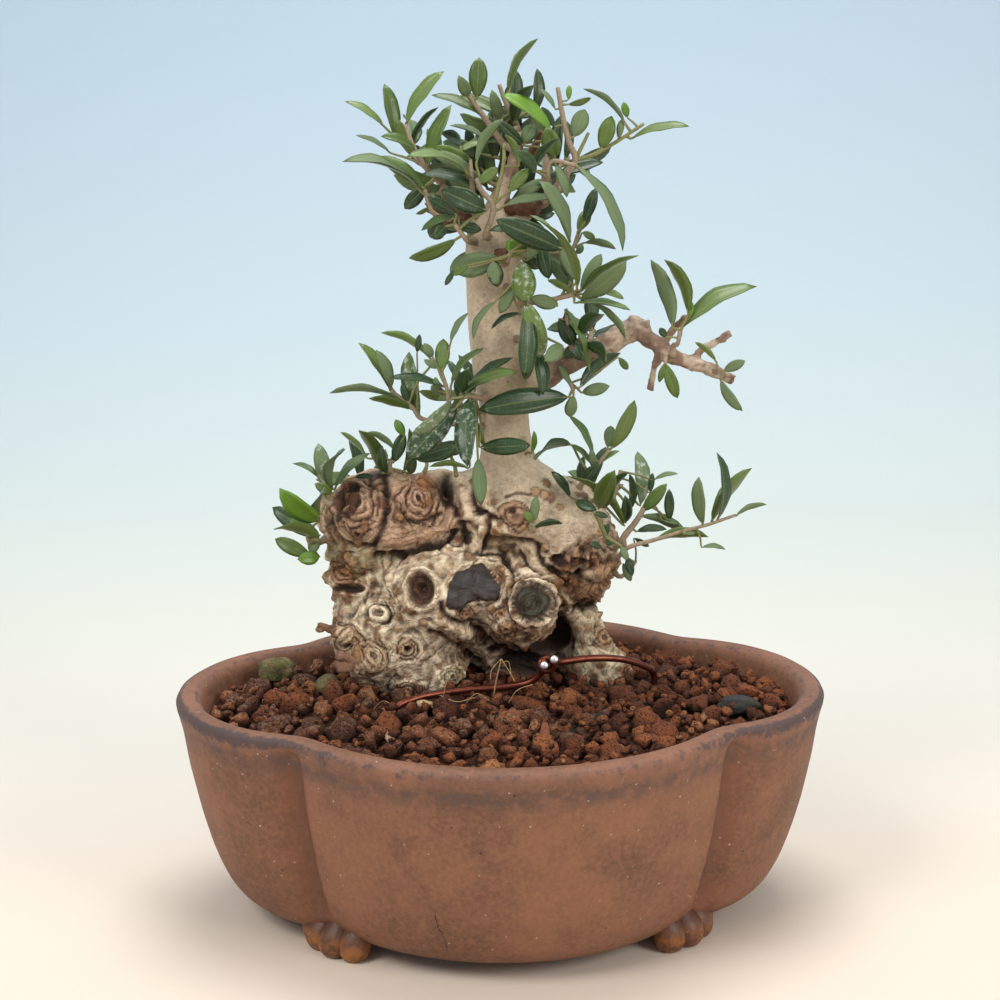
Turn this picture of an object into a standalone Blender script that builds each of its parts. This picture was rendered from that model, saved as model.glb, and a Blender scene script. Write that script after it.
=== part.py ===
"""Wild olive bonsai in its four-lobed pot.

Sizes below are millimetres, and meshes are made in metres. +Z is up, the pot stands on z = 0,
its long side runs along X, and the origin is under the middle of the pot.

The tree is laid out from the front: spot(x, z, front) is the point seen at x to the right and
z up on the upright plane through the pot's middle, brought `front` mm towards the viewer along
the line of sight. Twigs and leaves can so be bent forward or back without a change of outline.
"""

import math

import bmesh
import bpy
import numpy as np
from mathutils import Vector
from mathutils.bvhtree import BVHTree

MM = 0.001
GAP = 0.35
WALL_GAP = 0.8

# Front view that the tree is laid out from
YAW = 0.072
POT_SHIFT = 0.5
EYE_BACK = 434.0
EYE_UP = 191.5

# Pot
POT_LONG = 150.0
POT_SHORT = 120.0
POT_HEIGHT = 52.0
BODY_UNDER = 3.3
FLOOR_TOP = 9.0
END_LOBE_CENTRE = 44.0
END_LOBE_SIDE = 35.5
LOBE_CRISP = 40
SIDE_STEPS = 12
FRONT_STEPS = 14
DRAIN_X = 28.0
DRAIN_RADIUS = 6.0
FOOT_X = 40.0
FOOT_Y = 28.0
# Toes of a foot: how far each stands to the side of the foot's middle and out from it
TOES = ((-7.0, -1.2), (-2.4, 0.4), (2.4, 0.4), (7.0, -1.2))
# A toe's rings: height, radius and how far its middle leans in under the wall
TOE_RINGS = ((0.0, 2.7, 0.0), (2.4, 3.7, 0.0), (5.5, 3.9, 0.4), (8.4, 2.8, 1.6))
MESH_HALF = 9.0
MESH_BAR = 1.7
MESH_OPENING = 4.0
MESH_THICK = 1.0

# Soil and the root block in it
SOIL_EDGE = 46.8
SOIL_MIDDLE = 49.6
SOIL_RINGS = 11
SOIL_SPREAD = 0.984
SOIL_INSET = 5.7
GRAIN_CELL = 5.2
GRAIN_RISE = 2.4
WOOD_CUT = 50.0
WOOD_VOXEL = 4.3
PLUG_BOTTOM = 24.0
PLUG_CENTRE = (-4.0, 16.0)
PLUG_RADII = (20.0, 11.0)
PLUG_SIDES = 28
# How far the block reaches up into the wood, and its hole's tool above the soil
PLUG_SUNK = 6.0
PLUG_CLEAR = 12.0
# The mound and the grains fade out here and over these widths, as shares of the outline
MOUND_END = 0.92
MOUND_RAMP = 0.5
GRAIN_END = 0.95
GRAIN_RAMP = 0.08
# A grain's relief lies at 0 at this share of its height
GRAIN_LEVEL = 0.45
# The soil is flat out to these distances from the wood's foot, a stone and the wire
FLAT_WOOD = 5.5
FLAT_STONE = 4.5
FLAT_WIRE = 5.0

# Wire
WIRE_RADIUS = 0.75
WIRE_UNDER = 2.4

# Leaves
LEAF_THICK = 0.9
LEAF_RATIO = 0.36
LEAF_MAX_WIDTH = 7.2
PETIOLE_RADIUS = 0.32
CLEARANCE = 1.35
SISTER_CLEARANCE = 0.95
WOOD_CLEARANCE = 1.9
FOOT_SPACING = 1.3
SMALL_LEAF = 5.6
LONG_STALK = 2.5


def turned(x, y, z):
    """A point of the front view's own frame, in the pot's frame, in mm."""
    c, s = math.cos(YAW), math.sin(YAW)
    x -= POT_SHIFT
    return np.array((c * x + s * y, c * y - s * x, z))


EYE = turned(0.0, -EYE_BACK, EYE_UP)


def spot(x, z, front=0.0):
    near = 1.0 - front / EYE_BACK
    return turned(x * near, -front, EYE_UP + (z - EYE_UP) * near)


# Woody masses: centre x, y, z and radii, in the front view's frame
LUMPS = (
    (-28, 18, 86, 16, 15, 12.5),
    (-25, 16, 58, 15.5, 17, 17),
    (-13.5, 15, 71, 16, 18, 15),
    (5.5, 10, 69, 10.5, 15, 10),
    (13.5, 18, 85, 14, 14, 12),
    (20.5, 18, 74, 8.5, 11, 9),
    (4, 20, 58, 14, 13, 12),
    (-2, 17, 90, 12, 12, 10),
)
# Round limbs: x, y, z, radius at each stop
LIMBS = (
    ((18, 15, 70, 6.0), (22, 14, 59, 6.6), (26, 13, 47, 8.6)),
    ((-20, 10, 56, 9.0), (-14, 8, 47, 7.5)),
)
# The trunk in front view: x, z, radius, with the depth of its axis
TRUNK_FRONT = -15.0
TRUNK = (
    (4.0, 90, 12.5), (3.5, 97, 11.2), (2.0, 101, 9.0), (1.8, 105, 6.5), (1.3, 111, 5.8),
    (0.8, 118, 5.8), (0.2, 125, 6.6), (0.4, 130, 7.2), (-1.1, 140, 6.5), (-1.5, 149, 6.3),
    (-2.0, 157, 5.4), (-2.2, 161, 4.0),
)
# Branches and bare twigs: x, z, front, radius
BRANCHES = (
    ((3.0, 121, -15, 3.8), (9, 124, -15, 3.8), (16, 127.5, -15, 3.1), (24, 131, -14, 2.6),
     (29.5, 134, -14, 2.7), (33.5, 132, -13, 2.0), (38, 128.5, -12, 1.9),
     (43, 126.5, -11, 1.6), (48, 124.8, -10, 1.3), (52.5, 122.8, -9, 0.8)),
    ((29.5, 133, -14, 2.4), (30.5, 137, -14, 2.0)),
    ((33, 132, -13, 1.5), (32.5, 136.6, -13, 1.1)),
    ((36, 130.4, -12.5, 1.0), (38, 133.7, -12, 0.9), (40.5, 136, -11, 0.8), (41.3, 137.2, -10.5, 0.6)),
    ((35.6, 130.5, -12.5, 0.9), (34.4, 125, -12, 0.8), (33.5, 120.5, -12, 0.5)),
    ((42.5, 127, -11, 1.0), (45.3, 130, -12, 0.8), (48.5, 131.6, -13, 0.75), (51.3, 133.5, -13, 0.5)),
    ((-2, 155, -15, 3.2), (-7.5, 159.5, -15, 2.2), (-11.5, 163.5, -15, 1.4), (-14, 169, -16, 0.9)),
    ((-2, 158, -15, 3.2), (1, 166, -16, 2.0), (3.6, 173, -17, 1.4), (4.2, 178, -17, 0.9)),
    ((-1, 155, -15, 3.2), (6, 160.5, -15, 2.1), (12, 164.5, -14, 1.3), (14, 168, -14, 1.0)),
    ((-36, 63, -4, 1.2), (-39, 64.8, -3, 0.9), (-42.3, 65.8, -3, 0.7)),
    ((-31, 57.4, -1, 1.4), (-36, 56.2, 1, 0.9)),
)

# Sprays of the front view. root lies in the wood, twigs are x, z, front, and a leaf is
# base x, z, tip x, z and the width seen from the front
SPRAYS = {
    "crown_left_low": dict(
        root=(-8, 160, -15), girth=0.75,
        twigs=[[(-11, 158.6, -9), (-14.7, 160, -9), (-16.5, 165, -9.5)]],
        leaves=[(-16, 165, -26, 172.3, 4.2), (-17.4, 164.8, -34.5, 171, 1.6),
                (-15.3, 161.5, -18.5, 159.7, 1.2), (-13, 166, -15, 164.5, 1.5)]),
    "crown_left_fan": dict(
        root=(-13.6, 168, -16), girth=0.7,
        twigs=[[(-17, 170.5, -17), (-19.5, 173.2, -17), (-23.5, 177, -18)]],
        leaves=[(-18.5, 171.6, -22.3, 180.3, 3.4), (-22.8, 176, -25.1, 187.8, 3.9),
                (-25.3, 178.7, -33.7, 184, 2), (-18.8, 174, -13.3, 182.8, 1.8),
                (-24, 173, -31.5, 176.7, 1.3), (-18.8, 174.5, -21, 180.5, 3.2),
                (-17.7, 171.2, -14.8, 175, 3.5)]),
    "crown_left_top": dict(
        root=(-13, 166, -15), girth=0.7,
        twigs=[[(-16, 169.5, -11), (-19, 174.5, -11), (-20.5, 179, -12)]],
        leaves=[(-20.5, 179, -12, 190.4, 3.4), (-15, 169, -10.5, 183.3, 3.6),
                (-17.5, 173.5, -26, 176.5, 2.2)]),
    "crown_peak_left": dict(
        root=(3.2, 172, -17), girth=0.8,
        twigs=[[(-0.5, 176.5, -16), (-3, 180, -16), (-8.1, 186.8, -16)]],
        leaves=[(-5, 184.6, -4.5, 193.3, 5), (-6.5, 184.5, -9, 189.5, 3.3),
                (-4.2, 180.8, -15, 185.3, 2.4), (-3, 175.8, -11, 178.8, 1.5),
                (-3, 176, -5.5, 176.6, 1.5)]),
    "crown_peak": dict(
        root=(4.2, 177, -17), girth=0.75,
        twigs=[[(2.6, 181, -18), (0.9, 184.5, -18), (-0.2, 187.6, -18)]],
        leaves=[(1.8, 185.5, 8.3, 197.3, 2.4), (7.6, 181.5, 8, 191, 3.2), (3, 179, 7.2, 187.5, 4),
                (4, 178.5, 0.5, 183, 4.5), (0, 180, -1.8, 186.5, 3.2), (-2.5, 175, -1.2, 183, 2)]),
    "crown_right_top": dict(
        root=(11, 163.8, -14.5), girth=0.7,
        twigs=[[(9.6, 168, -11), (10.5, 173, -10), (11.3, 177.2, -10)]],
        leaves=[(11.3, 177.7, 0.1, 185.5, 3.6), (12, 172, 10, 178.5, 5),
                (5.2, 174.5, -0.8, 180, 3.2), (5, 175, 7.5, 179, 4)]),
    "crown_front_fork": dict(
        root=(-3.3, 154, -13), girth=0.85,
        twigs=[[(-3.0, 155.6, -5), (-1.5, 161.5, -4), (-4.2, 165, -4), (-5.2, 167.5, -4)],
               [(-1.5, 161.5, -4), (0.7, 170, -4), (0.9, 175, -5)]],
        leaves=[(-4.9, 166.3, -0.3, 169.8, 3), (1.8, 164.5, 6.2, 169.6, 3.4),
                (1, 161.5, 11.5, 163, 2.4), (4.2, 170, 1, 177, 2), (-5.2, 170.5, 0.9, 180.3, 2.4)]),
    "crown_left_mid": dict(
        root=(-6.5, 158.6, -14), girth=0.75,
        twigs=[[(-6, 162.5, -8), (-6.2, 167, -7), (-6.5, 171.5, -8)]],
        leaves=[(-5.5, 171.5, -14.2, 174.5, 3.2), (-7, 169, -15, 173, 3.5),
                (-7.5, 169, -20.5, 172, 1.6), (-5.5, 166, -17.4, 168.3, 2.6),
                (-8.5, 174, -13, 177.2, 2.8), (-9.5, 173, -3.5, 175.2, 1.8)]),
    "crown_left_under": dict(
        root=(-5, 153, -14), girth=0.75,
        twigs=[[(-7.5, 154.2, -5.5), (-10, 157.5, -5)]],
        leaves=[(-3, 160.5, -13, 165, 6), (-9.5, 159.5, -16, 163.5, 3.2),
                (-9.3, 159.3, -17.4, 156, 2.2), (-12, 157, -14.5, 154.5, 3),
                (-5, 156, -12, 156.5, 2), (-9.5, 154.3, -20.2, 150, 3.6)]),
    "crown_right_fork": dict(
        root=(12.5, 165, -14), girth=0.8,
        twigs=[[(14.6, 167.6, -12), (16.5, 171.6, -12), (15.1, 175, -12), (13.6, 181, -12),
                (12.5, 187, -12)],
               [(16.5, 171.6, -12), (19.3, 177.3, -12)],
               [(16.5, 171.6, -12), (20, 172.4, -12), (24.5, 174.8, -12), (31.3, 179.2, -12)]],
        leaves=[(12, 178.5, 9, 182.8, 2.4), (12, 182.3, 8.7, 186.6, 1.4), (14.9, 184.2, 15, 187.4, 1.6),
                (14.7, 183.3, 19.8, 184.7, 1.8), (27.2, 179.3, 17.9, 186.7, 1.5),
                (27.7, 180.5, 26.8, 183.9, 2.1), (21.9, 174, 24.3, 180.9, 4.4),
                (25.3, 176.5, 26.5, 180.2, 2), (28.5, 176, 41.3, 178.6, 2.2),
                (16, 176.3, 18.5, 182.3, 4.6)]),
    "crown_right_arch": dict(
        root=(8.5, 162, -14.5), girth=0.7,
        twigs=[[(10.8, 164.5, -7), (11, 171, -6), (16.5, 170.3, -5)]],
        leaves=[(16.5, 170.3, 27.1, 151.4, 3), (12, 170, 14.7, 163.3, 2.6), (7, 169, 13.1, 176.2, 2.4),
                (8, 169, 3.5, 173.5, 3), (15.5, 153.5, 8.5, 167, 3.6)]),
    "crown_right_low": dict(
        root=(2, 150.5, -14), girth=0.7,
        twigs=[[(9, 151, -12), (15.7, 151.9, -10), (17.2, 155.4, -10)]],
        leaves=[(18.5, 157.5, 21, 165.4, 3.2), (17.1, 155.8, 19.4, 160.4, 3.4),
                (18.2, 155.8, 21, 154.3, 2), (18.4, 153.4, 25.6, 152, 2), (17, 151, 18.3, 153, 2)]),
    "trunk_top_front": dict(
        root=(1.5, 148.5, -13), girth=0.8,
        twigs=[[(1.5, 149.2, -5), (2.5, 151.5, -3)]],
        leaves=[(0.3, 150, -10.3, 147.5, 6.5), (-7, 148.5, -10.5, 146.3, 2), (-10, 147.5, -12.2, 144, 1.6),
                (-1.5, 149.5, -1, 144, 4), (3.3, 150.3, 3.5, 154.6, 5.4), (6, 149.5, 9, 155.5, 3.2),
                (14, 152, -1, 158.5, 6.5), (8, 155, -2.5, 156, 2.4)]),
    "trunk_right_bud": dict(
        root=(3.5, 140, -13), girth=0.75,
        twigs=[[(10, 140.6, -7), (16.5, 142, -6)]],
        leaves=[(17.1, 143.2, 6.4, 159.5, 1.8), (17, 145, 13.5, 153, 4.2), (15.5, 144.5, 9.3, 152.5, 2.6),
                (17.8, 143, 22.4, 151, 3.6), (18, 142.8, 30.8, 150.7, 2.6), (18, 141, 28, 149.5, 5),
                (22, 142.8, 27.5, 141, 1.8), (16, 142.4, 10.5, 145.3, 2), (12.8, 139.5, 6.6, 141.3, 3.8),
                (16.5, 140.2, 29, 138.5, 1.5), (20, 140.3, 28, 132, 2)]),
    "trunk_front": dict(
        root=(1.5, 143, -13), girth=0.8,
        twigs=[[(2.6, 143.6, -4.5), (5, 147.5, -2)]],
        leaves=[(5, 149.5, 5.5, 140, 6.5), (6, 140.5, 9, 127.7, 6.5), (3, 144.5, 0, 137.8, 3.4),
                (-1, 140.5, -6, 132, 1.8), (4.8, 137.8, -2, 134.2, 1.5)]),
    "trunk_front_low": dict(
        root=(3.5, 131, -13), girth=0.75,
        twigs=[[(5.2, 133, -4.5), (6.8, 136.5, -4)]],
        leaves=[(4.5, 137.5, 3.7, 126, 3.6), (6.5, 134.5, 4.5, 126, 3.2), (7.2, 130, 5.6, 122.8, 3),
                (8, 130, 9.6, 119.2, 3.2), (14, 130.5, 9.8, 127, 4.2)]),
    "branch_inner": dict(
        root=(15.5, 127.5, -15), girth=0.7,
        twigs=[[(15.6, 132, -9), (14.8, 137.5, -8)]],
        leaves=[(14.5, 139, 20, 124.3, 1.8), (14.5, 138, 16, 131.5, 1.8), (17.5, 132, 22.8, 137.5, 4),
                (17, 131.5, 19, 127.5, 2.5), (18.5, 131, 23.5, 127.3, 3.4)]),
    "branch_under": dict(
        root=(13.5, 126, -15), girth=0.7,
        twigs=[[(15.2, 123, -10), (16.5, 120.6, -7)]],
        leaves=[(17.8, 121, 27, 129, 3.6), (26.5, 128, 28.6, 125.2, 2), (18.3, 120, 24.6, 121.5, 3.4),
                (15.5, 121.5, 13, 126.3, 1.8), (16.5, 119.5, 15.5, 114.5, 3.4), (15.5, 119, -5, 116, 7)]),
    "branch_out_top": dict(
        root=(37.8, 128.6, -12), girth=0.7,
        twigs=[[(39.6, 131.0, -7.5), (40, 134, -7)]],
        leaves=[(38.5, 134.5, 33.2, 149.8, 4.2), (41.8, 137.5, 36.2, 149.8, 3.4),
                (40.5, 134.5, 57, 143.8, 4.4), (42.3, 137, 42.5, 140.5, 1.6), (37, 132.5, 35.5, 134.6, 2)]),
    "branch_out_under": dict(
        root=(37, 129.3, -12.3), girth=0.6,
        twigs=[[(36.9, 127.3, -9), (37, 126.2, -8.5)]],
        leaves=[(36.5, 126.8, 39.8, 118.7, 3.4), (36.5, 126.5, 35.6, 122.3, 1.8)]),
    "branch_tip": dict(
        root=(47.6, 125, -10), girth=0.6,
        twigs=[[(48.8, 125.6, -6.5), (50, 124.8, -6)]],
        leaves=[(48.3, 127, 43.4, 131.4, 1.6), (50, 125, 54.8, 127.2, 2.8), (49.3, 123, 54.5, 115.8, 2.8)]),
    "trunk_left_upper": dict(
        root=(-2.5, 115.5, -13), girth=0.7,
        twigs=[[(-11, 116.5, -4), (-11.7, 120, -4), (-13, 124.5, -5)]],
        leaves=[(-13.3, 124.8, -12.6, 132.2, 4), (-15, 128, -17, 131.2, 2.5), (-14, 125.5, -17, 127.5, 1.8),
                (-13, 121, -24.8, 123.2, 2.2), (-14, 120.5, -14.5, 123.6, 1.8),
                (-12.5, 119, -15.5, 121.5, 2.5), (-11, 121.5, -3.5, 130, 1.8), (-11, 131.3, -7, 138, 1.8)]),
    "trunk_left_out": dict(
        root=(-2.5, 112, -14), girth=0.7,
        twigs=[[(-8, 112.6, -9), (-18, 114.3, -10), (-19.5, 116.5, -10), (-24.5, 120.5, -10)]],
        leaves=[(-24.5, 120.5, -31.6, 131.3, 3), (-24.3, 121, -27.7, 129.7, 3.2),
                (-19.5, 116, -29.5, 118.7, 2.6), (-22, 118, -38.3, 119.8, 1.5),
                (-20.5, 118, -22, 122, 2.2), (-15, 127, -26.6, 133.5, 2.2),
                (-18.5, 129, -17.9, 133.2, 1.8), (-17.7, 114.8, -20.3, 129.3, 4.8)]),
    "trunk_left_front": dict(
        root=(-2.5, 118.6, -13), girth=0.8,
        twigs=[[(-5.5, 119, -4), (-8, 119.2, -1)]],
        leaves=[(-6.3, 119.5, -7.3, 103, 5.8), (-5, 113, -3.6, 108, 1.8), (-5, 105, -4.3, 94, 4),
                (-10.8, 118.6, -20, 110.5, 3.6), (-9.5, 117, -21.3, 104.6, 7),
                (-9.5, 108, -19.5, 105, 5), (-4.5, 107.5, 7, 108, 4.8),
                (-7, 102.7, -16, 103, 1.6), (-9, 119.5, 4, 124.5, 2.8),
                (-8, 120, 3, 128, 3), (-8, 120, -7, 125.4, 3.4)]),
    "burl_top_left": dict(
        root=(-25, 96, -17), girth=0.75,
        twigs=[[(-24.6, 101, -14), (-24.6, 104.5, -14)]],
        leaves=[(-21.5, 110, -23.5, 113.9, 2.6), (-22, 101.5, -20.5, 112, 2.6), (-20.5, 101.5, -19, 105.6, 3),
                (-27, 101.5, -31.8, 111.5, 3.8), (-30, 105, -36, 111, 1.6),
                (-23.5, 106.5, -30, 111, 1.8),
                (-25.5, 101.5, -26.5, 108, 2.8)]),
    "burl_left_top": dict(
        root=(-36, 90, -14), girth=0.7,
        twigs=[[(-39.8, 95.5, -11), (-39.2, 98.5, -11)]],
        leaves=[(-38.7, 98, -41, 108.5, 4.4), (-41, 100.5, -47, 103.8, 1.6), (-38, 97, -42, 99.2, 3),
                (-38, 98, -34.9, 107, 2.2), (-37.5, 97.8, -29.2, 106.2, 2.6),
                (-33, 100.6, -28.5, 100.8, 1.6), (-41, 92, -39.5, 97.5, 1.8)]),
    "burl_left": dict(
        root=(-37, 85, -14), girth=0.75,
        twigs=[[(-43.6, 85.8, -10), (-43.6, 88, -9)]],
        leaves=[(-41, 90.5, -50, 98.2, 5.6), (-41.5, 86.5, -51.7, 93.7, 5), (-41, 87, -48, 91, 3.6),
                (-41, 86, -53, 88.8, 2.8), (-43, 82, -51.3, 86.3, 4.2), (-41.2, 82, -46.3, 81.5, 3.8),
                (-41, 85.5, -43.5, 83, 2.2)]),
    "shoulder_top": dict(
        root=(13.5, 92, -17), girth=0.65,
        twigs=[[(15.7, 96.5, -13), (18.5, 99, -13), (22.4, 104, -13), (24.7, 107, -13)]],
        leaves=[(24.8, 107, 30.2, 118.4, 4.2), (24.3, 107.3, 25, 112.5, 3.2), (22.8, 103.3, 27, 106.7, 1.6),
                (18.5, 99.2, 22.5, 103.8, 3.4), (18, 98.5, 16.2, 107.5, 2.2), (18, 99.5, 19.5, 105, 3),
                (21, 103, 20.6, 107.2, 2.2), (21, 105, 15.3, 115, 2), (21.3, 103.5, 16, 108.3, 1.6),
                (16.2, 108, 8, 104.5, 2)]),
    "shoulder_front": dict(
        root=(18, 90, -14), girth=0.7,
        twigs=[[(19.6, 94.2, -8), (22, 96, -8)]],
        leaves=[(16, 96, 11.5, 102, 2.4), (17, 95, 22, 93, 3), (28.3, 89.3, 14.8, 101, 1.6),
                (22.5, 93.5, 26, 102.3, 5.4), (20, 96, 22, 99.6, 2.5), (23.5, 94.5, 29.2, 101.8, 2.4)]),
    "shoulder_stub": dict(
        root=(22, 89, -17), girth=0.65,
        twigs=[[(25.7, 96, -15), (27.3, 102.3, -15)]],
        leaves=[(28.5, 90, 28.3, 96.5, 3.2), (29.5, 93, 29.3, 101.5, 2.4), (31.8, 94, 31, 106.6, 4.2),
                (34, 97, 34.5, 101.7, 1.8), (34.8, 100, 40.3, 101.4, 1.4)]),
    "shoulder_thick_stub": dict(
        root=(24, 83, -15), girth=0.9,
        twigs=[[(28, 86.3, -9), (31, 90.5, -9), (34.5, 96.8, -9)]],
        leaves=[(33.3, 92.3, 37.8, 99.2, 3.6), (38.5, 90.5, 38.3, 98, 2.8), (32.3, 91.8, 42.3, 87.6, 2.8),
                (31, 88, 38, 88.5, 2.2), (37, 90.5, 41, 89.8, 1.5)]),
    "shoulder_out": dict(
        root=(24.5, 81, -13), girth=0.6,
        twigs=[[(29.3, 84.3, -5), (35, 86, -5), (42, 88.2, -5), (47.5, 89.7, -5), (53.4, 91.8, -5)]],
        leaves=[(35, 85.8, 47.5, 86.7, 2.9), (46, 90.3, 45, 100.8, 3.6), (49.5, 90.5, 48.8, 106.5, 2.6),
                (48, 90.3, 57, 102.8, 3.6), (53.5, 91.7, 60.6, 94.3, 1.6), (46, 84.3, 51.5, 83.7, 1.4)]),
    "shoulder_low": dict(
        root=(25, 76, -15), girth=0.6,
        twigs=[[(29.3, 78.6, -13), (31, 81, -12.5)]],
        leaves=[(30.5, 86.5, 34, 84.5, 1.6), (28, 80.5, 30, 76.3, 2.2), (29, 82, 30.3, 77.5, 2.4)]),
    "front_sprout": dict(
        root=(7.3, 86, -9), girth=0.5,
        twigs=[[(7.4, 88.5, -1), (7.5, 90, -0.6)]],
        leaves=[(7.8, 90.5, 8.2, 96.3, 2.6), (8, 89.2, 14.3, 89.9, 1.8), (7.5, 90, 5.5, 92.8, 2.2)]),
    "shoulder_sprout": dict(
        root=(20.5, 85, -11), girth=0.5,
        twigs=[[(22.2, 86, -3), (24, 87, -3)]],
        leaves=[(20.5, 85.5, 23, 84.2, 1.8), (24, 85, 26, 86, 1.8), (24.2, 87, 24.6, 90, 1.6)]),
}

# Sprays behind the tree: root x, z, front, then the tip of the twig
BACK_SPRAYS = {
    "back_crown_left": ((-9, 161, -15), (-15, 168, -34)),
    "back_crown_peak": ((3.6, 173, -17), (1, 182, -32)),
    "back_crown_right": ((10, 163, -14.5), (15, 172, -32)),
    "back_trunk_top": ((-1, 148, -16), (3, 155, -38)),
    "back_branch": ((20, 129.5, -14.5), (21, 134, -31)),
    "back_trunk_left": ((0, 116, -16), (-10, 120, -33)),
    "back_burl_left": ((-29, 92, -20), (-32, 100, -38)),
    "back_shoulder": ((16, 91, -20), (22, 99, -39)),
}
BACK_PAIRS = 4
BACK_LEAF = 11.5

LEAN_TRIES = (0.0, 2.0, -2.0, 4.0, -4.0, 6.0, -6.0, 8.5, -8.5, 11.0, -11.0, 14.0, -14.0)
BASE_TRIES = (0.0, 1.5, -1.5, 3.0, -3.0)


def draw(index, channel):
    """A fixed draw between 0 and 1 for one leaf and one purpose."""
    return math.modf(abs(math.sin(index * 12.9898 + channel * 78.233) * 43758.5453))[0]


def unit(v):
    return v / max(np.linalg.norm(v), 1e-9)


def along(points, step):
    """Points every `step` mm along a bent line."""
    points = np.asarray(points, float)
    lengths = np.linalg.norm(np.diff(points, axis=0), axis=1)
    run = np.concatenate(([0.0], np.cumsum(lengths)))
    count = max(int(run[-1] / step), 1) + 1
    t = np.linspace(0.0, run[-1], count)
    return np.stack([np.interp(t, run, points[:, k]) for k in range(3)], axis=1)


def nearest_on(line, point):
    samples = along(line, 0.4)
    return samples[np.argmin(np.linalg.norm(samples - point, axis=1))]


def ease(t):
    t = np.clip(t, 0.0, 1.0)
    return t * t * (3.0 - 2.0 * t)


def limb_stops():
    """Every round limb as rows of x, y, z, radius in the pot's frame."""
    limbs = [np.array([(*turned(x, y, z), r) for x, y, z, r in limb]) for limb in LIMBS]
    trunk = [(*spot(x, z, TRUNK_FRONT), r * (1.0 - TRUNK_FRONT / EYE_BACK)) for x, z, r in TRUNK]
    limbs.append(np.array(trunk))
    for branch in BRANCHES:
        limbs.append(np.array([(*spot(x, z, front), r) for x, z, front, r in branch]))
    return limbs


LIMB_STOPS = limb_stops()


def wood_gap(points):
    """Distance of each point to the lumps and limbs, negative inside."""
    best = np.full(len(points), 1e9)
    c, s = math.cos(YAW), math.sin(YAW)
    for x, y, z, rx, ry, rz in LUMPS:
        d = points - turned(x, y, z)
        local = np.stack((c * d[:, 0] - s * d[:, 1], s * d[:, 0] + c * d[:, 1], d[:, 2]), axis=1)
        scaled = np.linalg.norm(local / (rx, ry, rz), axis=1)
        best = np.minimum(best, (scaled - 1.0) * min(rx, ry, rz))
    for stops in LIMB_STOPS:
        for a, b in zip(stops[:-1], stops[1:]):
            span = b[:3] - a[:3]
            t = np.clip((points - a[:3]) @ span / (span @ span), 0.0, 1.0)
            core = a[:3] + t[:, None] * span
            radius = a[3] + t * (b[3] - a[3])
            best = np.minimum(best, np.linalg.norm(points - core, axis=1) - radius)
    return best


class Leaf:
    """One blade from base to tip, its petiole from `foot`, and points spread over it."""

    STATIONS = (0.36, 0.72)
    SHORT_STATIONS = (0.5,)
    SHORT = 6.5

    def __init__(self, foot, base, tip, seen_width, index, real_width=None):
        self.foot, self.base, self.tip = foot, base, tip
        length = np.linalg.norm(tip - base)
        self.width = real_width or min(max(seen_width, LEAF_RATIO * length), LEAF_MAX_WIDTH)
        sight = unit(EYE - 0.5 * (base + tip))
        axis = unit(tip - base)
        side = unit(np.cross(axis, sight))
        facing = np.cross(side, axis)
        share = min(seen_width / self.width, 1.0)
        roll = math.acos(share) * (1.0 if draw(index, 5) > 0.5 else -1.0)
        self.side = side * math.cos(roll) + facing * math.sin(roll)
        self.normal = np.cross(self.side, axis)
        if self.normal[2] < 0.0 and share < 0.8:
            self.normal = -self.normal
            self.side = -self.side
        self.arch = length * (0.05 + 0.07 * draw(index, 6))
        self.fold = 0.10 + 0.10 * draw(index, 7)

    def frame_along(self, heading):
        """Side and normal of a section square to a heading, as near the blade's own as they can be."""
        heading = unit(heading)
        normal = self.normal - (self.normal @ heading) * heading
        if np.linalg.norm(normal) < 0.3:
            side = self.side - (self.side @ heading) * heading
            normal = np.cross(unit(side), heading)
        normal = unit(normal)
        return np.cross(heading, normal), normal

    def at(self, t):
        t = np.asarray(t, float)[..., None]
        return self.base + (self.tip - self.base) * t + self.normal * (self.arch * 4.0 * t * (1.0 - t))

    def half_width(self, t):
        """Half the width: a lance shape, widest a little past the middle."""
        t = np.asarray(t, float)
        return 0.5 * self.width * np.sin(math.pi * np.clip(0.10 + 0.90 * t, 0, 1) ** 0.95)

    def samples(self, start=0.0):
        """Points over the blade from a share of its length on, with the petiole if whole."""
        t = np.linspace(start, 1.0, 11)
        u = np.linspace(-1.0, 1.0, 5)
        middle = self.at(t)
        across = self.half_width(t)[:, None] * u[None, :]
        lift = np.abs(across) * self.fold * 2.0
        blade = middle[:, None, :] + across[..., None] * self.side + lift[..., None] * self.normal
        if start > 0.0:
            return blade.reshape(-1, 3)
        return np.concatenate((blade.reshape(-1, 3), along((self.foot, self.base), 1.0)))

    def wood_needs(self):
        """How far each sample has to stay from the wood: little at the foot, more on the blade."""
        t = np.repeat(np.linspace(0.0, 1.0, 11), 5)
        stalk = len(along((self.foot, self.base), 1.0))
        return np.concatenate((0.5 + (WOOD_CLEARANCE - 0.5) * ease(2.5 * t), np.full(stalk, 0.3)))


def spray_lines():
    """Twig lines of every spray in the pot's frame, the first one starting in the wood."""
    lines = {}
    for name, spray in SPRAYS.items():
        rows = []
        for twig in spray["twigs"]:
            row = [spot(*stop) for stop in twig]
            if not rows:
                row.insert(0, spot(*spray["root"]))
            else:
                row[0] = nearest_on(rows[0], row[0])
            rows.append(np.array(row))
        lines[name] = rows
    for name, (root, tip) in BACK_SPRAYS.items():
        a, b = spot(*root), spot(*tip)
        bow = 0.5 * (a + b) + np.array((0.0, 1.5, 1.5))
        lines[name] = [np.array((a, bow, b))]
    return lines


def twig_points(lines):
    """Points along the free part of the twigs, outside the wood."""
    points = np.concatenate([along(line, 0.9) for line in lines])
    return points[wood_gap(points) > 0.2]


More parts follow.
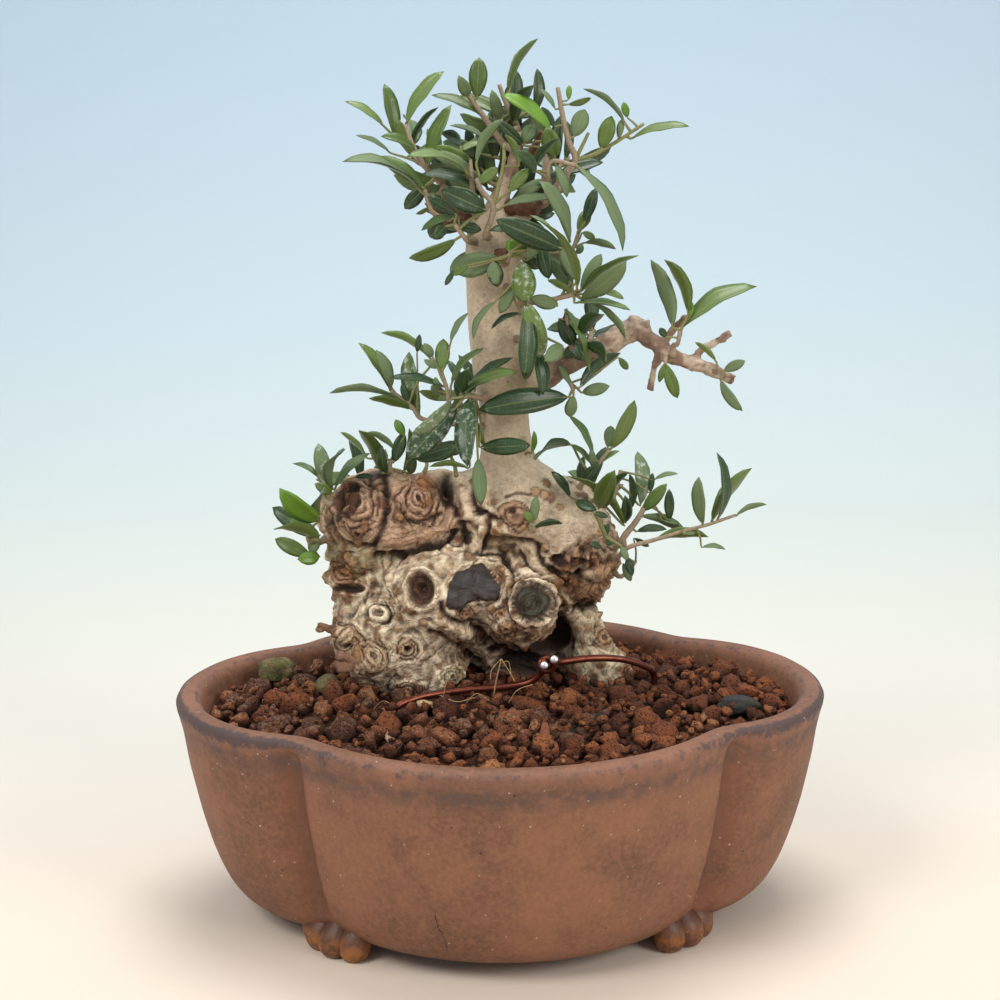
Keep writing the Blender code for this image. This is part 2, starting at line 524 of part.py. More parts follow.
def touches(points, others, clearance):
    low, high = points.min(axis=0) - clearance, points.max(axis=0) + clearance
    near = others[np.all((others > low) & (others < high), axis=1)]
    if not len(near):
        return False
    return bool((np.linalg.norm(points[:, None] - near[None], axis=2) < clearance).any())


def crowded(leaf, others, siblings):
    """True where a blade would come too near the wood, the soil, another node or its sisters."""
    points = leaf.samples()
    if np.any(wood_gap(points) < leaf.wood_needs()):
        return True
    if points[:, 2].min() < SOIL_MIDDLE + 4.0:
        return True
    return touches(points, others, CLEARANCE) or touches(leaf.samples(0.3), siblings, SISTER_CLEARANCE)


def free_foot(lines, rough, used):
    """The nearest point of the twigs that keeps its distance from the feet in use."""
    spots = np.concatenate([along(line[1:] if len(line) > 2 else line, 0.4) for line in lines])
    if used:
        room = np.linalg.norm(spots[:, None] - np.array(used)[None], axis=2).min(axis=1) > FOOT_SPACING
        spots = spots[room] if room.any() else spots
    return spots[np.argmin(np.linalg.norm(spots - rough, axis=1))]


def front_leaf(entry, lines, index, base_shift, tip_shift, shrink, used):
    """A leaf of the table, with its base and tip moved along the line of sight."""
    bx, bz, tx, tz, width = entry
    fronts = [EYE_BACK * (1.0 - depth_share(p)) for line in lines for p in line[1:]]
    rough = spot(bx, bz, float(np.mean(fronts)))
    foot = free_foot(lines, rough, used)
    base_front = EYE_BACK * (1.0 - depth_share(foot)) + base_shift
    base = spot(bx, bz, base_front)
    seen = math.hypot(tx - bx, tz - bz)
    lean = (draw(index, 1) - 0.45) * 0.7 * seen + tip_shift
    tip = spot(bx + (tx - bx) * shrink, bz + (tz - bz) * shrink, base_front + lean)
    if np.linalg.norm(foot - base) < 1.2:
        base = foot + unit(base - foot) * 0.2
    return Leaf(foot, base, tip, width, index)


def depth_share(point):
    """How near a point is to the eye: 1 on the upright plane, less towards the viewer."""
    c, s = math.cos(YAW), math.sin(YAW)
    y = c * point[1] + s * point[0]
    return 1.0 + y / EYE_BACK


def back_leaf(line, number, index, turn, shrink):
    """A leaf of a back spray: pairs turned by a right angle from one to the next."""
    pair, hand = divmod(number, 2)
    t = 0.45 + 0.55 * (pair + 0.35 * hand) / BACK_PAIRS
    spine = along(line, 0.4)
    foot = spine[min(int(t * len(spine)), len(spine) - 1)]
    heading = unit(spine[-1] - spine[0])
    flat = unit(np.cross(heading, (0.0, 0.0, 1.0)))
    rise = np.cross(flat, heading)
    angle = math.pi * hand + math.pi / 2 * (pair % 2) + turn + 0.5 * (draw(index, 2) - 0.5)
    out = flat * math.cos(angle) + rise * math.sin(angle)
    length = BACK_LEAF * (0.8 + 0.4 * draw(index, 3)) * shrink
    tip = foot + length * unit(out + (0.45 + 0.5 * t) * heading)
    width = 0.34 * length
    return Leaf(foot, foot + unit(tip - foot) * 0.3, tip, width * 0.8, index, real_width=width)


def place_leaves():
    """Leaves of every spray, each bent until it clears the wood and the other nodes."""
    lines = spray_lines()
    taken = {name: [twig_points(rows)] for name, rows in lines.items()}
    leaves = {name: [] for name in lines}
    index = 0
    for name, rows in lines.items():
        others = np.concatenate([p for key, sets in taken.items() if key != name for p in sets])
        count = len(SPRAYS[name]["leaves"]) if name in SPRAYS else 2 * BACK_PAIRS
        siblings = np.concatenate([along(row, 0.9) for row in rows])
        for number in range(count):
            index += 1
            if name in SPRAYS and small(SPRAYS[name]["leaves"][number]):
                continue
            used = [leaf.foot for leaf in leaves[name]]
            leaf = fit_leaf(name, number, rows, index, others, siblings, used)
            if leaf:
                leaves[name].append(leaf)
                taken[name].append(leaf.samples())
                siblings = np.concatenate((siblings, leaf.samples(0.3)))
    return lines, leaves


def small(entry):
    """True for a leaf too small to be a blade of its own in the solid."""
    bx, bz, tx, tz, width = entry
    return math.hypot(tx - bx, tz - bz) < SMALL_LEAF and width < 2.3


def fit_leaf(name, number, rows, index, others, siblings, used):
    for shrink in (1.0, 0.88, 0.76):
        for base_shift in BASE_TRIES:
            for shift in LEAN_TRIES:
                if name in SPRAYS:
                    entry = SPRAYS[name]["leaves"][number]
                    leaf = front_leaf(entry, rows, index, base_shift, shift, shrink, used)
                else:
                    leaf = back_leaf(rows[0], number, index, 0.12 * shift + 0.3 * base_shift, shrink)
                if not crowded(leaf, others, siblings):
                    return leaf
    print("no room for leaf", number, "of", name)
    return None


# Scars and knobs on the front of the burl: x, z, radius and height of each, in front view
SWELLINGS = (
    (-33, 95, 5.5, 1.6), (-19, 97, 5.0, 1.5), (-26, 88.5, 4.0, 1.2), (-14, 88.5, 3.5, 1.0),
    (-35, 78, 3.6, 1.0), (-35, 61.5, 4.2, 1.2), (-30, 56, 3.6, 1.0), (-28.5, 69, 3.6, 1.0),
    (-21.5, 60, 3.0, 0.8), (-12, 55, 3.0, 0.8), (7, 71, 5.0, 1.4), (4.5, 92, 4.0, 1.2),
    (19, 78, 3.0, 1.1), (24, 72, 3.0, 1.0), (14, 79, 3.2, 1.0), (27, 56, 3.0, 1.0),
)
HOLLOWS = (
    (-18.5, 74.5, 4.0, 2.0), (-34.5, 73.5, 3.5, 1.8), (-24, 82.5, 3.2, 1.6), (-16, 84.5, 3.0, 1.4),
    (-36, 95, 2.4, 1.2), (13, 62, 4.5, 2.4), (5, 56, 5.0, 2.2), (-5, 65.5, 3.0, 1.2),
    (7.5, 71, 2.6, 1.4), (3, 80, 3.0, 1.2),
)
PASTE_OUTLINE = (
    (-8, 79), (-4, 80.5), (-1, 77.5), (0, 74), (-2, 71.8), (-6, 71), (-9, 69.2), (-12, 70.2),
    (-12, 74), (-10.5, 77.5),
)
PASTE_THICK = 1.1

# Stones: x, z, front and radii
STONES = {
    "mossy_stone_1": (-52, 55, -14.3, 4.4, 3.8, 3.4),
    "mossy_stone_2": (-39.5, 51, -3.1, 3.0, 2.8, 2.6),
    "dark_stone": (55, 46.5, 6.0, 4.8, 3.6, 2.4),
}
STONE_SUNK = 0.55

# The wire in front view from one cut end to the soil, and from the soil to the other cut end
WIRE_LEFT = (
    (10.2, 57.2, 7.5), (10.0, 56.2, 5.0), (9.6, 54.6, 3.6), (7.0, 52.2, 2.6), (0.0, 50.9, 2.4),
    (-7.0, 50.4, 3.6), (-13.5, 49.5, 5.4), (-19.5, 48.2, 8.0), (-24.5, 45.6, 11.2),
)
WIRE_RIGHT = (
    (35.5, 54.2, -6.5), (33.0, 56.2, -4.2), (28.0, 57.7, -1.5), (20.7, 57.9, 1.0),
    (15.0, 57.2, 3.0), (13.0, 57.0, 4.6), (12.6, 57.9, 7.2),
)
# Its way through the soil, the drain holes and under the pot's floor, in the pot's frame
WIRE_DOWN = (
    (-27.5, -7.0, 38.0), (-28.0, -2.0, 22.0), (-28.0, 0.0, 11.0), (-27.6, 0.0, 4.6),
    (-25.4, 0.0, WIRE_UNDER), (0.0, 0.0, WIRE_UNDER), (25.4, 0.0, WIRE_UNDER),
    (27.6, 0.0, 4.6), (28.0, 0.0, 11.0), (29.5, 2.0, 22.0), (34.5, 5.5, 38.0),
)
WIRE_STEP = 4.2
WIRE_SLACK = 1.2

# Pot wall: height, share of the outline, and how far the wall stands in from it
POT_OUTSIDE = (
    (BODY_UNDER, 0.70, 0.0), (4.4, 0.79, 0.0), (7.0, 0.835, 0.0), (12.0, 0.875, 0.0),
    (23.0, 0.925, 0.0), (36.0, 0.965, 0.0), (46.5, 0.99, 0.0), (50.2, 1.0, 0.0),
    (51.6, 1.0, 1.2), (POT_HEIGHT, 1.0, 2.6),
)
POT_INSIDE = (
    (51.5, 1.0, 4.6), (49.5, 0.995, 5.6), (25.0, 0.935, 6.0), (13.0, 0.88, 6.6),
    (FLOOR_TOP, 0.84, 8.0),
)


def end_lobe(theta):
    """Radius of the ellipse at each end of the pot, 0 where a ray passes it by."""
    c, s = np.abs(np.cos(theta)), np.sin(theta)
    reach = POT_LONG / 2 - END_LOBE_CENTRE
    square = (c / reach) ** 2 + (s / END_LOBE_SIDE) ** 2
    half = END_LOBE_CENTRE * c / reach ** 2
    inside = half ** 2 - square * ((END_LOBE_CENTRE / reach) ** 2 - 1.0)
    return np.where(inside > 0.0, half + np.sqrt(np.maximum(inside, 0.0)), 0.0) / square


def outline(theta):
    """Radius of the four-lobed oval: end lobes and a middle circle, blended by a power norm."""
    ends = end_lobe(theta) ** LOBE_CRISP
    return (ends + (POT_SHORT / 2) ** LOBE_CRISP) ** (1.0 / LOBE_CRISP)


def pot_turn():
    """Angles round the pot, with one of them on each of its four creases."""
    quarter = np.linspace(0.0, 0.5 * math.pi, 2000)
    crease = quarter[np.argmax(end_lobe(quarter) < POT_SHORT / 2)]
    creases = (-crease, crease, math.pi - crease, math.pi + crease, 2.0 * math.pi - crease)
    counts = (SIDE_STEPS, FRONT_STEPS, SIDE_STEPS, FRONT_STEPS)
    arcs = [np.linspace(a, b, n, endpoint=False) for a, b, n in zip(creases, creases[1:], counts)]
    return np.concatenate(arcs)


POT_TURN = pot_turn()


def ring(z, share, inset):
    radius = outline(POT_TURN) * share - inset
    heights = np.full(len(POT_TURN), z)
    return np.stack((radius * np.cos(POT_TURN), radius * np.sin(POT_TURN), heights), axis=1)


def collection(name):
    group = bpy.data.collections.new(name)
    bpy.context.scene.collection.children.link(group)
    return group


def mesh_object(name, verts, faces, group):
    mesh = bpy.data.meshes.new(name)
    mesh.from_pydata((np.asarray(verts) * MM).tolist(), [], faces)
    mesh.update()
    obj = bpy.data.objects.new(name, mesh)
    group.objects.link(obj)
    return obj


def loft(name, rings, group, cap_start=True, cap_end=True):
    """Rings of equal count joined by quads, with a flat face over each end."""
    count = len(rings[0])
    faces = []
    for level in range(len(rings) - 1):
        a, b = level * count, (level + 1) * count
        for i in range(count):
            j = (i + 1) % count
            faces.append((a + i, a + j, b + j, b + i))
    if cap_start:
        faces.append(tuple(reversed(range(count))))
    if cap_end:
        last = (len(rings) - 1) * count
        faces.append(tuple(range(last, last + count)))
    return mesh_object(name, np.concatenate(rings), faces, group)


def take_result(obj):
    """Replace an object's mesh by what its modifiers make of it."""
    graph = bpy.context.evaluated_depsgraph_get()
    mesh = bpy.data.meshes.new_from_object(obj.evaluated_get(graph), depsgraph=graph)
    obj.modifiers.clear()
    obj.data = mesh
    return obj


def drop(objects):
    for obj in list(objects):
        bpy.data.objects.remove(obj)


def merge(base, others, solver="EXACT"):
    """One Boolean union of an object with others, which are then removed."""
    if not others:
        return base
    group = collection("joined_pieces")
    for other in others:
        for old in list(other.users_collection):
            old.objects.unlink(other)
        group.objects.link(other)
    union = base.modifiers.new("union", "BOOLEAN")
    union.operation = "UNION"
    union.operand_type = "COLLECTION"
    union.collection = group
    union.solver = solver
    take_result(base)
    drop(group.objects)
    bpy.data.collections.remove(group)
    return base


def cut(base, cutter, solver="EXACT"):
    away = base.modifiers.new("cut", "BOOLEAN")
    away.operation = "DIFFERENCE"
    away.solver = solver
    away.object = cutter
    take_result(base)
    drop([cutter])
    return base


def keep_largest(obj):
    """Drop loose scraps that a Boolean leaves, keeping the largest body."""
    shape = bmesh.new()
    shape.from_mesh(obj.data)
    left = set(shape.verts)
    bodies = []
    while left:
        front = [left.pop()]
        body = list(front)
        while front:
            for edge in front.pop().link_edges:
                for vert in edge.verts:
                    if vert in left:
                        left.discard(vert)
                        front.append(vert)
                        body.append(vert)
        bodies.append(body)
    bodies.sort(key=len)
    for body in bodies[:-1]:
        bmesh.ops.delete(shape, geom=body, context="VERTS")
    shape.to_mesh(obj.data)
    shape.free()
    return sum(len(body) for body in bodies[:-1])


def box(name, low, high, group):
    low, high = np.asarray(low, float), np.asarray(high, float)
    bpy.ops.mesh.primitive_cube_add(size=1.0, location=(0.5 * (low + high) * MM).tolist())
    obj = bpy.context.object
    obj.name = name
    obj.scale = ((high - low) * MM).tolist()
    bpy.ops.object.transform_apply(location=True, rotation=True, scale=True)
    for old in list(obj.users_collection):
        old.objects.unlink(obj)
    group.objects.link(obj)
    return obj


def rod(name, points, radii, group, sides=2):
    """A round rod along bent points: a bevelled curve made a mesh with its caps welded."""
    curve = bpy.data.curves.new(name, "CURVE")
    curve.dimensions = "3D"
    curve.bevel_depth = MM
    curve.bevel_resolution = sides
    curve.use_fill_caps = True
    spline = curve.splines.new("POLY")
    spline.points.add(len(points) - 1)
    for stop, point, radius in zip(spline.points, points, radii):
        stop.co = (*(np.asarray(point) * MM), 1.0)
        stop.radius = radius
    bent = bpy.data.objects.new(name + "_curve", curve)
    group.objects.link(bent)
    graph = bpy.context.evaluated_depsgraph_get()
    mesh = bpy.data.meshes.new_from_object(bent.evaluated_get(graph), depsgraph=graph)
    shape = bmesh.new()
    shape.from_mesh(mesh)
    bmesh.ops.remove_doubles(shape, verts=shape.verts, dist=1e-6)
    bmesh.ops.recalc_face_normals(shape, faces=shape.faces)
    shape.to_mesh(mesh)
    shape.free()
    obj = bpy.data.objects.new(name, mesh)
    obj.matrix_world = bent.matrix_world
    group.objects.link(obj)
    drop([bent])
    return obj


def tree_of(obj):
    """Search tree of an object's mesh, in metres."""
    mesh = obj.data
    verts = [v.co for v in mesh.vertices]
    return BVHTree.FromPolygons(verts, [tuple(p.vertices) for p in mesh.polygons])


def finish(obj, name, color, roughness, metallic=0.0):
    material = bpy.data.materials.new(name)
    material.use_nodes = True
    shader = material.node_tree.nodes["Principled BSDF"]
    shader.inputs["Base Color"].default_value = (*color, 1.0)
    shader.inputs["Roughness"].default_value = roughness
    shader.inputs["Metallic"].default_value = metallic
    obj.data.materials.clear()
    obj.data.materials.append(material)
    obj.name = name
    obj.data.name = name


def make_pot(parts, tools):
    rings = [ring(*row) for row in POT_OUTSIDE + POT_INSIDE]
    pot = loft("pot", rings, parts)
    toes = []
    for sx, sy in ((1, 1), (-1, 1), (-1, -1), (1, -1)):
        middle = np.array((sx * FOOT_X, sy * FOOT_Y, 0.0))
        out = unit(middle)
        along_wall = np.array((-out[1], out[0], 0.0))
        for side, forward in TOES:
            toes.append(toe(middle + side * along_wall + forward * out, out, tools))
    merge(pot, toes)
    for sx in (-1, 1):
        bpy.ops.mesh.primitive_cylinder_add(
            vertices=20, radius=DRAIN_RADIUS * MM, depth=4 * FLOOR_TOP * MM,
            location=(sx * DRAIN_X * MM, 0, 0))
        cut(pot, bpy.context.object)
    return pot


def toe(base, out, tools):
    """One rounded toe of a foot, leaning in under the wall as it rises."""
    turn = np.linspace(0.0, 2.0 * math.pi, 8, endpoint=False)
    rings = []
    for z, radius, lean in TOE_RINGS:
        middle = base - lean * out + (0.0, 0.0, z)
        rings.append(middle + radius * np.stack((np.cos(turn), np.sin(turn), 0 * turn), axis=1))
    return loft("toe", rings, tools)


def make_drain_mesh(name, x, parts, tools):
    low, high = FLOOR_TOP + GAP, FLOOR_TOP + GAP + MESH_THICK
    plate = box(name, (x - MESH_HALF, -MESH_HALF, low), (x + MESH_HALF, MESH_HALF, high), parts)
    pitch, half = MESH_OPENING + MESH_BAR, MESH_OPENING / 2
    for i in (-1, 0, 1):
        for j in (-1, 0, 1):
            near = (x + i * pitch - half, j * pitch - half, low - 1.0)
            far = (x + i * pitch + half, j * pitch + half, high + 1.0)
            cut(plate, box("gap", near, far, tools))
    return plate


def wire_path():
    """Smooth route of the whole wire: front left run, under the pot's floor, front right run."""
    left = [spot(*p) for p in WIRE_LEFT]
    right = [spot(*p) for p in WIRE_RIGHT]
    knots = np.array([*left, *WIRE_DOWN, *right], float)
    return smooth_line(knots, WIRE_STEP)


def smooth_line(knots, step):
    """A centripetal curve through the knots, read off every `step` mm."""
    padded = np.concatenate((knots[:1] * 2 - knots[1:2], knots, knots[-1:] * 2 - knots[-2:-1]))
    dense = []
    for p0, p1, p2, p3 in zip(padded, padded[1:], padded[2:], padded[3:]):
        gaps = [max(np.linalg.norm(b - a), 1e-6) ** 0.5 for a, b in ((p0, p1), (p1, p2), (p2, p3))]
        t0, t1 = 0.0, gaps[0]
        t2 = t1 + gaps[1]
        t3 = t2 + gaps[2]
        for t in np.linspace(t1, t2, 12, endpoint=False):
            a1 = (t1 - t) / (t1 - t0) * p0 + (t - t0) / (t1 - t0) * p1
            a2 = (t2 - t) / (t2 - t1) * p1 + (t - t1) / (t2 - t1) * p2
            a3 = (t3 - t) / (t3 - t2) * p2 + (t - t2) / (t3 - t2) * p3
            b1 = (t2 - t) / (t2 - t0) * a1 + (t - t0) / (t2 - t0) * a2
            b2 = (t3 - t) / (t3 - t1) * a2 + (t - t1) / (t3 - t1) * a3
            dense.append((t2 - t) / (t2 - t1) * b1 + (t - t1) / (t2 - t1) * b2)
    dense.append(knots[-1])
    return along(np.array(dense), step)


def grain_height(x, y):
    """Rounded grains on a jittered grid: 1 on a grain's top, 0 between grains."""
    cell = GRAIN_CELL
    cx, cy = np.floor(x / cell), np.floor(y / cell)
    best = np.full(np.shape(x), 9.0)
    for i in (-1, 0, 1):
        for j in (-1, 0, 1):
            gx, gy = cx + i, cy + j
            jx = np.modf(np.abs(np.sin(gx * 12.9898 + gy * 78.233) * 43758.5453))[0]
            jy = np.modf(np.abs(np.sin(gx * 39.346 + gy * 11.135) * 24634.6345))[0]
            best = np.minimum(best, np.hypot(x - (gx + jx) * cell, y - (gy + jy) * cell) / cell)
    return np.clip(1.0 - (best / 0.75) ** 2, 0.0, 1.0)


def soil_height(x, y, wire):
    """Top of the soil: a low mound with a relief of grains, flat under what stands on it."""
    x, y = np.asarray(x, float), np.asarray(y, float)
    edge = np.hypot(x, y) / outline(np.arctan2(y, x))
    height = SOIL_EDGE + (SOIL_MIDDLE - SOIL_EDGE) * ease((MOUND_END - edge) / MOUND_RAMP)
    relief = grain_height(x, y) - GRAIN_LEVEL
    height = height + GRAIN_RISE * relief * ease((GRAIN_END - edge) / GRAIN_RAMP)
    foot = wood_gap(np.stack((x, y, np.full(x.shape, WOOD_CUT + 1.0)), axis=-1).reshape(-1, 3))
    under_wood = foot.reshape(x.shape) < FLAT_WOOD
    height = np.where(under_wood, np.minimum(height, WOOD_CUT - GAP - 0.1), height)
    for px, pz, front, rx, ry, rz in STONES.values():
        centre = spot(px, pz, front)
        beneath = np.hypot(x - centre[0], y - centre[1]) < max(rx, ry) + FLAT_STONE
        height = np.where(beneath, np.minimum(height, centre[2] - rz * STONE_SUNK - GAP), height)
    for point in wire[wire[:, 2] > SOIL_EDGE - 2.0]:
        beneath = np.hypot(x - point[0], y - point[1]) < FLAT_WIRE
        height = np.where(beneath, np.minimum(height, point[2] - WIRE_RADIUS - GAP), height)
    return height


def make_soil(parts, tools, wire):
    walls = [(z, share, inset + WALL_GAP) for z, share, inset in reversed(POT_INSIDE) if z < SOIL_EDGE]
    rings = [ring(max(z, FLOOR_TOP + GAP), share, inset) for z, share, inset in walls]
    edge = ring(SOIL_EDGE, SOIL_SPREAD, SOIL_INSET + WALL_GAP)
    for k in range(SOIL_RINGS):
        x, y = edge[:, 0] * (1 - k / SOIL_RINGS), edge[:, 1] * (1 - k / SOIL_RINGS)
        rings.append(np.stack((x, y, soil_height(x, y, wire)), axis=1))
    soil = loft("soil", rings, parts)
    cut(soil, plug(PLUG_BOTTOM - GAP, WOOD_CUT + PLUG_CLEAR, GAP, tools))
    reach = MESH_HALF + GAP
    for sx in (-1, 1):
        low = (sx * DRAIN_X - reach, -reach, 0.0)
        high = (sx * DRAIN_X + reach, reach, FLOOR_TOP + 2 * GAP + MESH_THICK)
        cut(soil, box("pocket", low, high, tools))
    half = len(wire) // 2
    for run in (wire[:half], wire[half:]):
        inside = run[(run[:, 2] < SOIL_EDGE + 1.2) & (run[:, 2] > 5.0) & (np.abs(run[:, 0]) > 20.0)]
        if inside[0, 2] > inside[-1, 2]:
            inside = inside[::-1]
        mouth = inside[-1] + 5.0 * unit(inside[-1] - inside[-2]) + (0.0, 0.0, 1.0)
        inside = np.concatenate((inside, mouth[None]))
        radii = [WIRE_SLACK] * (len(inside) - 2) + [WIRE_SLACK + 0.3, WIRE_SLACK + 1.0]
        cut(soil, rod("channel", inside, radii, tools, sides=1), "MANIFOLD")
    keep_largest(soil)
    return soil


def plug(bottom, top, extra, group):
    """The root block, an upright oval column, or with `extra` the hole that it stands in."""
    turn = np.linspace(0.0, 2.0 * math.pi, PLUG_SIDES, endpoint=False)
    rings = []
    for z in (bottom, top):
        rows = [turned(PLUG_CENTRE[0] + (PLUG_RADII[0] + extra) * math.cos(t),
                       PLUG_CENTRE[1] + (PLUG_RADII[1] + extra) * math.sin(t), z) for t in turn]
        rings.append(np.array(rows))
    return loft("plug", rings, group)


def front_view(points):
    """Where points are seen from the front: x and z on the upright plane."""
    c, s = math.cos(YAW), math.sin(YAW)
    x = c * points[:, 0] - s * points[:, 1] + POT_SHIFT
    y = s * points[:, 0] + c * points[:, 1]
    near = 1.0 + y / EYE_BACK
    return x / near, EYE_UP + (points[:, 2] - EYE_UP) / near, y


def burl_relief(points, normals):
    """Height of swellings and hollows where the surface faces the front."""
    x, z, _ = front_view(points)
    sight = EYE - points
    sight = sight / np.linalg.norm(sight, axis=1)[:, None]
    facing = ease((np.sum(sight * normals, axis=1) - 0.15) / 0.4)
    wave = np.sin(points * (0.55, 0.5, 0.6) + (1.0, 0.0, 0.0))
    height = 0.6 * wave.prod(axis=1) * ease((100.0 - points[:, 2]) / 8.0)
    for px, pz, radius, rise in SWELLINGS:
        height = height + facing * rise * np.exp(-((x - px) ** 2 + (z - pz) ** 2) / radius ** 2)
    for px, pz, radius, depth in HOLLOWS:
        height = height - facing * depth * np.exp(-((x - px) ** 2 + (z - pz) ** 2) / radius ** 2)
    return height


def make_wood(parts, tools):
    masses = []
    for x, y, z, rx, ry, rz in LUMPS:
        bpy.ops.mesh.primitive_uv_sphere_add(
            segments=28, ring_count=16, radius=1.0, location=(turned(x, y, z) * MM).tolist())
        mass = bpy.context.object
        mass.scale = (rx * MM, ry * MM, rz * MM)
        mass.rotation_euler = (0.0, 0.0, -YAW)
        masses.append(mass)
    stout = len(LIMBS) + 1
    for stops in LIMB_STOPS[:stout]:
        masses.append(rod("limb", stops[:, :3], stops[:, 3], tools, sides=5))
    bpy.ops.object.select_all(action="DESELECT")
    for mass in masses:
        mass.select_set(True)
    bpy.context.view_layer.objects.active = masses[0]
    bpy.ops.object.join()
    wood = bpy.context.object
    bpy.ops.object.transform_apply(location=True, rotation=True, scale=True)
    for old in list(wood.users_collection):
        old.objects.unlink(wood)
    parts.objects.link(wood)
    skin = wood.modifiers.new("skin", "REMESH")
    skin.mode = "VOXEL"
    skin.voxel_size = WOOD_VOXEL * MM
    soften = wood.modifiers.new("soften", "SMOOTH")
    soften.factor = 0.5
    soften.iterations = 2
    take_result(wood)
    carve(wood)
    rods = []
    for stops in LIMB_STOPS[stout:]:
        rods.append(rod("branch", stops[:, :3], stops[:, 3], tools, sides=1 if stops[0, 3] < 3 else 2))
    merge(wood, rods)
    cut(wood, box("under", (-90, -70, 0), (90, 70, WOOD_CUT), tools))
    merge(wood, [plug(PLUG_BOTTOM, WOOD_CUT + PLUG_SUNK, 0.0, tools)])
    return wood


def carve(wood):
    """Move the burl's points in or out by the relief."""
    mesh = wood.data
    co = np.empty(len(mesh.vertices) * 3)
    no = np.empty(len(mesh.vertices) * 3)
    mesh.vertices.foreach_get("co", co)
    mesh.vertices.foreach_get("normal", no)
    points, normals = co.reshape(-1, 3) / MM, no.reshape(-1, 3)
    points = points + normals * burl_relief(points, normals)[:, None]
    mesh.vertices.foreach_set("co", (points * MM).ravel())
    mesh.update()


def make_paste(parts, wood_tree):
    """A thin patch draped over the burl's front: rings of its outline, cast on the wood."""
    rim = np.array(PASTE_OUTLINE, float)
    middle = rim.mean(axis=0)
    shares = (0.0, 0.55, 1.0)
    layers = {}
    for layer, lift in (("back", GAP + 0.35), ("front", GAP + 0.35 + PASTE_THICK)):
        for share in shares:
            row = []
            for x, z in middle + (rim - middle) * share:
                start = spot(x, z, 60.0)
                heading = unit(spot(x, z, 0.0) - start)
                hit = wood_tree.ray_cast(Vector(start * MM), Vector(heading))[0]
                row.append(np.array(hit) / MM - heading * lift)
            layers[layer, share] = np.array(row)
    count = len(rim)
    verts = [layers["front", 0.0][0]]
    for key in (("front", 0.55), ("front", 1.0), ("back", 1.0), ("back", 0.55)):
        verts.extend(layers[key])
    verts.append(layers["back", 0.0][0])
    faces = []
    last = len(verts) - 1
    for i in range(count):
        j = (i + 1) % count
        faces.append((0, 1 + j, 1 + i))
        for level in range(3):
            a, b = 1 + level * count, 1 + (level + 1) * count
            faces.append((a + i, a + j, b + j))
            faces.append((a + i, b + j, b + i))
        faces.append((last, 1 + 3 * count + i, 1 + 3 * count + j))
    paste = mesh_object("wound_paste", verts, faces, parts)
    square_up(paste)
    return paste


def square_up(obj):
    shape = bmesh.new()
    shape.from_mesh(obj.data)
    bmesh.ops.recalc_face_normals(shape, faces=shape.faces)
    shape.to_mesh(obj.data)
    shape.free()


def make_stone(name, x, z, front, rx, ry, rz, parts):
    centre = spot(x, z, front)
    bpy.ops.mesh.primitive_ico_sphere_add(subdivisions=2, radius=1.0)
    stone = bpy.context.object
    for vertex in stone.data.vertices:
        p = np.array(vertex.co)
        dent = 1.0 + 0.10 * math.sin(5.0 * p[0] + 3.0 * p[2] + x) + 0.08 * math.sin(6.0 * p[1] + z)
        p = p * dent
        p[2] = max(p[2], -STONE_SUNK)
        vertex.co = (centre + p * (rx, ry, rz)) * MM
    for old in list(stone.users_collection):
        old.objects.unlink(stone)
    parts.objects.link(stone)
    return stone


def leaf_mesh(leaf, tools):
    """A closed blade, flat above and keeled below, from the petiole's foot to the pointed tip."""
    first = leaf.base if np.linalg.norm(leaf.base - leaf.foot) > LONG_STALK else leaf.at(Leaf.STATIONS[0])
    rows = [(leaf.foot, PETIOLE_RADIUS, 0.0, 2 * PETIOLE_RADIUS, *leaf.frame_along(first - leaf.foot))]
    if first is leaf.base:
        bend = unit(first - leaf.foot) + unit(leaf.tip - leaf.base)
        rows.append((first, PETIOLE_RADIUS + 0.1, 0.0, 2 * PETIOLE_RADIUS, *leaf.frame_along(bend)))
    length = np.linalg.norm(leaf.tip - leaf.base)
    for t in Leaf.STATIONS if length > Leaf.SHORT else Leaf.SHORT_STATIONS:
        half = float(leaf.half_width(t))
        rows.append((leaf.at(t), half, half * leaf.fold * 2.0, LEAF_THICK, leaf.side, leaf.normal))
    verts = []
    for middle, half, lift, thick, side, normal in rows:
        rim = middle + normal * (lift + 0.3 * thick)
        verts += [rim + side * half, rim - side * half, middle - normal * (0.7 * thick)]
    verts.append(leaf.tip)
    faces = [(2, 1, 0)]
    sides = ((0, 1), (1, 2), (2, 0))
    for level in range(len(rows) - 1):
        a, b = 3 * level, 3 * level + 3
        for i, j in sides:
            faces += [(a + i, a + j, b + j), (a + i, b + j, b + i)]
    a, tip = 3 * (len(rows) - 1), len(verts) - 1
    faces += [(a + i, a + j, tip) for i, j in sides]
    blade = mesh_object("blade", verts, faces, tools)
    square_up(blade)
    return blade


def seat_twig(line, girth, wood_tree):
    """Start the first twig just off the wood's surface, square to it."""
    start = along(line, 0.3)
    outside = [i for i, p in enumerate(start) if wood_gap(p[None])[0] > girth + 0.5]
    free = outside[0] if outside else len(start) - 1
    hit, normal, _, _ = wood_tree.find_nearest(Vector(start[free] * MM))
    hit, normal = np.array(hit) / MM, unit(np.array(normal))
    if np.dot(start[free] - hit, normal) < 0:
        normal = -normal
    rest = [p for p in line[1:] if np.linalg.norm(p - hit) > 2.0 and wood_gap(p[None])[0] > 0.8]
    return hit, normal, rest


def open_edges(obj):
    """Edges that don't join exactly two faces once points 2 micrometres apart are one."""
    shape = bmesh.new()
    shape.from_mesh(obj.data)
    bmesh.ops.remove_doubles(shape, verts=shape.verts, dist=2e-6)
    count = sum(1 for edge in shape.edges if len(edge.link_faces) != 2)
    shape.free()
    return count


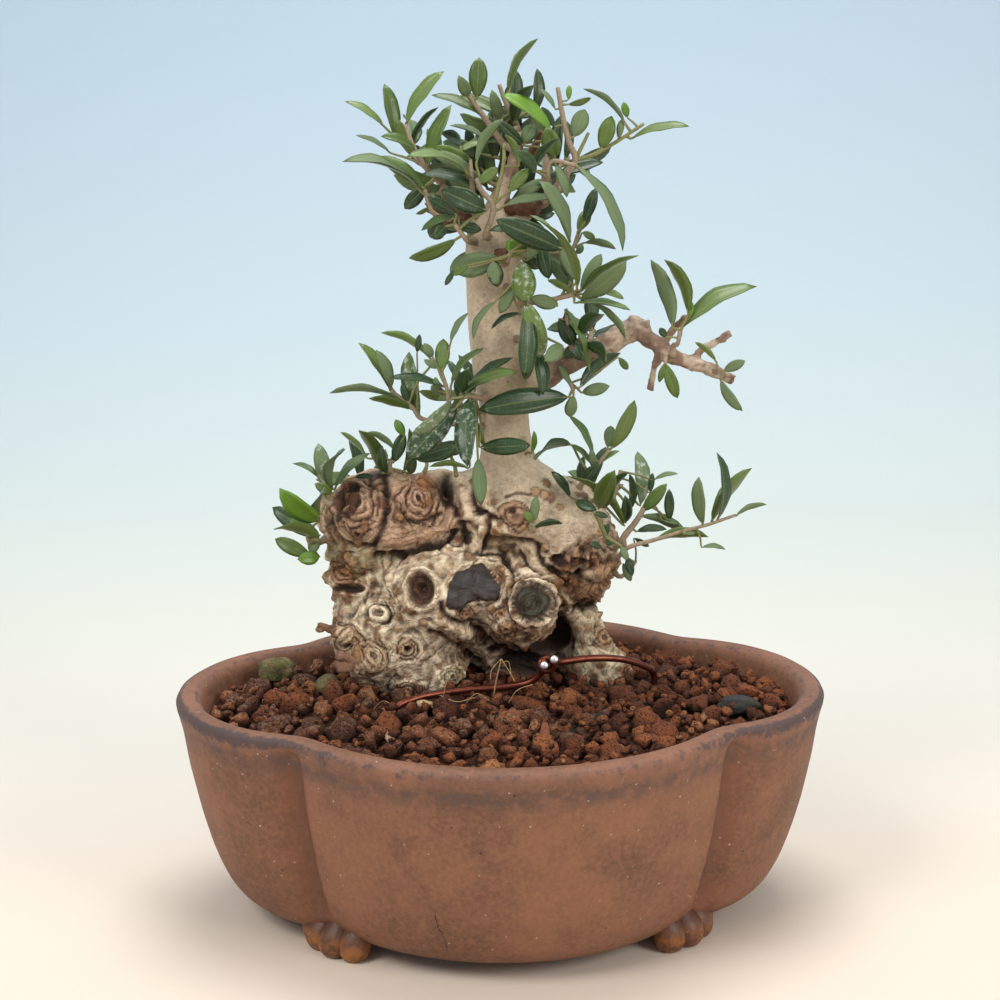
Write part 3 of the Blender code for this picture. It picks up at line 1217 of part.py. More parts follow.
def make_spray(name, lines, leaves, girth, parts, tools, wood_tree):
    """One node of twigs and leaves. A union that comes out torn is made again another way."""
    for way, nudge in (("MANIFOLD", 0.0), ("EXACT", 0.0), ("ONE BY ONE", 0.0), ("ONE BY ONE", 0.07)):
        spray = join_spray(name, lines, leaves, girth, parts, tools, wood_tree, way, nudge)
        lost = keep_largest(spray)
        if not open_edges(spray) and lost < 8:
            return spray
        print(name, way, "open edges", open_edges(spray), "lost points", lost)
        if nudge == 0.0:
            drop([spray])
    return spray


def join_spray(name, lines, leaves, girth, parts, tools, wood_tree, way, nudge):
    for extra in (0.0, 0.25, 0.5, 0.9):
        hit, normal, rest = seat_twig(lines[0], girth, wood_tree)
        foot = hit + normal * (GAP + extra)
        spine = np.array([foot, foot + normal * 1.4, *rest])
        radii = np.linspace(girth, 0.65 * girth, len(spine))
        main = rod(name, spine, radii, parts, sides=0)
        if not tree_of(main).overlap(wood_tree):
            break
        if extra < 0.9:
            drop([main])
    pieces = []
    for line in lines[1:]:
        pieces.append(rod("twig", line, np.linspace(0.8 * girth, 0.6 * girth, len(line)), tools, sides=0))
    feet = np.concatenate([along(line, 0.4) for line in (spine, *lines[1:])])
    for leaf in leaves:
        leaf.foot = feet[np.argmin(np.linalg.norm(feet - leaf.foot, axis=1))] + nudge * leaf.side
        pieces.append(leaf_mesh(leaf, tools))
    if way != "ONE BY ONE":
        return merge(main, pieces, way)
    for piece in pieces:
        merge(main, [piece], "MANIFOLD")
    return main


def main():
    drop(bpy.data.objects)
    parts = collection("wild_olive_bonsai")
    tools = collection("cutters")
    wire = wire_path()

    finish(make_pot(parts, tools), "pot", (0.20, 0.10, 0.072), 0.75)
    for name, x in (("drain_mesh_left", -DRAIN_X), ("drain_mesh_right", DRAIN_X)):
        finish(make_drain_mesh(name, x, parts, tools), name, (0.03, 0.05, 0.035), 0.6)
    finish(make_soil(parts, tools, wire), "soil", (0.16, 0.045, 0.018), 0.95)
    wood = make_wood(parts, tools)
    finish(wood, "wood", (0.50, 0.41, 0.29), 0.8)
    wood_tree = tree_of(wood)
    finish(make_paste(parts, wood_tree), "wound_paste", (0.07, 0.06, 0.055), 0.55)
    wire_solid = rod("tie_wire", wire, [WIRE_RADIUS] * len(wire), parts, sides=2)
    finish(wire_solid, "tie_wire", (0.30, 0.12, 0.07), 0.35, 1.0)
    for name, row in STONES.items():
        color = (0.05, 0.06, 0.06) if name == "dark_stone" else (0.16, 0.17, 0.06)
        finish(make_stone(name, *row, parts), name, color, 0.9)

    lines, leaves = place_leaves()
    for name, rows in lines.items():
        girth = SPRAYS[name]["girth"] if name in SPRAYS else 0.7
        spray = make_spray(name, rows, leaves[name], girth, parts, tools, wood_tree)
        finish(spray, name, (0.05, 0.10, 0.035), 0.5)
    for obj in parts.objects:
        obj.data.shade_smooth()
        obj.data.set_sharp_from_angle(angle=math.radians(35.0))


main()
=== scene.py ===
# %% [markdown]
# # A wild olive bonsai in its pot
#
# A small olive grows from a wide, knotted burl. It stands in baked clay soil in a brown pot of
# four lobes. The solids of the tree were made first, in a CAD step, and this notebook dresses
# them: it loads them as a fixed frame, then gives the pot, soil, bark and leaves their fine form
# and finish. All sizes in the tables are millimetres. Meshes are made in metres.

import math
from collections import namedtuple
from itertools import product

import bmesh
import bpy
import numpy as np
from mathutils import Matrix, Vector
from mathutils.bvhtree import BVHTree


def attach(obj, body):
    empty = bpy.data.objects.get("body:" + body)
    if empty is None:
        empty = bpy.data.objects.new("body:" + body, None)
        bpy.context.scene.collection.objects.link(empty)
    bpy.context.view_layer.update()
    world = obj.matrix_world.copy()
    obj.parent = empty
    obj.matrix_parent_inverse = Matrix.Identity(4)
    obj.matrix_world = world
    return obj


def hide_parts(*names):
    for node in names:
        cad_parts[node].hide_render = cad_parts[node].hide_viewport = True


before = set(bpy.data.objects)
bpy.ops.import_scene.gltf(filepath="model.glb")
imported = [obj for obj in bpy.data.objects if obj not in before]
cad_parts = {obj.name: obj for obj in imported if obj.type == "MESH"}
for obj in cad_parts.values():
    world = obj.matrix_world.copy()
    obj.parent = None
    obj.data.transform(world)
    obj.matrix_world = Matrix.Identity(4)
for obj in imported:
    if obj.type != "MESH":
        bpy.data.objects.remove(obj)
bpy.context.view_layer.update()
MM = 0.001
scene = bpy.context.scene
print("frame:", len(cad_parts), "nodes")

# %% [markdown]
# ## The front view
#
# The tree was measured from its front, so its tables give what the eye sees: x to the right and
# z up on an upright plane through the middle of the pot, and how far in front of that plane the
# point lies. `spot` slides the point along the line of sight, so a twig can bend towards the
# viewer and still be seen at the same place. The pot's long side is turned a little from the
# view, and `turned` goes from the view's own directions to the pot's.

# %% The view's geometry
YAW = 0.072
POT_SHIFT = 0.5
EYE_BACK = 434.0
EYE_UP = 191.5


def turned(x, y, z):
    """The view's point in the pot's frame: shifted by POT_SHIFT, then turned by YAW about z."""
    c, s = math.cos(YAW), math.sin(YAW)
    x = x - POT_SHIFT
    return np.stack(np.broadcast_arrays(c * x + s * y, c * y - s * x, z), axis=-1).astype(float)


EYE = turned(0.0, -EYE_BACK, EYE_UP)


def spot(x, z, front=0.0):
    """The point seen at x, z, brought `front` mm nearer: both shrink by 1 - front / EYE_BACK."""
    near = 1.0 - np.asarray(front, float) / EYE_BACK
    return turned(x * near, -np.asarray(front, float), EYE_UP + (z - EYE_UP) * near)


def seen(points):
    """Where points are seen: x and z on the upright plane, and their depth behind it."""
    c, s = math.cos(YAW), math.sin(YAW)
    x = c * points[..., 0] - s * points[..., 1] + POT_SHIFT
    y = s * points[..., 0] + c * points[..., 1]
    near = 1.0 + y / EYE_BACK
    return x / near, EYE_UP + (points[..., 2] - EYE_UP) / near, y


# %% [markdown]
# ## Camera
#
# The camera stands where the photograph was taken: 43 cm away, as high as the crown, looking
# down by a seventh of a right angle. Its lens was found from the pot's outline.

# %% Camera
LENS = 70.56
SENSOR = 36.0
LOOK_DOWN = math.degrees(0.218)

camera = bpy.data.objects.new("camera", bpy.data.cameras.new("camera"))
camera.data.lens = LENS
camera.data.sensor_width = SENSOR
camera.location = Vector(EYE * MM)
camera.rotation_euler = (math.radians(90.0 - LOOK_DOWN), 0.0, -YAW)
scene.collection.objects.link(camera)
scene.camera = camera
print("camera at", [round(v, 3) for v in camera.location])

# %% [markdown]
# ## Noise and meshes from arrays
#
# Bark, clay and soil have no ruled surface, so their relief comes from noise: fixed random
# values on a grid of cells, blended smoothly. It is worked out for all points at once with
# numpy, and the same points always give the same relief.

# %% Noise
def ease(t):
    """A smooth step: 3 t^2 - 2 t^3 between 0 and 1."""
    t = np.clip(t, 0.0, 1.0)
    return t * t * (3.0 - 2.0 * t)


def bell(d, width):
    """exp(-(d / width)^2): 1 in the middle, fading over the width to both sides."""
    return np.exp(-(d / width) ** 2)


def hashed(cells, seed):
    """A fixed value from 0 to 1 for each whole cell: the fraction of a large sine."""
    value = np.sin(cells @ np.array((127.1, 311.7, 74.7)) + seed * 19.19) * 43758.5453
    return value - np.floor(value)


def noise(points, size, seed=0, layers=1):
    """From -1 to 1: cell corners' values blended by smooth steps, each layer half the last."""
    total, share = 0.0, 1.0
    for layer in range(layers):
        p = points * (2.0 ** layer / size)
        cell = np.floor(p)
        near = ease(p - cell)
        blend = 0.0
        for corner in np.ndindex(2, 2, 2):
            weight = np.prod(np.where(corner, near, 1.0 - near), axis=-1)
            blend = blend + weight * hashed(cell + corner, seed + layer)
        total = total + share * (2.0 * blend - 1.0)
        share *= 0.5
    return total


def swirl(points, size, seeds, layers=1):
    """Three noises side by side, one per seed, to bend a pattern or move points."""
    return np.stack([noise(points, size, seed, layers) for seed in seeds], axis=1)


def to_middle(points, size, seed):
    """Distance, in cells, to the nearest of the cells' jittered middles."""
    p = points / size
    least = np.full(p.shape[:-1], 9.0)
    for step in np.ndindex(3, 3, 3):
        cell = np.floor(p) + np.array(step) - 1.0
        jitter = np.stack([hashed(cell, seed + k) for k in (11, 23, 37)], axis=-1)
        least = np.minimum(least, np.linalg.norm(cell + jitter - p, axis=-1))
    return least


# %% [markdown]
# A shape here is arrays of points and of faces. Most are rings set one after another, which
# `capped` joins by quads and closes by a fan at each end. `tube` carries a ring along a path: its
# two directions are turned with the path and never twist. `Batch` gathers many shapes into one
# mesh, with a value per point for what the material has to know, such as a leaf's tone.

# %% Meshes from arrays
def turn_round(count):
    """`count` even angles of one full turn."""
    return np.arange(count) * (2.0 * math.pi / count)


def at_turn(radius, t, z):
    """The points radius cos t, radius sin t, z."""
    return np.stack(np.broadcast_arrays(radius * np.cos(t), radius * np.sin(t), z), axis=-1)


def grid_faces(rows, columns, wrap=False):
    """The quads of a grid of rows by columns, joined round at its last column if wrap."""
    r, c = np.meshgrid(np.arange(rows - 1), np.arange(columns if wrap else columns - 1), indexing="ij")
    n = (c + 1) % columns
    quads = (r * columns + c, r * columns + n, (r + 1) * columns + n, (r + 1) * columns + c)
    return np.stack(quads, axis=-1).reshape(-1, 4)


def capped(rings, first, last):
    """Rings of points (rows, columns, 3) joined round by quads, and fans to two end points."""
    rows, columns, _ = np.shape(rings)
    count = rows * columns
    a = np.arange(columns)
    b = np.roll(a, -1)
    low = np.stack((np.full_like(a, count), b, a), axis=-1)
    high = np.stack((a + count - columns, b + count - columns, np.full_like(a, count + 1)), axis=-1)
    points = np.concatenate((np.reshape(rings, (-1, 3)), (first, last)))
    return points, grid_faces(rows, columns, wrap=True), np.concatenate((low, high))


class Batch:
    """Shapes gathered into one mesh, with named values at every point."""

    def __init__(self):
        self.points, self.quads, self.tris, self.values, self.count = [], [], [], {}, 0

    def add(self, points, quads=(), tris=(), **values):
        self.points.append(points)
        for faces, store in ((quads, self.quads), (tris, self.tris)):
            if len(faces):
                store.append(np.asarray(faces) + self.count)
        for name, value in values.items():
            shape = (len(points), 3) if name.endswith("colour") else (len(points),)
            self.values.setdefault(name, []).append(np.broadcast_to(np.asarray(value, float), shape))
        self.count += len(points)

    def piece(self, name):
        """The mesh object, its points in mm made metres and its faces shaded smooth."""
        groups = [np.concatenate(g) for g in (self.quads, self.tris) if g]
        corners = np.concatenate([g.ravel() for g in groups]).astype(np.int32)
        sizes = np.concatenate([np.full(len(g), g.shape[1]) for g in groups])
        starts = np.concatenate(([0], np.cumsum(sizes)[:-1])).astype(np.int32)
        mesh = bpy.data.meshes.new(name)
        mesh.vertices.add(self.count)
        mesh.vertices.foreach_set("co", (np.concatenate(self.points) * MM).ravel().astype(np.float32))
        mesh.loops.add(len(corners))
        mesh.loops.foreach_set("vertex_index", corners)
        mesh.polygons.add(len(starts))
        mesh.polygons.foreach_set("loop_start", starts)
        for key, rows in self.values.items():
            give(mesh, key, np.concatenate(rows))
        mesh.update(calc_edges=True)
        mesh.shade_smooth()
        obj = bpy.data.objects.new(name, mesh)
        scene.collection.objects.link(obj)
        return obj


def give(mesh, name, values):
    """Store one value, or one colour, per point on a mesh, for its material to read."""
    kind, field = ("FLOAT_VECTOR", "vector") if values.ndim == 2 else ("FLOAT", "value")
    kept = mesh.attributes.get(name) or mesh.attributes.new(name, kind, "POINT")
    kept.data.foreach_set(field, np.asarray(values, np.float32).ravel())


def rgb(red, green, blue):
    """A display colour of 0 to 255 as linear light: ((v / 255 + 0.055) / 1.055) ^ 2.4."""
    return tuple(((v / 255.0 + 0.055) / 1.055) ** 2.4 for v in (red, green, blue))


def take_result(obj):
    """The object with its modifiers applied."""
    graph = bpy.context.evaluated_depsgraph_get()
    mesh = bpy.data.meshes.new_from_object(obj.evaluated_get(graph), depsgraph=graph)
    obj.modifiers.clear()
    obj.data = mesh
    return obj


def fetch(items, name, width=1, kind=np.int32):
    """One field of all of a mesh's points, edges, corners or faces, as rows of `width`."""
    values = np.empty(len(items) * width, kind)
    items.foreach_get(name, values)
    return values.reshape(-1, width) if width > 1 else values


def read_points(mesh):
    """A mesh's points in mm and its normals."""
    return fetch(mesh.vertices, "co", 3, float) / MM, fetch(mesh.vertices, "normal", 3, float)


def unit(v):
    return v / np.maximum(np.linalg.norm(v, axis=-1, keepdims=True), 1e-9)


def nearest(points, place):
    """The one of the points that lies nearest to a place."""
    return points[np.argmin(np.linalg.norm(points - place, axis=1))]


def along(points, step):
    """Points about every `step` mm along a bent line."""
    points = np.asarray(points, float)
    run = np.concatenate(([0.0], np.cumsum(np.linalg.norm(np.diff(points, axis=0), axis=1))))
    t = np.linspace(0.0, run[-1], max(int(run[-1] / step), 1) + 1)
    return np.stack([np.interp(t, run, points[:, k]) for k in range(points.shape[1])], axis=1)


def rounded(stops, step):
    """A smooth line through stops of any width: centripetal cubics, read off every `step` mm."""
    stops = np.asarray(stops, float)
    if len(stops) < 3:
        return along(stops, step)
    row = np.concatenate((stops[:1] * 2 - stops[1:2], stops, stops[-1:] * 2 - stops[-2:-1]))
    u = np.linspace(0.0, 1.0, 10, endpoint=False)[:, None]
    dense = []
    for a, b, c, d in zip(row, row[1:], row[2:], row[3:]):
        ga, gb, gc = (max(np.linalg.norm((q - p)[:3]), 1e-6) ** 0.5 for p, q in ((a, b), (b, c), (c, d)))
        m1 = gb * ((b - a) / ga - (c - a) / (ga + gb) + (c - b) / gb)
        m2 = gb * ((c - b) / gb - (d - b) / (gb + gc) + (d - c) / gc)
        dense.append((2 * u ** 3 - 3 * u ** 2 + 1) * b + (u ** 3 - 2 * u ** 2 + u) * m1
                     + (3 * u ** 2 - 2 * u ** 3) * c + (u ** 3 - u ** 2) * m2)
    dense.append(stops[-1:])
    dense = np.concatenate(dense)
    run = np.concatenate(([0.0], np.cumsum(np.linalg.norm(np.diff(dense[:, :3], axis=0), axis=1))))
    t = np.linspace(0.0, run[-1], max(int(run[-1] / step), 2) + 1)
    return np.stack([np.interp(t, run, dense[:, k]) for k in range(dense.shape[1])], axis=1)


def frames(path):
    """Two directions square to the path at each stop, carried along it without a twist."""
    ahead = unit(np.gradient(path, axis=0))
    side = np.cross(ahead[0], (0.0, 0.0, 1.0) if abs(ahead[0][2]) < 0.9 else (1.0, 0.0, 0.0))
    sides = []
    for heading in ahead:
        side = unit(side - (side @ heading) * heading)
        sides.append(side)
    sides = np.array(sides)
    return sides, np.cross(ahead, sides)


def tube(path, radii, sides):
    """Rings of points, stop + radius (cos t u + sin t v)."""
    path = np.asarray(path, float)
    radii = np.broadcast_to(np.asarray(radii, float), (len(path),))
    t = turn_round(sides)[None, :, None]
    u, v = frames(path)
    ring = np.cos(t) * u[:, None] + np.sin(t) * v[:, None]
    return capped(path[:, None] + radii[:, None, None] * ring, path[0], path[-1])


# %% [markdown]
# ## Shader maths as Python
#
# A material is a graph of nodes. `Value` wraps a socket so that `1 - mask * 2` adds the Math
# nodes itself, and `Finish.node` adds any other node: first its settings, then its sockets.

# %% Materials
class Value:
    """A node's output. Python's operators on it add Math nodes."""

    def __init__(self, tree, socket):
        self.tree, self.socket = tree, socket

    def maths(self, operation, *items):
        node = self.tree.nodes.new("ShaderNodeMath")
        node.operation = operation
        for slot, item in zip(node.inputs, items):
            plug_in(self.tree, slot, item)
        return Value(self.tree, node.outputs[0])

    def __add__(self, other):
        return self.maths("ADD", self, other)

    def __sub__(self, other):
        return self.maths("SUBTRACT", self, other)

    def __rsub__(self, other):
        return self.maths("SUBTRACT", other, self)

    def __mul__(self, other):
        return self.maths("MULTIPLY", self, other)

    __radd__ = __add__
    __rmul__ = __mul__

    def clipped(self):
        return self.maths("MINIMUM", self.maths("MAXIMUM", self, 0.0), 1.0)

    def step(self, low, high):
        """0 at low, 1 at high, smooth between."""
        node = self.tree.nodes.new("ShaderNodeMapRange")
        node.interpolation_type = "SMOOTHSTEP"
        for slot, item in zip(node.inputs, (self, low, high, 0.0, 1.0)):
            plug_in(self.tree, slot, item)
        return Value(self.tree, node.outputs[0])


def plug_in(tree, slot, item):
    if isinstance(item, Value):
        tree.links.new(item.socket, slot)
    elif isinstance(item, tuple) and slot.type == "RGBA":
        slot.default_value = (*item, 1.0)
    else:
        slot.default_value = item


class Finish:
    """A material under construction, on Object coordinates."""

    def __init__(self, name):
        self.material = bpy.data.materials.new(name)
        self.material.use_nodes = True
        self.tree = self.material.node_tree
        self.shader = self.tree.nodes["Principled BSDF"]
        self.place = self.node("ShaderNodeTexCoord", out="Object")

    def node(self, kind, settings=None, out=0, **inputs):
        """Adds a node: settings first (a ramp takes its stops), then its sockets by name."""
        node = self.tree.nodes.new(kind)
        for key, value in (settings or {}).items():
            if key == "stops":
                ramp = node.color_ramp.elements
                while len(ramp) < len(value):
                    ramp.new(0.5)
                for element, (position, colour) in zip(ramp, value):
                    element.position = position
                    element.color = (*colour, 1.0)
            else:
                setattr(node, key, value)
        for key, value in inputs.items():
            name = key.replace("_", " ")
            slot = [s for s in node.inputs if s.enabled and s.name == name][0]
            plug_in(self.tree, slot, value)
        return Value(self.tree, node.outputs[out])

    def noise(self, size, detail=2.0, roughness=0.5):
        """Noise with features of about `size` mm."""
        return self.node("ShaderNodeTexNoise", Vector=self.place, Scale=1.0 / (size * MM),
                         Detail=detail, Roughness=roughness)

    def cells(self, size, feature="F1"):
        """Distance to the middle, or to the edge, of jittered cells of about `size` mm."""
        return self.node("ShaderNodeTexVoronoi", {"feature": feature}, out="Distance",
                         Vector=self.place, Scale=1.0 / (size * MM))

    def part(self, axis, vector):
        """X, Y or Z of a vector."""
        return self.node("ShaderNodeSeparateXYZ", out=axis, Vector=vector)

    def read(self, name):
        out = "Vector" if name.endswith("colour") else "Fac"
        return self.node("ShaderNodeAttribute", {"attribute_name": name}, out=out)

    def mix(self, share, a, b):
        """Colours a and b blended by share."""
        node = self.tree.nodes.new("ShaderNodeMix")
        node.data_type = "RGBA"
        for slot, item in zip((node.inputs[0], node.inputs[6], node.inputs[7]), (share, a, b)):
            plug_in(self.tree, slot, item)
        return Value(self.tree, node.outputs[2])

    def layers(self, base, *coats):
        """Colours laid over a base one after another, each given as its share and colour."""
        for share, colour in coats:
            base = self.mix(share, base, colour)
        return base

    def bump(self, height, depth, strength=1.0):
        """A relief of `depth` mm where height goes from 0 to 1."""
        return self.node("ShaderNodeBump", out="Normal", Strength=strength, Distance=depth * MM,
                         Height=height)

    def done(self, **inputs):
        for key, value in inputs.items():
            plug_in(self.tree, self.shader.inputs[key.replace("_", " ")], value)
        return self.material


def dress(piece, material, slot, *nodes, body="root"):
    """Gives a piece its material, its body and the solids it stands for. `slot` is not used."""
    piece.data.materials.clear()
    piece.data.materials.append(material)
    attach(piece, body)
    if nodes:
        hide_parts(*nodes)
    print(piece.name, len(piece.data.polygons), "faces")
    return piece

# %% [markdown]
# ## The pot
#
# The real pot is pressed from one slab of coarse brown clay: an oval of four lobes, a rounded
# rim that fire has darkened, and four small cloud-shaped feet. Its plan is one polar curve, so
# the wall is a grid of two parameters, the turn round the pot and the step along the profile.

# %% The pot's plan and profile
POT_LONG, POT_SHORT = 150.0, 120.0
END_LOBE_CENTRE, END_LOBE_SIDE = 44.0, 35.5
LOBE_CRISP = 40
TURNS = 400
# The groove where two lobes meet: its depth, and its width as a difference of their radii
GROOVE_DEPTH, GROOVE_WIDTH = 2.5, 2.9
# It starts at GROOVE_LOW, is full GROOVE_RISE higher, and fades out below the lip's top
GROOVE_LOW, GROOVE_RISE = 5.0, 9.0
GROOVE_TOP, GROOVE_FADE = 51.0, 3.5
DRAIN_X, DRAIN_RADIUS = 28.0, 6.0
FOOT_X, FOOT_Y = 40.0, 28.0

# Height, share of the plan and inset of the wall, up the outside and down the inside
PROFILE = (
    (3.3, 0, 0), (3.3, 0.30, 0), (3.3, 0.60, 0), (3.4, 0.71, 0), (3.7, 0.755, 0),
    (4.6, 0.79, 0), (7, 0.833, 0), (12, 0.875, 0), (23, 0.925, 0),
    (36, 0.963, 0), (44.5, 0.981, 0), (48, 0.992, 0), (50.3, 1, 0.1),
    (51.5, 1, 0.9), (51.95, 1, 2.2), (52, 1, 3.3), (51.6, 1, 4.6), (50.3, 0.998, 5.6),
    (48, 0.993, 5.9), (40, 0.975, 6), (25, 0.935, 6.2), (13, 0.88, 6.8),
    (9.4, 0.85, 8.4), (9, 0.80, 8), (9, 0.5, 4), (9, 0, 0),
)


def end_lobe(theta):
    """Radius of the ellipse at each end, from the quadratic of a ray with it, 0 past its sides."""
    c, s = np.abs(np.cos(theta)), np.sin(theta)
    reach = POT_LONG / 2 - END_LOBE_CENTRE
    square = (c / reach) ** 2 + (s / END_LOBE_SIDE) ** 2
    half = END_LOBE_CENTRE * c / reach ** 2
    inside = half ** 2 - square * ((END_LOBE_CENTRE / reach) ** 2 - 1.0)
    return np.where(inside > 0.0, half + np.sqrt(np.maximum(inside, 0.0)), 0.0) / square


def outline(theta):
    """Radius of the plan: (end lobe^k + middle circle^k)^(1/k), the larger with a soft crease."""
    ends = end_lobe(theta) ** LOBE_CRISP
    return (ends + (POT_SHORT / 2) ** LOBE_CRISP) ** (1.0 / LOBE_CRISP)


def pot_wall():
    """Rings of (outline(t) share - inset - groove) cos t, sin t and height, a little uneven."""
    rows = rounded(np.array(PROFILE) * (1.0, POT_SHORT / 2, 1.0), 1.1)
    ends = [(0.0, 0.0, z) for z in rows[[0, -1], 0]]
    z, share, inset = rows[1:-1].T[..., None]
    t = turn_round(TURNS)
    radius = np.maximum(outline(t) * share / (POT_SHORT / 2) - inset, 0.5)
    groove = GROOVE_DEPTH * bell(end_lobe(t) - POT_SHORT / 2, GROOVE_WIDTH)
    outside = (np.arange(len(z)) < np.argmax(z))[:, None]
    reach = outside * ease((z - GROOVE_LOW) / GROOVE_RISE) * ease((GROOVE_TOP - z) / GROOVE_FADE)
    radius = radius - reach * groove
    points = at_turn(radius, t, z)
    swing = 0.14 * noise(points, 26.0, 3, 2) + 0.05 * noise(points, 6.0, 4, 2)
    points[..., :2] *= (1.0 + (swing - 0.2) / np.maximum(radius, 20.0))[..., None]
    return capped(points, *ends)


# %% The pot's feet
TOE_PLACES = ((-7.2, -1.3, 0.92), (-2.5, 0.5, 1.0), (2.5, 0.5, 1.0), (7.2, -1.3, 0.92))
TOE_ROWS = ((0.0, 2.2, 0.0), (0.5, 3.0, 0.0), (1.6, 3.6, -0.1), (3.0, 3.9, 0.0), (4.6, 3.9, 0.2),
            (6.2, 3.5, 0.7), (8.4, 2.4, 1.7))
TOE_SIDES = 28


def toe(base, out, size):
    """Rings of a toe: radius and lean read from TOE_ROWS, rising and leaning in under the wall."""
    rows = rounded(TOE_ROWS, 0.35)
    middle = base - rows[:, 2:3] * out + rows[:, :1] * (0.0, 0.0, 1.0)
    rings = middle[:, None] + at_turn(size * rows[:, 1:2], turn_round(TOE_SIDES), 0.0)
    return capped(rings, middle[0], middle[-1])


def make_pot():
    batch = Batch()
    batch.add(*pot_wall(), toe=0.0)
    for sx, sy in ((1, 1), (-1, 1), (-1, -1), (1, -1)):
        middle = np.array((sx * FOOT_X, sy * FOOT_Y, 0.0))
        out = unit(middle)
        side = np.array((-out[1], out[0], 0.0))
        for aside, forward, size in TOE_PLACES:
            batch.add(*toe(middle + aside * side + forward * out, out, size), toe=1.0)
    pot = batch.piece("pot_clay_body")
    for sx in (-1, 1):
        bpy.ops.mesh.primitive_cylinder_add(vertices=40, radius=DRAIN_RADIUS * MM, depth=30 * MM,
                                            location=(sx * DRAIN_X * MM, 0, 6 * MM))
        bore = bpy.context.object
        away = pot.modifiers.new("drain", "BOOLEAN")
        away.operation, away.solver, away.object = "DIFFERENCE", "EXACT", bore
        take_result(pot)
        bpy.data.objects.remove(bore)
    return pot


pot = make_pot()
pot.data.set_sharp_from_angle(angle=math.radians(50.0))

# %% [markdown]
# Fired brown stoneware is matt. Fire leaves the rim's edges slate blue-black in ragged flecks,
# a warmer red beside the creases between lobes, and amber glaze on the toes. The creases'
# bottoms are painted dark, as painted shade, and a mottled dark band under the lip is painted
# shadow. The masks for these are worked out per point, and the shader adds the fine speckle.

# %% Pot marks and clay
# A hairline crack low on the front wall, as seen: its top, how it leans and its low end
CRACK_TOP = (-15.5, -5.0)
CRACK_LEAN = 0.3
CRACK_LOW = -15.0


def pot_marks(pot):
    """Shares from 0 to 1 per point: bells and smooth steps of height, angle and inset."""
    points, normals = read_points(pot.data)
    x, y, z = points.T
    angle = np.arctan2(y, x)
    past_crease = end_lobe(angle) - POT_SHORT / 2
    outside = np.sum(normals[:, :2] * points[:, :2], axis=1) > 0
    below_lip = outside * ease((50.0 - z) / 6.0)
    into = outline(angle) - np.hypot(x, y)
    outer_edge, inner_edge = (bell(into - inset, 1.1) for inset in (0.8, 4.9))
    at_ends = ease((np.abs(x) - 25.0) / 40.0)
    aside, up, _ = seen(points)
    for name, share in (
        ("crease", bell(past_crease, 3.2) * below_lip),
        # painted shade in the bottom of each crease
        ("crease_deep", bell(past_crease + 0.8, 2.0) * below_lip * ease((z - 3.0) / 12.0)),
        ("rim", ease((z - 46.2) / 4.6) * ((0.45 + 0.60 * at_ends) * outer_edge + 0.55 * inner_edge)),
        ("crack_side", aside - CRACK_TOP[0] - (CRACK_TOP[1] - up) * CRACK_LEAN),
        ("crack_run", outside * ease(CRACK_TOP[1] - up) * ease(up - CRACK_LOW + 1.0)),
        # a mottled painted shadow under the lip
        ("below_rim", bell(z - 46.0, 2.6) * outside),
        ("low", ease((9.0 - z) / 6.0)),
    ):
        give(pot.data, name, share)


def pot_clay():
    """Clay in layers: body, creases and their painted shade, a mottled painted shadow under the lip,
    scorched rim, toes, specks, pits and the crack.
    """
    clay = Finish("pot clay")
    wide = clay.noise(22.0, 4.0, 0.6)
    fine = clay.noise(1.1, 5.0, 0.65)
    ragged = clay.noise(3.2, 6.0, 0.72)
    grit = clay.noise(0.45, 3.0, 0.6)
    rim, toes = clay.read("rim"), clay.read("toe")
    scorched = (rim * 1.15 + (ragged - 0.5) * 1.9 + (fine - 0.5) * 1.6).step(0.38, 0.95)
    glazed = (1 - clay.part("Z", clay.place).step(0.002, 0.0075)) * ragged.step(0.35, 0.55)
    amber = clay.layers(
        rgb(84, 52, 36),
        (glazed, rgb(164, 102, 44)),
        (clay.noise(2.0, 3.0).step(0.45, 0.6) * 0.4, rgb(70, 50, 42)))
    aside = clay.read("crack_side") + (clay.noise(3.0, 4.0, 0.7) - 0.5) * 3.4
    crack = (1 - aside.maths("ABSOLUTE", aside).step(0.06, 0.16)) * clay.read("crack_run")
    body = clay.layers(
        rgb(102, 67, 48),
        (wide.step(0.35, 0.65), rgb(134, 89, 65)),
        (((fine - 0.5) * 1.6 + 0.2).clipped(), rgb(158, 110, 80)),
        (clay.noise(7.0, 5.0, 0.7).step(0.5, 0.75) * 0.35, rgb(90, 62, 48)),
        (clay.read("crease") * wide.step(0.3, 0.6) * 0.5, rgb(136, 80, 54)),
        # painted shade in the bottoms of the creases
        (clay.read("crease_deep") * 0.55, rgb(74, 46, 34)),
        (clay.read("low") * 0.35, rgb(84, 54, 42)),
        # painted shadow under the lip, mottled
        (clay.read("below_rim") * ragged.step(0.3, 0.65) * 0.85, (0.085, 0.055, 0.047)),
        ((rim * 2.0 - 0.1).clipped() * 0.45, rgb(150, 106, 84)),
        (scorched * 0.8, rgb(62, 57, 60)),
        (toes * 0.85, amber),
        (clay.cells(2.6).step(0.085, 0.05) * fine.step(0.42, 0.6) * 0.85, (0.62, 0.55, 0.48)),
        (clay.cells(7.5).step(0.05, 0.03) * 0.85, (0.02, 0.014, 0.012)),
        (crack * 0.9, (0.012, 0.009, 0.008)))
    bump = clay.bump(fine * 0.6 + grit * 0.4 + ragged * 0.8 - crack, 0.2, 0.8)
    return clay.done(Base_Color=body, Roughness=0.66 - toes * 0.22 + (ragged - 0.5) * 0.15, Normal=bump)


pot_marks(pot)
dress(pot, pot_clay(), "pot_clay", "pot")

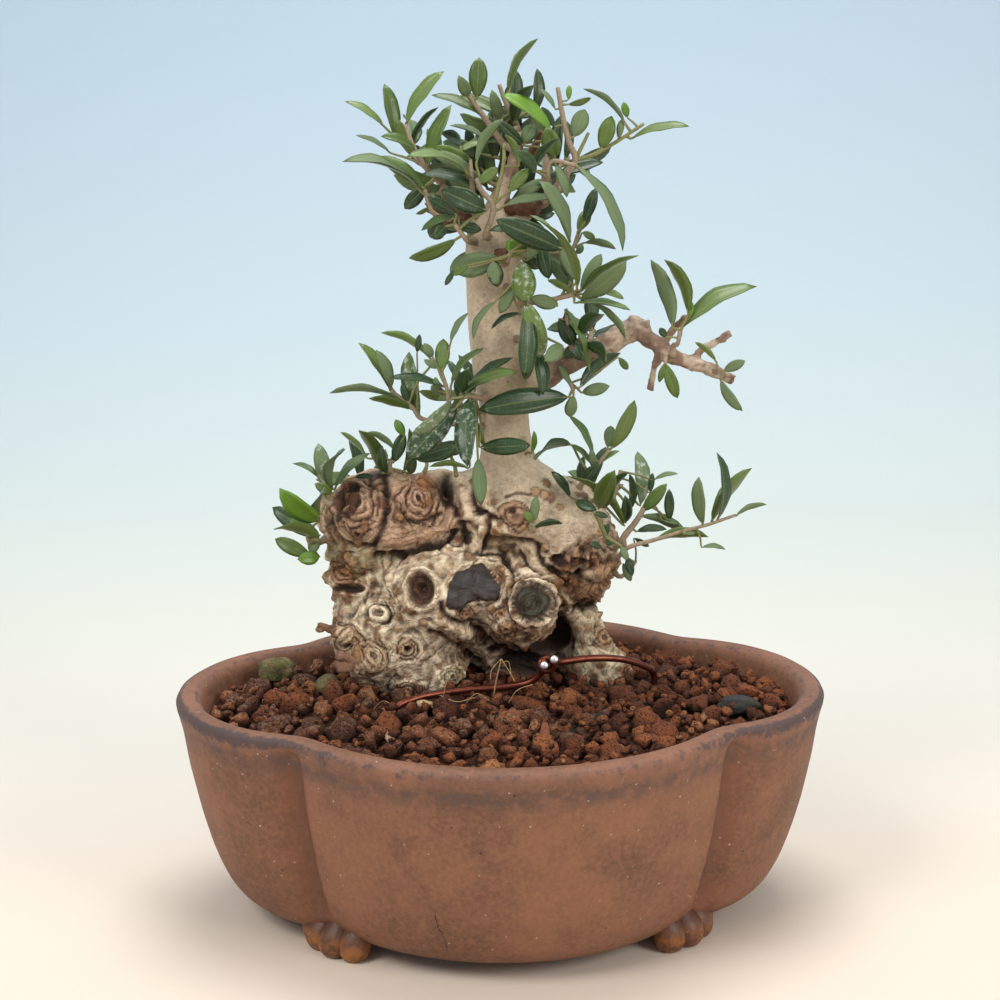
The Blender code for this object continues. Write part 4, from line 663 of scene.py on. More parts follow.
# %% [markdown]
# ## The wood
#
# The burl is a heap of rounded masses with a trunk and a branch. Their union is given one even
# skin by a voxel remesh, fine enough to carry relief. Its relief is then worked out point by
# point: each scar, knot and crease of the front is a mark at its place in the view, and marks of
# the same kinds, at seeded places, cover the back that the photograph doesn't show.

# %% Tables of the wood
# Masses: centre x, y, z and radii, in the view's directions
LUMPS = (
    (-28, 18, 86, 16, 15, 12.5), (-25, 16, 58, 15.5, 17, 17), (-13.5, 15, 71, 16, 18, 15),
    (5.5, 10, 69, 10.5, 15, 10), (13.5, 18, 85, 14, 14, 12), (20.5, 18, 74, 8.5, 11, 9),
    (4, 20, 58, 14, 13, 12), (-2, 17, 90, 12, 12, 10), (-15, 16, 91, 9, 9, 8.2),
    (-33, 14, 71.3, 5, 8, 5.5),
)
LIMBS = (
    ((18, 15, 70, 6), (22, 14, 59, 6.6), (26, 13, 47, 8.6)),
    ((-20, 10, 56, 9), (-14, 8, 47, 7.5)),
)
# The trunk as seen: x, z, radius, at one depth
TRUNK_FRONT = -15.0
TRUNK = (
    (4, 90, 12.5), (3.5, 97, 11.2), (2, 101, 9), (1.8, 105, 6.5), (1.3, 111, 5.8),
    (0.8, 118, 5.8), (0.2, 125, 6.6), (0.4, 130, 7.2), (-1.1, 140, 6.5), (-1.5, 149, 6.3),
    (-2, 157, 5.4), (-2.2, 161, 4),
)
# Branches and bare twigs as seen: x, z, front, radius
BRANCHES = (
    ((3, 121, -15, 3.8), (9, 124, -15, 3.8), (16, 127.5, -15, 3.1), (24, 131, -14, 2.6),
     (29.5, 134, -14, 2.7), (33.5, 132, -13, 2), (38, 128.5, -12, 1.9),
     (43, 126.5, -11, 1.6), (48, 124.8, -10, 1.45), (52.5, 122.8, -9, 1.35)),
    ((29.5, 133, -14, 2.4), (30.5, 137, -14, 2)),
    ((33, 132, -13, 1.5), (32.5, 136.6, -13, 1.1)),
    ((36, 130.4, -12.5, 1), (38, 133.7, -12, 0.9), (40.5, 136, -11, 0.9), (41.3, 137.2, -10.5, 0.9)),
    ((35.6, 130.5, -12.5, 1), (34.4, 125, -12, 0.95), (33.5, 120.5, -12, 1)),
    ((42.5, 127, -11, 1), (45.3, 130, -12, 0.95), (48.5, 131.6, -13, 0.9), (51.3, 133.5, -13, 0.95)),
    ((-2, 155, -15, 3.2), (-7.5, 159.5, -15, 2.2), (-11.5, 163.5, -15, 1.4), (-14, 169, -16, 0.9)),
    ((-2, 158, -15, 3.2), (1, 166, -16, 2), (3.6, 173, -17, 1.4), (4.2, 178, -17, 0.9)),
    ((-1, 155, -15, 3.2), (6, 160.5, -15, 2.1), (12, 164.5, -14, 1.3), (14, 168, -14, 1)),
    ((-35, 63, -4, 1.5), (-39, 64.8, -3, 1.2), (-42.3, 65.8, -3, 1.15)),
    ((-29, 58.4, -1, 2.4), (-33, 57, 3, 2.1), (-37.4, 56, 4, 1.9)),
)
# The burl's own broad swellings and hollows as seen: x, z, radius, rise
SWELLINGS = (
    (-33, 95, 5.5, 1.6), (-19, 97, 5, 1.5), (-26, 88.5, 4, 1.2), (-14, 88.5, 3.5, 1),
    (-35, 78, 3.6, 1), (-35, 61.5, 4.2, 1.2), (-30, 56, 3.6, 1), (-28.5, 69, 3.6, 1),
    (-21.5, 60, 3, 0.8), (-12, 55, 3, 0.8), (7, 71, 5, 1.4), (4.5, 92, 4, 1.2),
    (19, 78, 3, 1.1), (24, 72, 3, 1), (14, 79, 3.2, 1), (27, 56, 3, 1),
    (-18.5, 74.5, 4, -1.2), (-34.5, 73.5, 3.5, -0.5), (-24, 82.5, 3.2, -1), (-16, 84.5, 3, -0.9),
    (-36, 95, 2.4, -1.2), (13, 62, 4.5, -2.4), (5, 56, 5, -2.2), (-5, 65.5, 3, -1.2),
    (7.5, 71, 2.6, -1), (3, 80, 3, -1.2),
)
# How far the burl's left and right edge, as seen, are moved at a height: z, left, right
EDGE_SHIFTS = (
    (50, 2.5, -1), (56, 1.5, -2.2), (60, 0.8, -2.6), (68, 0, -3), (72, -1, -3.2),
    (75, -2.4, -2.8), (77, -4.4, -3), (80, -1.8, -1), (85, 1.4, 1), (90, 1.2, -0.6),
    (95, 1.4, -1.6), (98, 2.4, -1.4), (103, 0, 0),
)
SKIN_STEP = 0.5


def limb_stops():
    """Every round limb as rows of x, y, z, radius in the pot's frame."""
    limbs = []
    for limb in LIMBS:
        rows = np.array(limb, float)
        limbs.append(np.column_stack((turned(rows[:, 0], rows[:, 1], rows[:, 2]), rows[:, 3])))
    rows = np.array(TRUNK)
    radius = rows[:, 2] * (1.0 - TRUNK_FRONT / EYE_BACK)
    limbs.append(np.column_stack((spot(rows[:, 0], rows[:, 1], TRUNK_FRONT), radius)))
    for branch in BRANCHES:
        rows = np.array(branch, float)
        limbs.append(np.column_stack((spot(rows[:, 0], rows[:, 1], rows[:, 2]), rows[:, 3])))
    return limbs


LIMB_STOPS = limb_stops()


def wood_gap(points):
    """Distance of each point to the masses and limbs, negative inside."""
    best = np.full(len(points), 1e9)
    c, s = math.cos(YAW), math.sin(YAW)
    for x, y, z, rx, ry, rz in LUMPS:
        d = points - turned(x, y, z)
        local = np.stack((c * d[:, 0] - s * d[:, 1], s * d[:, 0] + c * d[:, 1], d[:, 2]), axis=1)
        best = np.minimum(best, (np.linalg.norm(local / (rx, ry, rz), axis=1) - 1.0) * min(rx, ry, rz))
    for stops in LIMB_STOPS:
        for a, b in zip(stops[:-1], stops[1:]):
            span = b[:3] - a[:3]
            t = np.clip((points - a[:3]) @ span / (span @ span), 0.0, 1.0)
            core = a[:3] + t[:, None] * span
            best = np.minimum(best, np.linalg.norm(points - core, axis=1) - a[3] - t * (b[3] - a[3]))
    return best


# %% [markdown]
# ### One skin over the masses
#
# The burl's masses and the trunk are joined and softened first, so that they flow into one
# another. The thin branches keep their own radius: they are added after the softening.

# %% Skin
def ball(centre, radii, columns=40, rows=20):
    """An ellipsoid: centre + radii (sin b cos a, sin b sin a, cos b), its poles closed by fans."""
    b = np.linspace(math.pi, 0.0, rows + 2)[1:-1, None]
    shape = at_turn(np.sin(b), turn_round(columns), np.cos(b))
    points, quads, tris = capped(shape, (0.0, 0.0, -1.0), (0.0, 0.0, 1.0))
    return turned(*(np.asarray(centre) + points * radii).T), quads, tris


def skin(batch, name, step, rounds):
    """One even skin over overlapping shapes: voxel remesh, then `rounds` of smoothing."""
    obj = batch.piece(name)
    remesh = obj.modifiers.new("skin", "REMESH")
    remesh.mode, remesh.voxel_size = "VOXEL", step * MM
    if rounds:
        smooth = obj.modifiers.new("soften", "SMOOTH")
        smooth.factor, smooth.iterations = 0.5, rounds
    return take_result(obj)


def wood_skin():
    masses = Batch()
    for x, y, z, *radii in LUMPS:
        masses.add(*ball((x, y, z), radii))
    stout = len(LIMBS) + 1
    for stops in LIMB_STOPS[:stout]:
        path = rounded(stops, 2.5)
        masses.add(*tube(path[:, :3], path[:, 3], 28))
    core = skin(masses, "masses", 1.6, 5)
    points, _ = read_points(core.data)
    joined = Batch()
    joined.add(points, fetch(core.data.loops, "vertex_index").reshape(-1, 4))
    for stops in LIMB_STOPS[stout:]:
        path = rounded(stops, 1.0)
        joined.add(*tube(path[:, :3], path[:, 3], 16))
    bpy.data.objects.remove(core)
    return move_edges(skin(joined, "bark", SKIN_STEP, 4))


def move_edges(obj):
    """Slides the burl's sides along the view's x by the table's shifts, less towards the middle."""
    points, _ = read_points(obj.data)
    x, z, _ = seen(points)
    heights, left, right = np.array(EDGE_SHIFTS).T
    shift = ease((-9.0 - x) / 24.0) * np.interp(z, heights, left)
    shift += ease((x - 5.0) / 16.0) * np.interp(z, heights, right) * (z < 103.0)
    sideways = turned(1.0, 0.0, 0.0) - turned(0.0, 0.0, 0.0)
    obj.data.vertices.foreach_set("co", ((points + shift[:, None] * sideways) * MM).ravel())
    obj.data.update()
    return obj


wood = wood_skin()
print("wood skin:", len(wood.data.vertices), "points")

# %% [markdown]
# ### Scars, knots and creases
#
# `Relief` holds a height and a colour for every point of the skin. A knot rises as a soft dome
# with ring-shaped grooves, a hollow sinks inside a raised lip, and a line follows its stops as
# a ridge or, with a negative rise, as a crease. Their grooves, hollows and creases are painted
# dark as shade. Marks of the front fade where the surface turns away from the eye.

# %% Relief
CREAM = rgb(240, 223, 192)
SMOOTH_BARK = rgb(212, 193, 166)
GREY_GREEN = rgb(166, 158, 120)
PINK_BARK = rgb(176, 142, 116)
BRANCH_BARK = rgb(146, 120, 102)
RUST = rgb(150, 104, 64)
TAN = rgb(176, 150, 116)
# UMBER and PITCH are dark browns of the bark and the chips; painted into grooves, creases, hollows and
# recesses they are painted shade
UMBER = rgb(94, 62, 40)
STUB_BROWN = rgb(126, 92, 70)
PITCH = rgb(42, 27, 17)
# Growth lines: how far the lines of two marks blend, and the distance from wave to wave
LINE_BLEND = 1.8
WAVE = 2.1


class Relief:
    """Height and colour of a skin, built up mark by mark."""

    def __init__(self, points, normals):
        self.points, self.normals = points, normals
        self.x, self.z, self.depth = seen(points)
        self.facing = ease((np.sum(unit(EYE - points) * normals, axis=1) - 0.05) / 0.35)
        self.height = np.zeros(len(points))
        self.colour = np.tile(CREAM, (len(points), 1))
        self.near = np.full(len(points), 1e-5)

    def share(self, x, z, rx, rz):
        """Distance from a mark's middle, 1 at its rim, as seen from the front."""
        return np.hypot((self.x - x) / rx, (self.z - z) / rz)

    def paint(self, colour, mask):
        self.colour += (np.asarray(colour) - self.colour) * np.clip(mask, 0.0, 1.0)[:, None]

    def surround(self, d, size, mask):
        """Counts a mark of radius `size` in the growth lines that run round it."""
        self.near += mask * np.exp(-np.clip((d - 1.0) * size, -6.0, 30.0) / LINE_BLEND)

    def knot(self, d, rise, rings, colour, mask=1.0):
        """A dome rise exp(-1.4 d^2), bent rings cos(2 pi rings d) cut into it, its middle sunk."""
        d = d * (1.0 + 0.26 * noise(self.points, 4.2, 71, 3))
        inside = ease((1.2 - d) / 0.3) * mask
        groove = (0.5 - 0.5 * np.cos(2.0 * math.pi * rings * d)) ** 3
        sunk = bell(d, 0.16)
        self.height += mask * rise * np.exp(-1.4 * d * d) - inside * (0.6 * groove + 0.7 * sunk)
        # The ridges between the ring grooves are painted lighter and the grooves umber: painted light and
        # painted shade over the knot's colour. The sunk middle is painted near black: painted shade.
        self.paint(colour, 0.5 * inside)
        self.paint(np.minimum(1.25 * np.asarray(colour), 1.0), 0.4 * inside * (1.0 - groove))
        self.paint(UMBER, inside * groove * 0.95)
        self.paint(PITCH, 0.8 * mask * sunk)

    def hollow(self, d, depth, colour, mask=1.0, lip=0.5):
        """A bowl -depth (1 - d^2) inside a lip of height lip exp(-((d - 1.1) / 0.14)^2)."""
        bowl = np.clip(1.0 - d * d, 0.0, 1.0) ** 0.7
        rim = bell(d - 1.1, 0.14)
        self.height += mask * (lip * rim - depth * bowl)
        # The bowl takes the table's colour, near black in most hollows as painted shade, and a ring just
        # inside the lip is painted umber as shade.
        self.paint(colour, mask * ease(bowl * 2.0))
        self.paint(UMBER, 0.7 * mask * bell(d - 0.96, 0.07))

    def line(self, stops, width, rise, colour, amount=0.8):
        """rise exp(-(d / width)^2) at distance d from a bent line through the stops."""
        stops = rounded(stops, 1.0)
        here = np.stack((self.x, self.z), axis=1)
        best = np.full(len(here), 1e9)
        for a, b in zip(stops[:-1], stops[1:]):
            t = np.clip((here - a) @ (b - a) / ((b - a) @ (b - a)), 0.0, 1.0)
            best = np.minimum(best, np.linalg.norm(here - a - t[:, None] * (b - a), axis=1))
        best = np.abs(best + 0.25 * noise(self.points, 1.6, 73, 2) * width)
        mark = bell(best, width) * self.facing
        self.height += rise * mark
        # A crease, with a negative rise, takes a dark colour from the table: painted shade in the crease.
        self.paint(colour, amount * mark)

    def zone(self, x, z, rx, rz, edge=0.5):
        """1 inside an oval of the front, fading over its rim."""
        return ease((1.0 + 0.5 * edge - self.share(x, z, rx, rz)) / edge) * self.facing


# %% [markdown]
# The tables below are the front's marks, measured in the view.

# %% Marks of the front
# Knots: x, z, radii, rise, how many rings, colour
KNOTS = (
    (-31.5, 93.8, 6.2, 6.4, 1.6, 4.5, PINK_BARK), (-18.6, 95, 6, 5, 1.5, 4, PINK_BARK),
    (-32, 87.7, 1.7, 1.6, 0.9, 2, UMBER), (-23.2, 91, 1.6, 1.6, 0.9, 2, UMBER),
    (-18, 94, 0.9, 0.9, 0.5, 1, RUST), (-35.4, 78.4, 2.8, 2.6, 1, 2.5, RUST),
    (-35, 61.6, 4.4, 4.2, 0.9, 3.5, TAN), (-29.6, 58.2, 4, 4.4, 0.9, 3.5, TAN),
    (-27.6, 68.6, 3.6, 3.2, 0.5, 2, CREAM), (-21.4, 60.2, 3, 3, 0.7, 3, TAN),
    (-21.4, 50.2, 2.8, 2.4, 0.6, 2.5, TAN), (-11.2, 53.4, 2.6, 2, 0.4, 2.5, GREY_GREEN),
    (-1.1, 76.8, 2.3, 2.3, 1.1, 3, RUST), (-7.5, 68.4, 1.6, 1.6, 1.2, 2.5, RUST),
    (-0.3, 68.4, 1.5, 1.4, 1.2, 2, RUST), (2.1, 65.6, 2.2, 2, 1.4, 2.5, RUST),
    (7.3, 61, 1.6, 1.5, 1, 2, UMBER), (13.5, 71.6, 1.2, 1.1, 1, 1.5, RUST),
    (3.7, 91.6, 3.1, 3.1, 1.7, 2.5, RUST), (15.4, 76.6, 1.8, 1.7, 1.2, 2, RUST),
    (18.8, 73.4, 2.2, 1.9, 1.2, 2.5, UMBER), (23.6, 76.4, 1.8, 1.6, 1.1, 2, RUST),
    (21.4, 81.5, 1.6, 2, 0.8, 2, RUST), (-10.4, 85.6, 2, 1.6, 0.9, 2, UMBER),
    (24.2, 63, 1.8, 2.2, 0.7, 2, RUST), (29, 54.4, 1.6, 1.6, 0.7, 2, RUST),
    (-4.2, 62.6, 2, 1.5, 0.8, 2, UMBER), (-8, 58.6, 1.5, 1.4, 0.8, 2, RUST),
)
# Hollows: x, z, radii, depth, colour, lip; a near-black colour is painted shade in the hollow
SINKS = (
    (-34.2, 95, 3.4, 4.2, 1.8, UMBER, 0.2), (-16.4, 98.2, 2.1, 1.8, 0.5, RUST, 0.4),
    (-18.2, 74.4, 3.2, 4.6, 1.6, UMBER, 0.8), (-34.6, 74.6, 3.8, 1.3, 1.2, PITCH, 0.3),
    (-21.4, 60.3, 0.8, 0.8, 0.9, PITCH, 0.2), (12.4, 64, 2.6, 5.6, 2.6, PITCH, 0.2),
    (5, 56.2, 6.5, 3.4, 2.6, PITCH, 0), (13, 81.6, 1.9, 1.3, 1.5, PITCH, 0.3),
    (-4.2, 92.6, 1.8, 0.8, 1.4, PITCH, 0.1), (17, 79, 1.5, 1.2, 1, UMBER, 0.3),
    (20.4, 71.2, 2, 1.2, 1.3, PITCH, 0.3), (27.6, 52, 1.6, 1.4, 1, PITCH, 0.2),
    (-12, 97, 1.6, 4, 1.6, PITCH, 0), (-1.2, 60.4, 1.8, 1, 1.2, PITCH, 0.1),
    (2.9, 92.9, 0.9, 0.7, 0.7, PITCH, 0.2), (-33, 97.4, 2, 1.2, 0.8, PITCH, 0.2),
    (9.6, 60.6, 2.4, 2, 1.2, PITCH, 0.2), (17.6, 81.6, 2.2, 1, 1.2, PITCH, 0.2),
)
# Ridges and creases: stops, width, rise, colour, amount of colour; a crease's dark colour is painted shade
LINES = (
    (((-27, 87), (-20, 87.3), (-15, 88), (-10.5, 90)), 2, 1.5, PINK_BARK, 0.7),
    (((-28.5, 82), (-22.4, 82.6), (-17, 84.6), (-12.5, 85.6), (-10.2, 88.4)), 0.8, -1.7, PITCH, 0.95),
    (((-26, 99.8), (-25.6, 94), (-26.8, 88.6), (-28.6, 84.8)), 0.8, -1.6, PITCH, 0.9),
    (((-29.5, 100.5), (-29, 97.8), (-25.4, 97), (-23.4, 93.4)), 0.5, -0.7, UMBER, 0.8),
    (((-22.6, 92.6), (-20, 90.2), (-13.4, 92.4)), 0.5, -0.8, UMBER, 0.8),
    (((-38.6, 90), (-35, 85.6), (-30, 84.6)), 0.7, -0.6, RUST, 0.5),
    (((-11.6, 101.5), (-11.4, 96), (-9.4, 91.6), (-7.6, 86)), 0.8, -1.5, PITCH, 0.9),
    (((-8.9, 99.4), (-8.2, 95.6), (-6.9, 92.4)), 1.1, 1.3, SMOOTH_BARK, 0.9),
    (((-6, 100), (-6.2, 96), (-5, 92.4)), 0.6, -1, UMBER, 0.8),
    (((-3.9, 91.2), (-4.4, 88), (-5.6, 84.6)), 1.3, 1.3, SMOOTH_BARK, 0.95),
    (((-2.2, 91.8), (-2.6, 88), (-3.4, 84.2)), 0.5, -1.2, PITCH, 0.85),
    (((-9.8, 91), (-7.4, 91.2), (-5.4, 91.6)), 0.5, 0.9, SMOOTH_BARK, 0.8),
    (((1.4, 96), (4, 96.9), (7, 96.6)), 0.4, -0.45, UMBER, 0.6),
    (((-4.6, 93.6), (-1.6, 91.6), (0.6, 91)), 0.5, -1, PITCH, 0.85),
    (((-2.6, 86), (2, 86.6), (7, 85.8), (10.5, 83)), 0.7, -0.9, UMBER, 0.8),
    (((-5.4, 82), (-1.2, 81.4), (1.8, 77.4), (1.6, 73), (-1, 70.6)), 0.7, 0.7, CREAM, 0.5),
    (((-4, 82.8), (0.4, 82.2), (3, 77.4), (2.6, 72.6), (-0.6, 69.8)), 0.35, -0.6, UMBER, 0.7),
    (((-13.6, 71), (-13, 68.6), (-10, 66.4), (-6, 66.4)), 0.7, -1, PITCH, 0.85),
    (((-6, 65), (-2, 62.4), (2, 59)), 0.6, -0.8, UMBER, 0.8),
    (((-16, 64), (-10, 61.4), (-5, 56.6), (-2, 52.6)), 0.7, -0.9, UMBER, 0.7),
    (((-14, 66.4), (-8, 63.6), (-3, 59.6), (0, 55)), 1.3, 0.8, CREAM, 0.5),
    (((8.2, 84.6), (9, 81.6), (11.6, 79), (13.6, 76)), 0.6, -1.1, UMBER, 0.8),
    (((4.6, 83.6), (6.4, 80), (9.6, 77.8)), 0.4, -0.7, UMBER, 0.7),
    (((2.6, 82.4), (4.6, 79.2), (8.4, 77.2)), 0.9, 0.8, CREAM, 0.6),
    (((13.6, 70), (15.2, 66), (15.4, 60)), 0.8, -1.2, PITCH, 0.85),
    (((15.2, 79.6), (19, 77.6), (22, 74.6)), 0.6, -0.9, UMBER, 0.8),
    (((17.6, 83), (20.6, 80), (23.4, 78)), 0.9, 0.7, RUST, 0.5),
    (((16.4, 70.6), (19.6, 70), (22.6, 71.2)), 0.7, -1.1, PITCH, 0.8),
)
SNOUT = (7.25, 71.3)
SNOUT_RADII = (4.0, 4.2)
# Other places that growth lines run round, x, z and radius: the snout, the scar, the paste
LINED = ((*SNOUT, 4.6), (-18.2, 74.4, 4.0), (-6.0, 75.0, 5.6))
BACK_KNOTS = 34
# Heights between which the burl has knots at the back
BACK_LOW, BACK_HIGH = 50.0, 96.0


def mark_front(relief):
    """Every table's mark, then the cut face of the snout: flat inside a rolled lip."""
    facing, share, paint = relief.facing, relief.share, relief.paint
    for x, z, radius, rise in SWELLINGS:
        relief.height += facing * rise * bell(share(x, z, radius, radius), 1.0)
    for x, z, rx, rz, rise, rings, colour in KNOTS:
        d = share(x, z, rx, rz)
        relief.knot(d, rise, rings, colour, facing)
        relief.surround(d, 0.5 * (rx + rz), facing)
    for x, z, radius in LINED:
        relief.surround(share(x, z, radius, radius), radius, facing)
    for line in LINES:
        relief.line(*line)
    for x, z, rx, rz, depth, colour, lip in SINKS:
        relief.hollow(share(x, z, rx, rz), depth, colour, facing, lip)
    d = share(*SNOUT, *SNOUT_RADII)
    inside = ease((1.05 - d) / 0.12) * facing
    seam = bell(d - 1.42, 0.08)
    relief.height += facing * bell(d - 1.2, 0.13)
    relief.height -= facing * 0.6 * seam
    relief.height -= inside * 0.9
    # The seam's groove is painted umber: painted shade.
    paint(UMBER, 0.8 * facing * seam)
    paint(rgb(66, 68, 52), inside)
    paint(PITCH, inside * ease(noise(relief.points, 2.0, 5, 3) * 1.6 + 0.2))
    paint(PITCH, facing * bell(d - 1.06, 0.05))


def mark_back(relief):
    """Knots like the front's, on seeded points that face away from the eye below the trunk."""
    height = relief.points[:, 2]
    hidden = np.flatnonzero((relief.facing < 0.1) & (height > BACK_LOW) & (height < BACK_HIGH))
    draws = np.random.default_rng(21)
    for centre in relief.points[draws.choice(hidden, BACK_KNOTS)]:
        radius = draws.uniform(1.6, 4.6)
        d = np.linalg.norm(relief.points - centre, axis=1) / radius
        mask = 1.0 - relief.facing
        relief.surround(d, radius, mask)
        if draws.random() < 0.3:
            relief.hollow(d, draws.uniform(0.8, 1.8), UMBER, mask)
        else:
            relief.knot(d, draws.uniform(0.4, 1.2), draws.integers(2, 5), RUST, mask)


# %% [markdown]
# Between the marks the bark has a ground of its own: cream and warty low down, pinkish on the
# upper left, green-grey at the far left, brown and crusty at the right and under the snout, with
# the crust's crevices painted near black as shade, and smooth on the trunk. Small round warts are
# sown over the burl by seeded draws, with a painted shade round each foot.

# %% Ground of the bark
def warts(relief, size, seed, mask, rise, colour, amount):
    """Rounded warts: rise (1 - d / 0.42)^1.3 from the middles of jittered cells."""
    bump = np.clip(1.0 - to_middle(relief.points, size, seed) / 0.42, 0.0, 1.0)
    kept = mask * ease(noise(relief.points, 7.0, seed + 3) * 2.0 + 0.9)
    relief.height += kept * rise * bump ** 1.3
    relief.paint(colour, kept * amount * ease(bump * 2.0))


def ground(relief):
    """Zones of the front and the whole burl: height and colour from noise of their own."""
    p, x, z, paint, zone = relief.points, relief.x, relief.z, relief.paint, relief.zone
    burl = ease((101.0 - z + 0.35 * np.abs(x - 3.0)) / 9.0) * ease(relief.depth + 30.0)
    trunk = 1.0 - burl
    relief.height += burl * 0.55 * noise(p, 6.0, 1, 3)
    relief.height += trunk * 0.18 * noise(p, 7.0, 2, 2)
    paint(SMOOTH_BARK, trunk)
    upper_left = zone(-24, 94, 18, 10) + (1.0 - relief.facing) * ease((z - 80.0) / 8.0) * burl
    paint(PINK_BARK, 0.8 * upper_left)
    paint(GREY_GREEN, 0.85 * zone(-35, 82, 9, 5))
    shoulder = zone(13, 92, 11, 9)
    paint(SMOOTH_BARK, 0.9 * shoulder)
    crust = zone(19.5, 76.5, 9, 7.5) + 0.8 * zone(23.5, 84, 5, 5) + 0.8 * zone(5.0, 62.0, 8.5, 5.0)
    crust = np.clip(crust, 0.0, 1.0)
    bent = p + 1.6 * swirl(p, 4.0, (34, 35, 36), 2)
    crevice = bell(noise(bent, 4.4, 14, 2), 0.17)
    relief.height += crust * (1.3 * noise(bent, 3.4, 15, 3) - 1.9 * crevice + 0.5)
    paint(rgb(132, 94, 62), crust * (0.75 + 0.5 * noise(p, 3.5, 18, 2)))
    # Painted shade in the crust's crevices.
    paint(PITCH, crust * 0.9 * crevice)
    low = burl * (1.0 - crust) * (1.0 - shoulder)
    rings = np.abs(noise(p + 2.2 * swirl(p, 9.0, (31, 32, 33)), 2.6, 30))
    relief.height += low * 0.22 * (rings - 0.3)
    paint(RUST, low * 0.28 * ease((0.10 - rings) / 0.1))
    warty = low * (1.0 - 0.6 * upper_left.clip(0, 1))
    furrow = bell(noise(bent, 8.0, 38, 2), 0.05)
    relief.height += low * (0.5 * noise(bent, 4.2, 37, 3) - 0.5 * furrow)
    few = ease(noise(p, 5.0, 85) * 3.0 + 0.2)
    leg = zone(22, 60, 9, 11)
    warts(relief, 3.9, 41, warty, 0.75, RUST, 0.5)
    warts(relief, 2.3, 47, warty, 0.5, rgb(158, 108, 66), 0.65)
    warts(relief, 3.3, 83, warty * few, 0.6, rgb(128, 78, 40), 0.95)
    warts(relief, 4.4, 53, crust, 1.2, rgb(166, 118, 72), 0.6)
    paint(rgb(214, 198, 164), 0.7 * leg)
    warts(relief, 2.9, 59, leg, 0.7, rgb(122, 82, 48), 0.95)
    paint(UMBER, burl * 0.12 * ease(noise(p, 12.0, 61, 3) * 1.6 - 0.2))
    paint(UMBER, 0.75 * ease((51.5 + 1.2 * noise(p, 4.0, 66) - p[:, 2]) / 3.5))


WARTS = 440
# Places without warts, as seen: the snout's cut, the scar, the paste and the dark recess
WART_FREE = ((*SNOUT, 5.2, 5.4), (-18.2, 74.4, 4.2, 5.6), (-6, 75, 6.4, 6), (12, 60.5, 4.6, 8))
# Warts grow between these heights, few above WART_FEW
WART_LOW, WART_FEW, WART_HIGH = 51.0, 82.0, 98.0
WART_TONES = (rgb(166, 116, 70), rgb(144, 96, 58), rgb(118, 78, 50), rgb(190, 148, 100))


def seeded_warts(relief):
    """Small warts on seeded points, each a dome sqrt(1 - d^2); gives back their tint and a ring of painted
    shade round each foot, for later.
    """
    draws = np.random.default_rng(61)
    height = relief.points[:, 2]
    weight = np.where(height < WART_FEW, 1.0, 0.3) * ((height > WART_LOW) & (height < WART_HIGH))
    for x, z, rx, rz in WART_FREE:
        weight *= (relief.share(x, z, rx, rz) > 1.0) | (relief.facing < 0.1)
    order = np.argsort(relief.points[:, 0])
    sorted_x = relief.points[order, 0]
    tints_and_foot_shade = []
    for index in draws.choice(len(height), WARTS, replace=False, p=weight / weight.sum()):
        centre, radius = relief.points[index], 0.5 + 0.65 * draws.random() ** 2
        low, high = np.searchsorted(sorted_x, (centre[0] - 1.5 * radius, centre[0] + 1.5 * radius))
        near = order[low:high]
        d = np.linalg.norm(relief.points[near] - centre, axis=1) / radius
        near, d = near[d < 1.5], d[d < 1.5]
        relief.height[near] += 0.7 * radius * np.sqrt(np.clip(1.0 - d * d, 0.0, 1.0))
        tone = WART_TONES[draws.integers(len(WART_TONES))]
        tints_and_foot_shade.append((near, 0.85 * ease((1.1 - d) / 0.3), tone))
        # An umber ring round each wart's foot: painted shade.
        tints_and_foot_shade.append((near, 0.6 * bell(d - 1.2, 0.18), UMBER))
    return tints_and_foot_shade


def burl_share(relief):
    """1 on the burl, fading to 0 up the trunk."""
    return ease((102.0 - relief.z) / 6.0)


def stands_out(mesh, points, normals, rounds):
    """How far each point is above the mean of its neighbours, taken `rounds` times."""
    ends = fetch(mesh.edges, "vertices", 2)
    a, b = np.concatenate((ends[:, 0], ends[:, 1])), np.concatenate((ends[:, 1], ends[:, 0]))
    count = np.bincount(a, minlength=len(points))[:, None]
    mean = points
    for _ in range(rounds):
        mean = np.stack([np.bincount(a, mean[b, k], len(points)) for k in range(3)], axis=1) / count
    return np.sum((points - mean) * normals, axis=1)


def paint_relief_shade_and_light(relief, mesh, moved):
    """Paints shade into what lies in a groove of the finished relief and light onto its crests, and paints
    shade into the recess under the snout and a deep hollow at the burl's top, left of the trunk.
    """
    fine = np.clip(stands_out(mesh, moved, relief.normals, 3) / 0.10, -1.0, 1.0)
    wide = np.clip(stands_out(mesh, moved, relief.normals, 18) / 0.55, -1.0, 1.0)
    crest = 0.55 * fine + 0.55 * wide
    share = 0.45 + 0.55 * burl_share(relief)
    # Painted shade in the grooves, near black in the deepest.
    relief.paint(UMBER, share * 0.62 * np.clip(-crest, 0.0, 1.0))
    relief.paint(PITCH, share * 0.7 * np.clip(-crest - 0.6, 0.0, 1.0) * 2.0)
    # Painted shade in the recess under the snout and in the deep hollow at the burl's top, left of the
    # trunk.
    relief.paint(PITCH, 0.85 * relief.zone(6.5, 57.5, 7, 4.6) + 0.7 * relief.zone(-12.5, 98, 2.4, 3.6))
    # Painted light on the crests.
    relief.colour *= 1.0 + 0.44 * (share * np.clip(crest, 0.0, 1.0))[:, None]


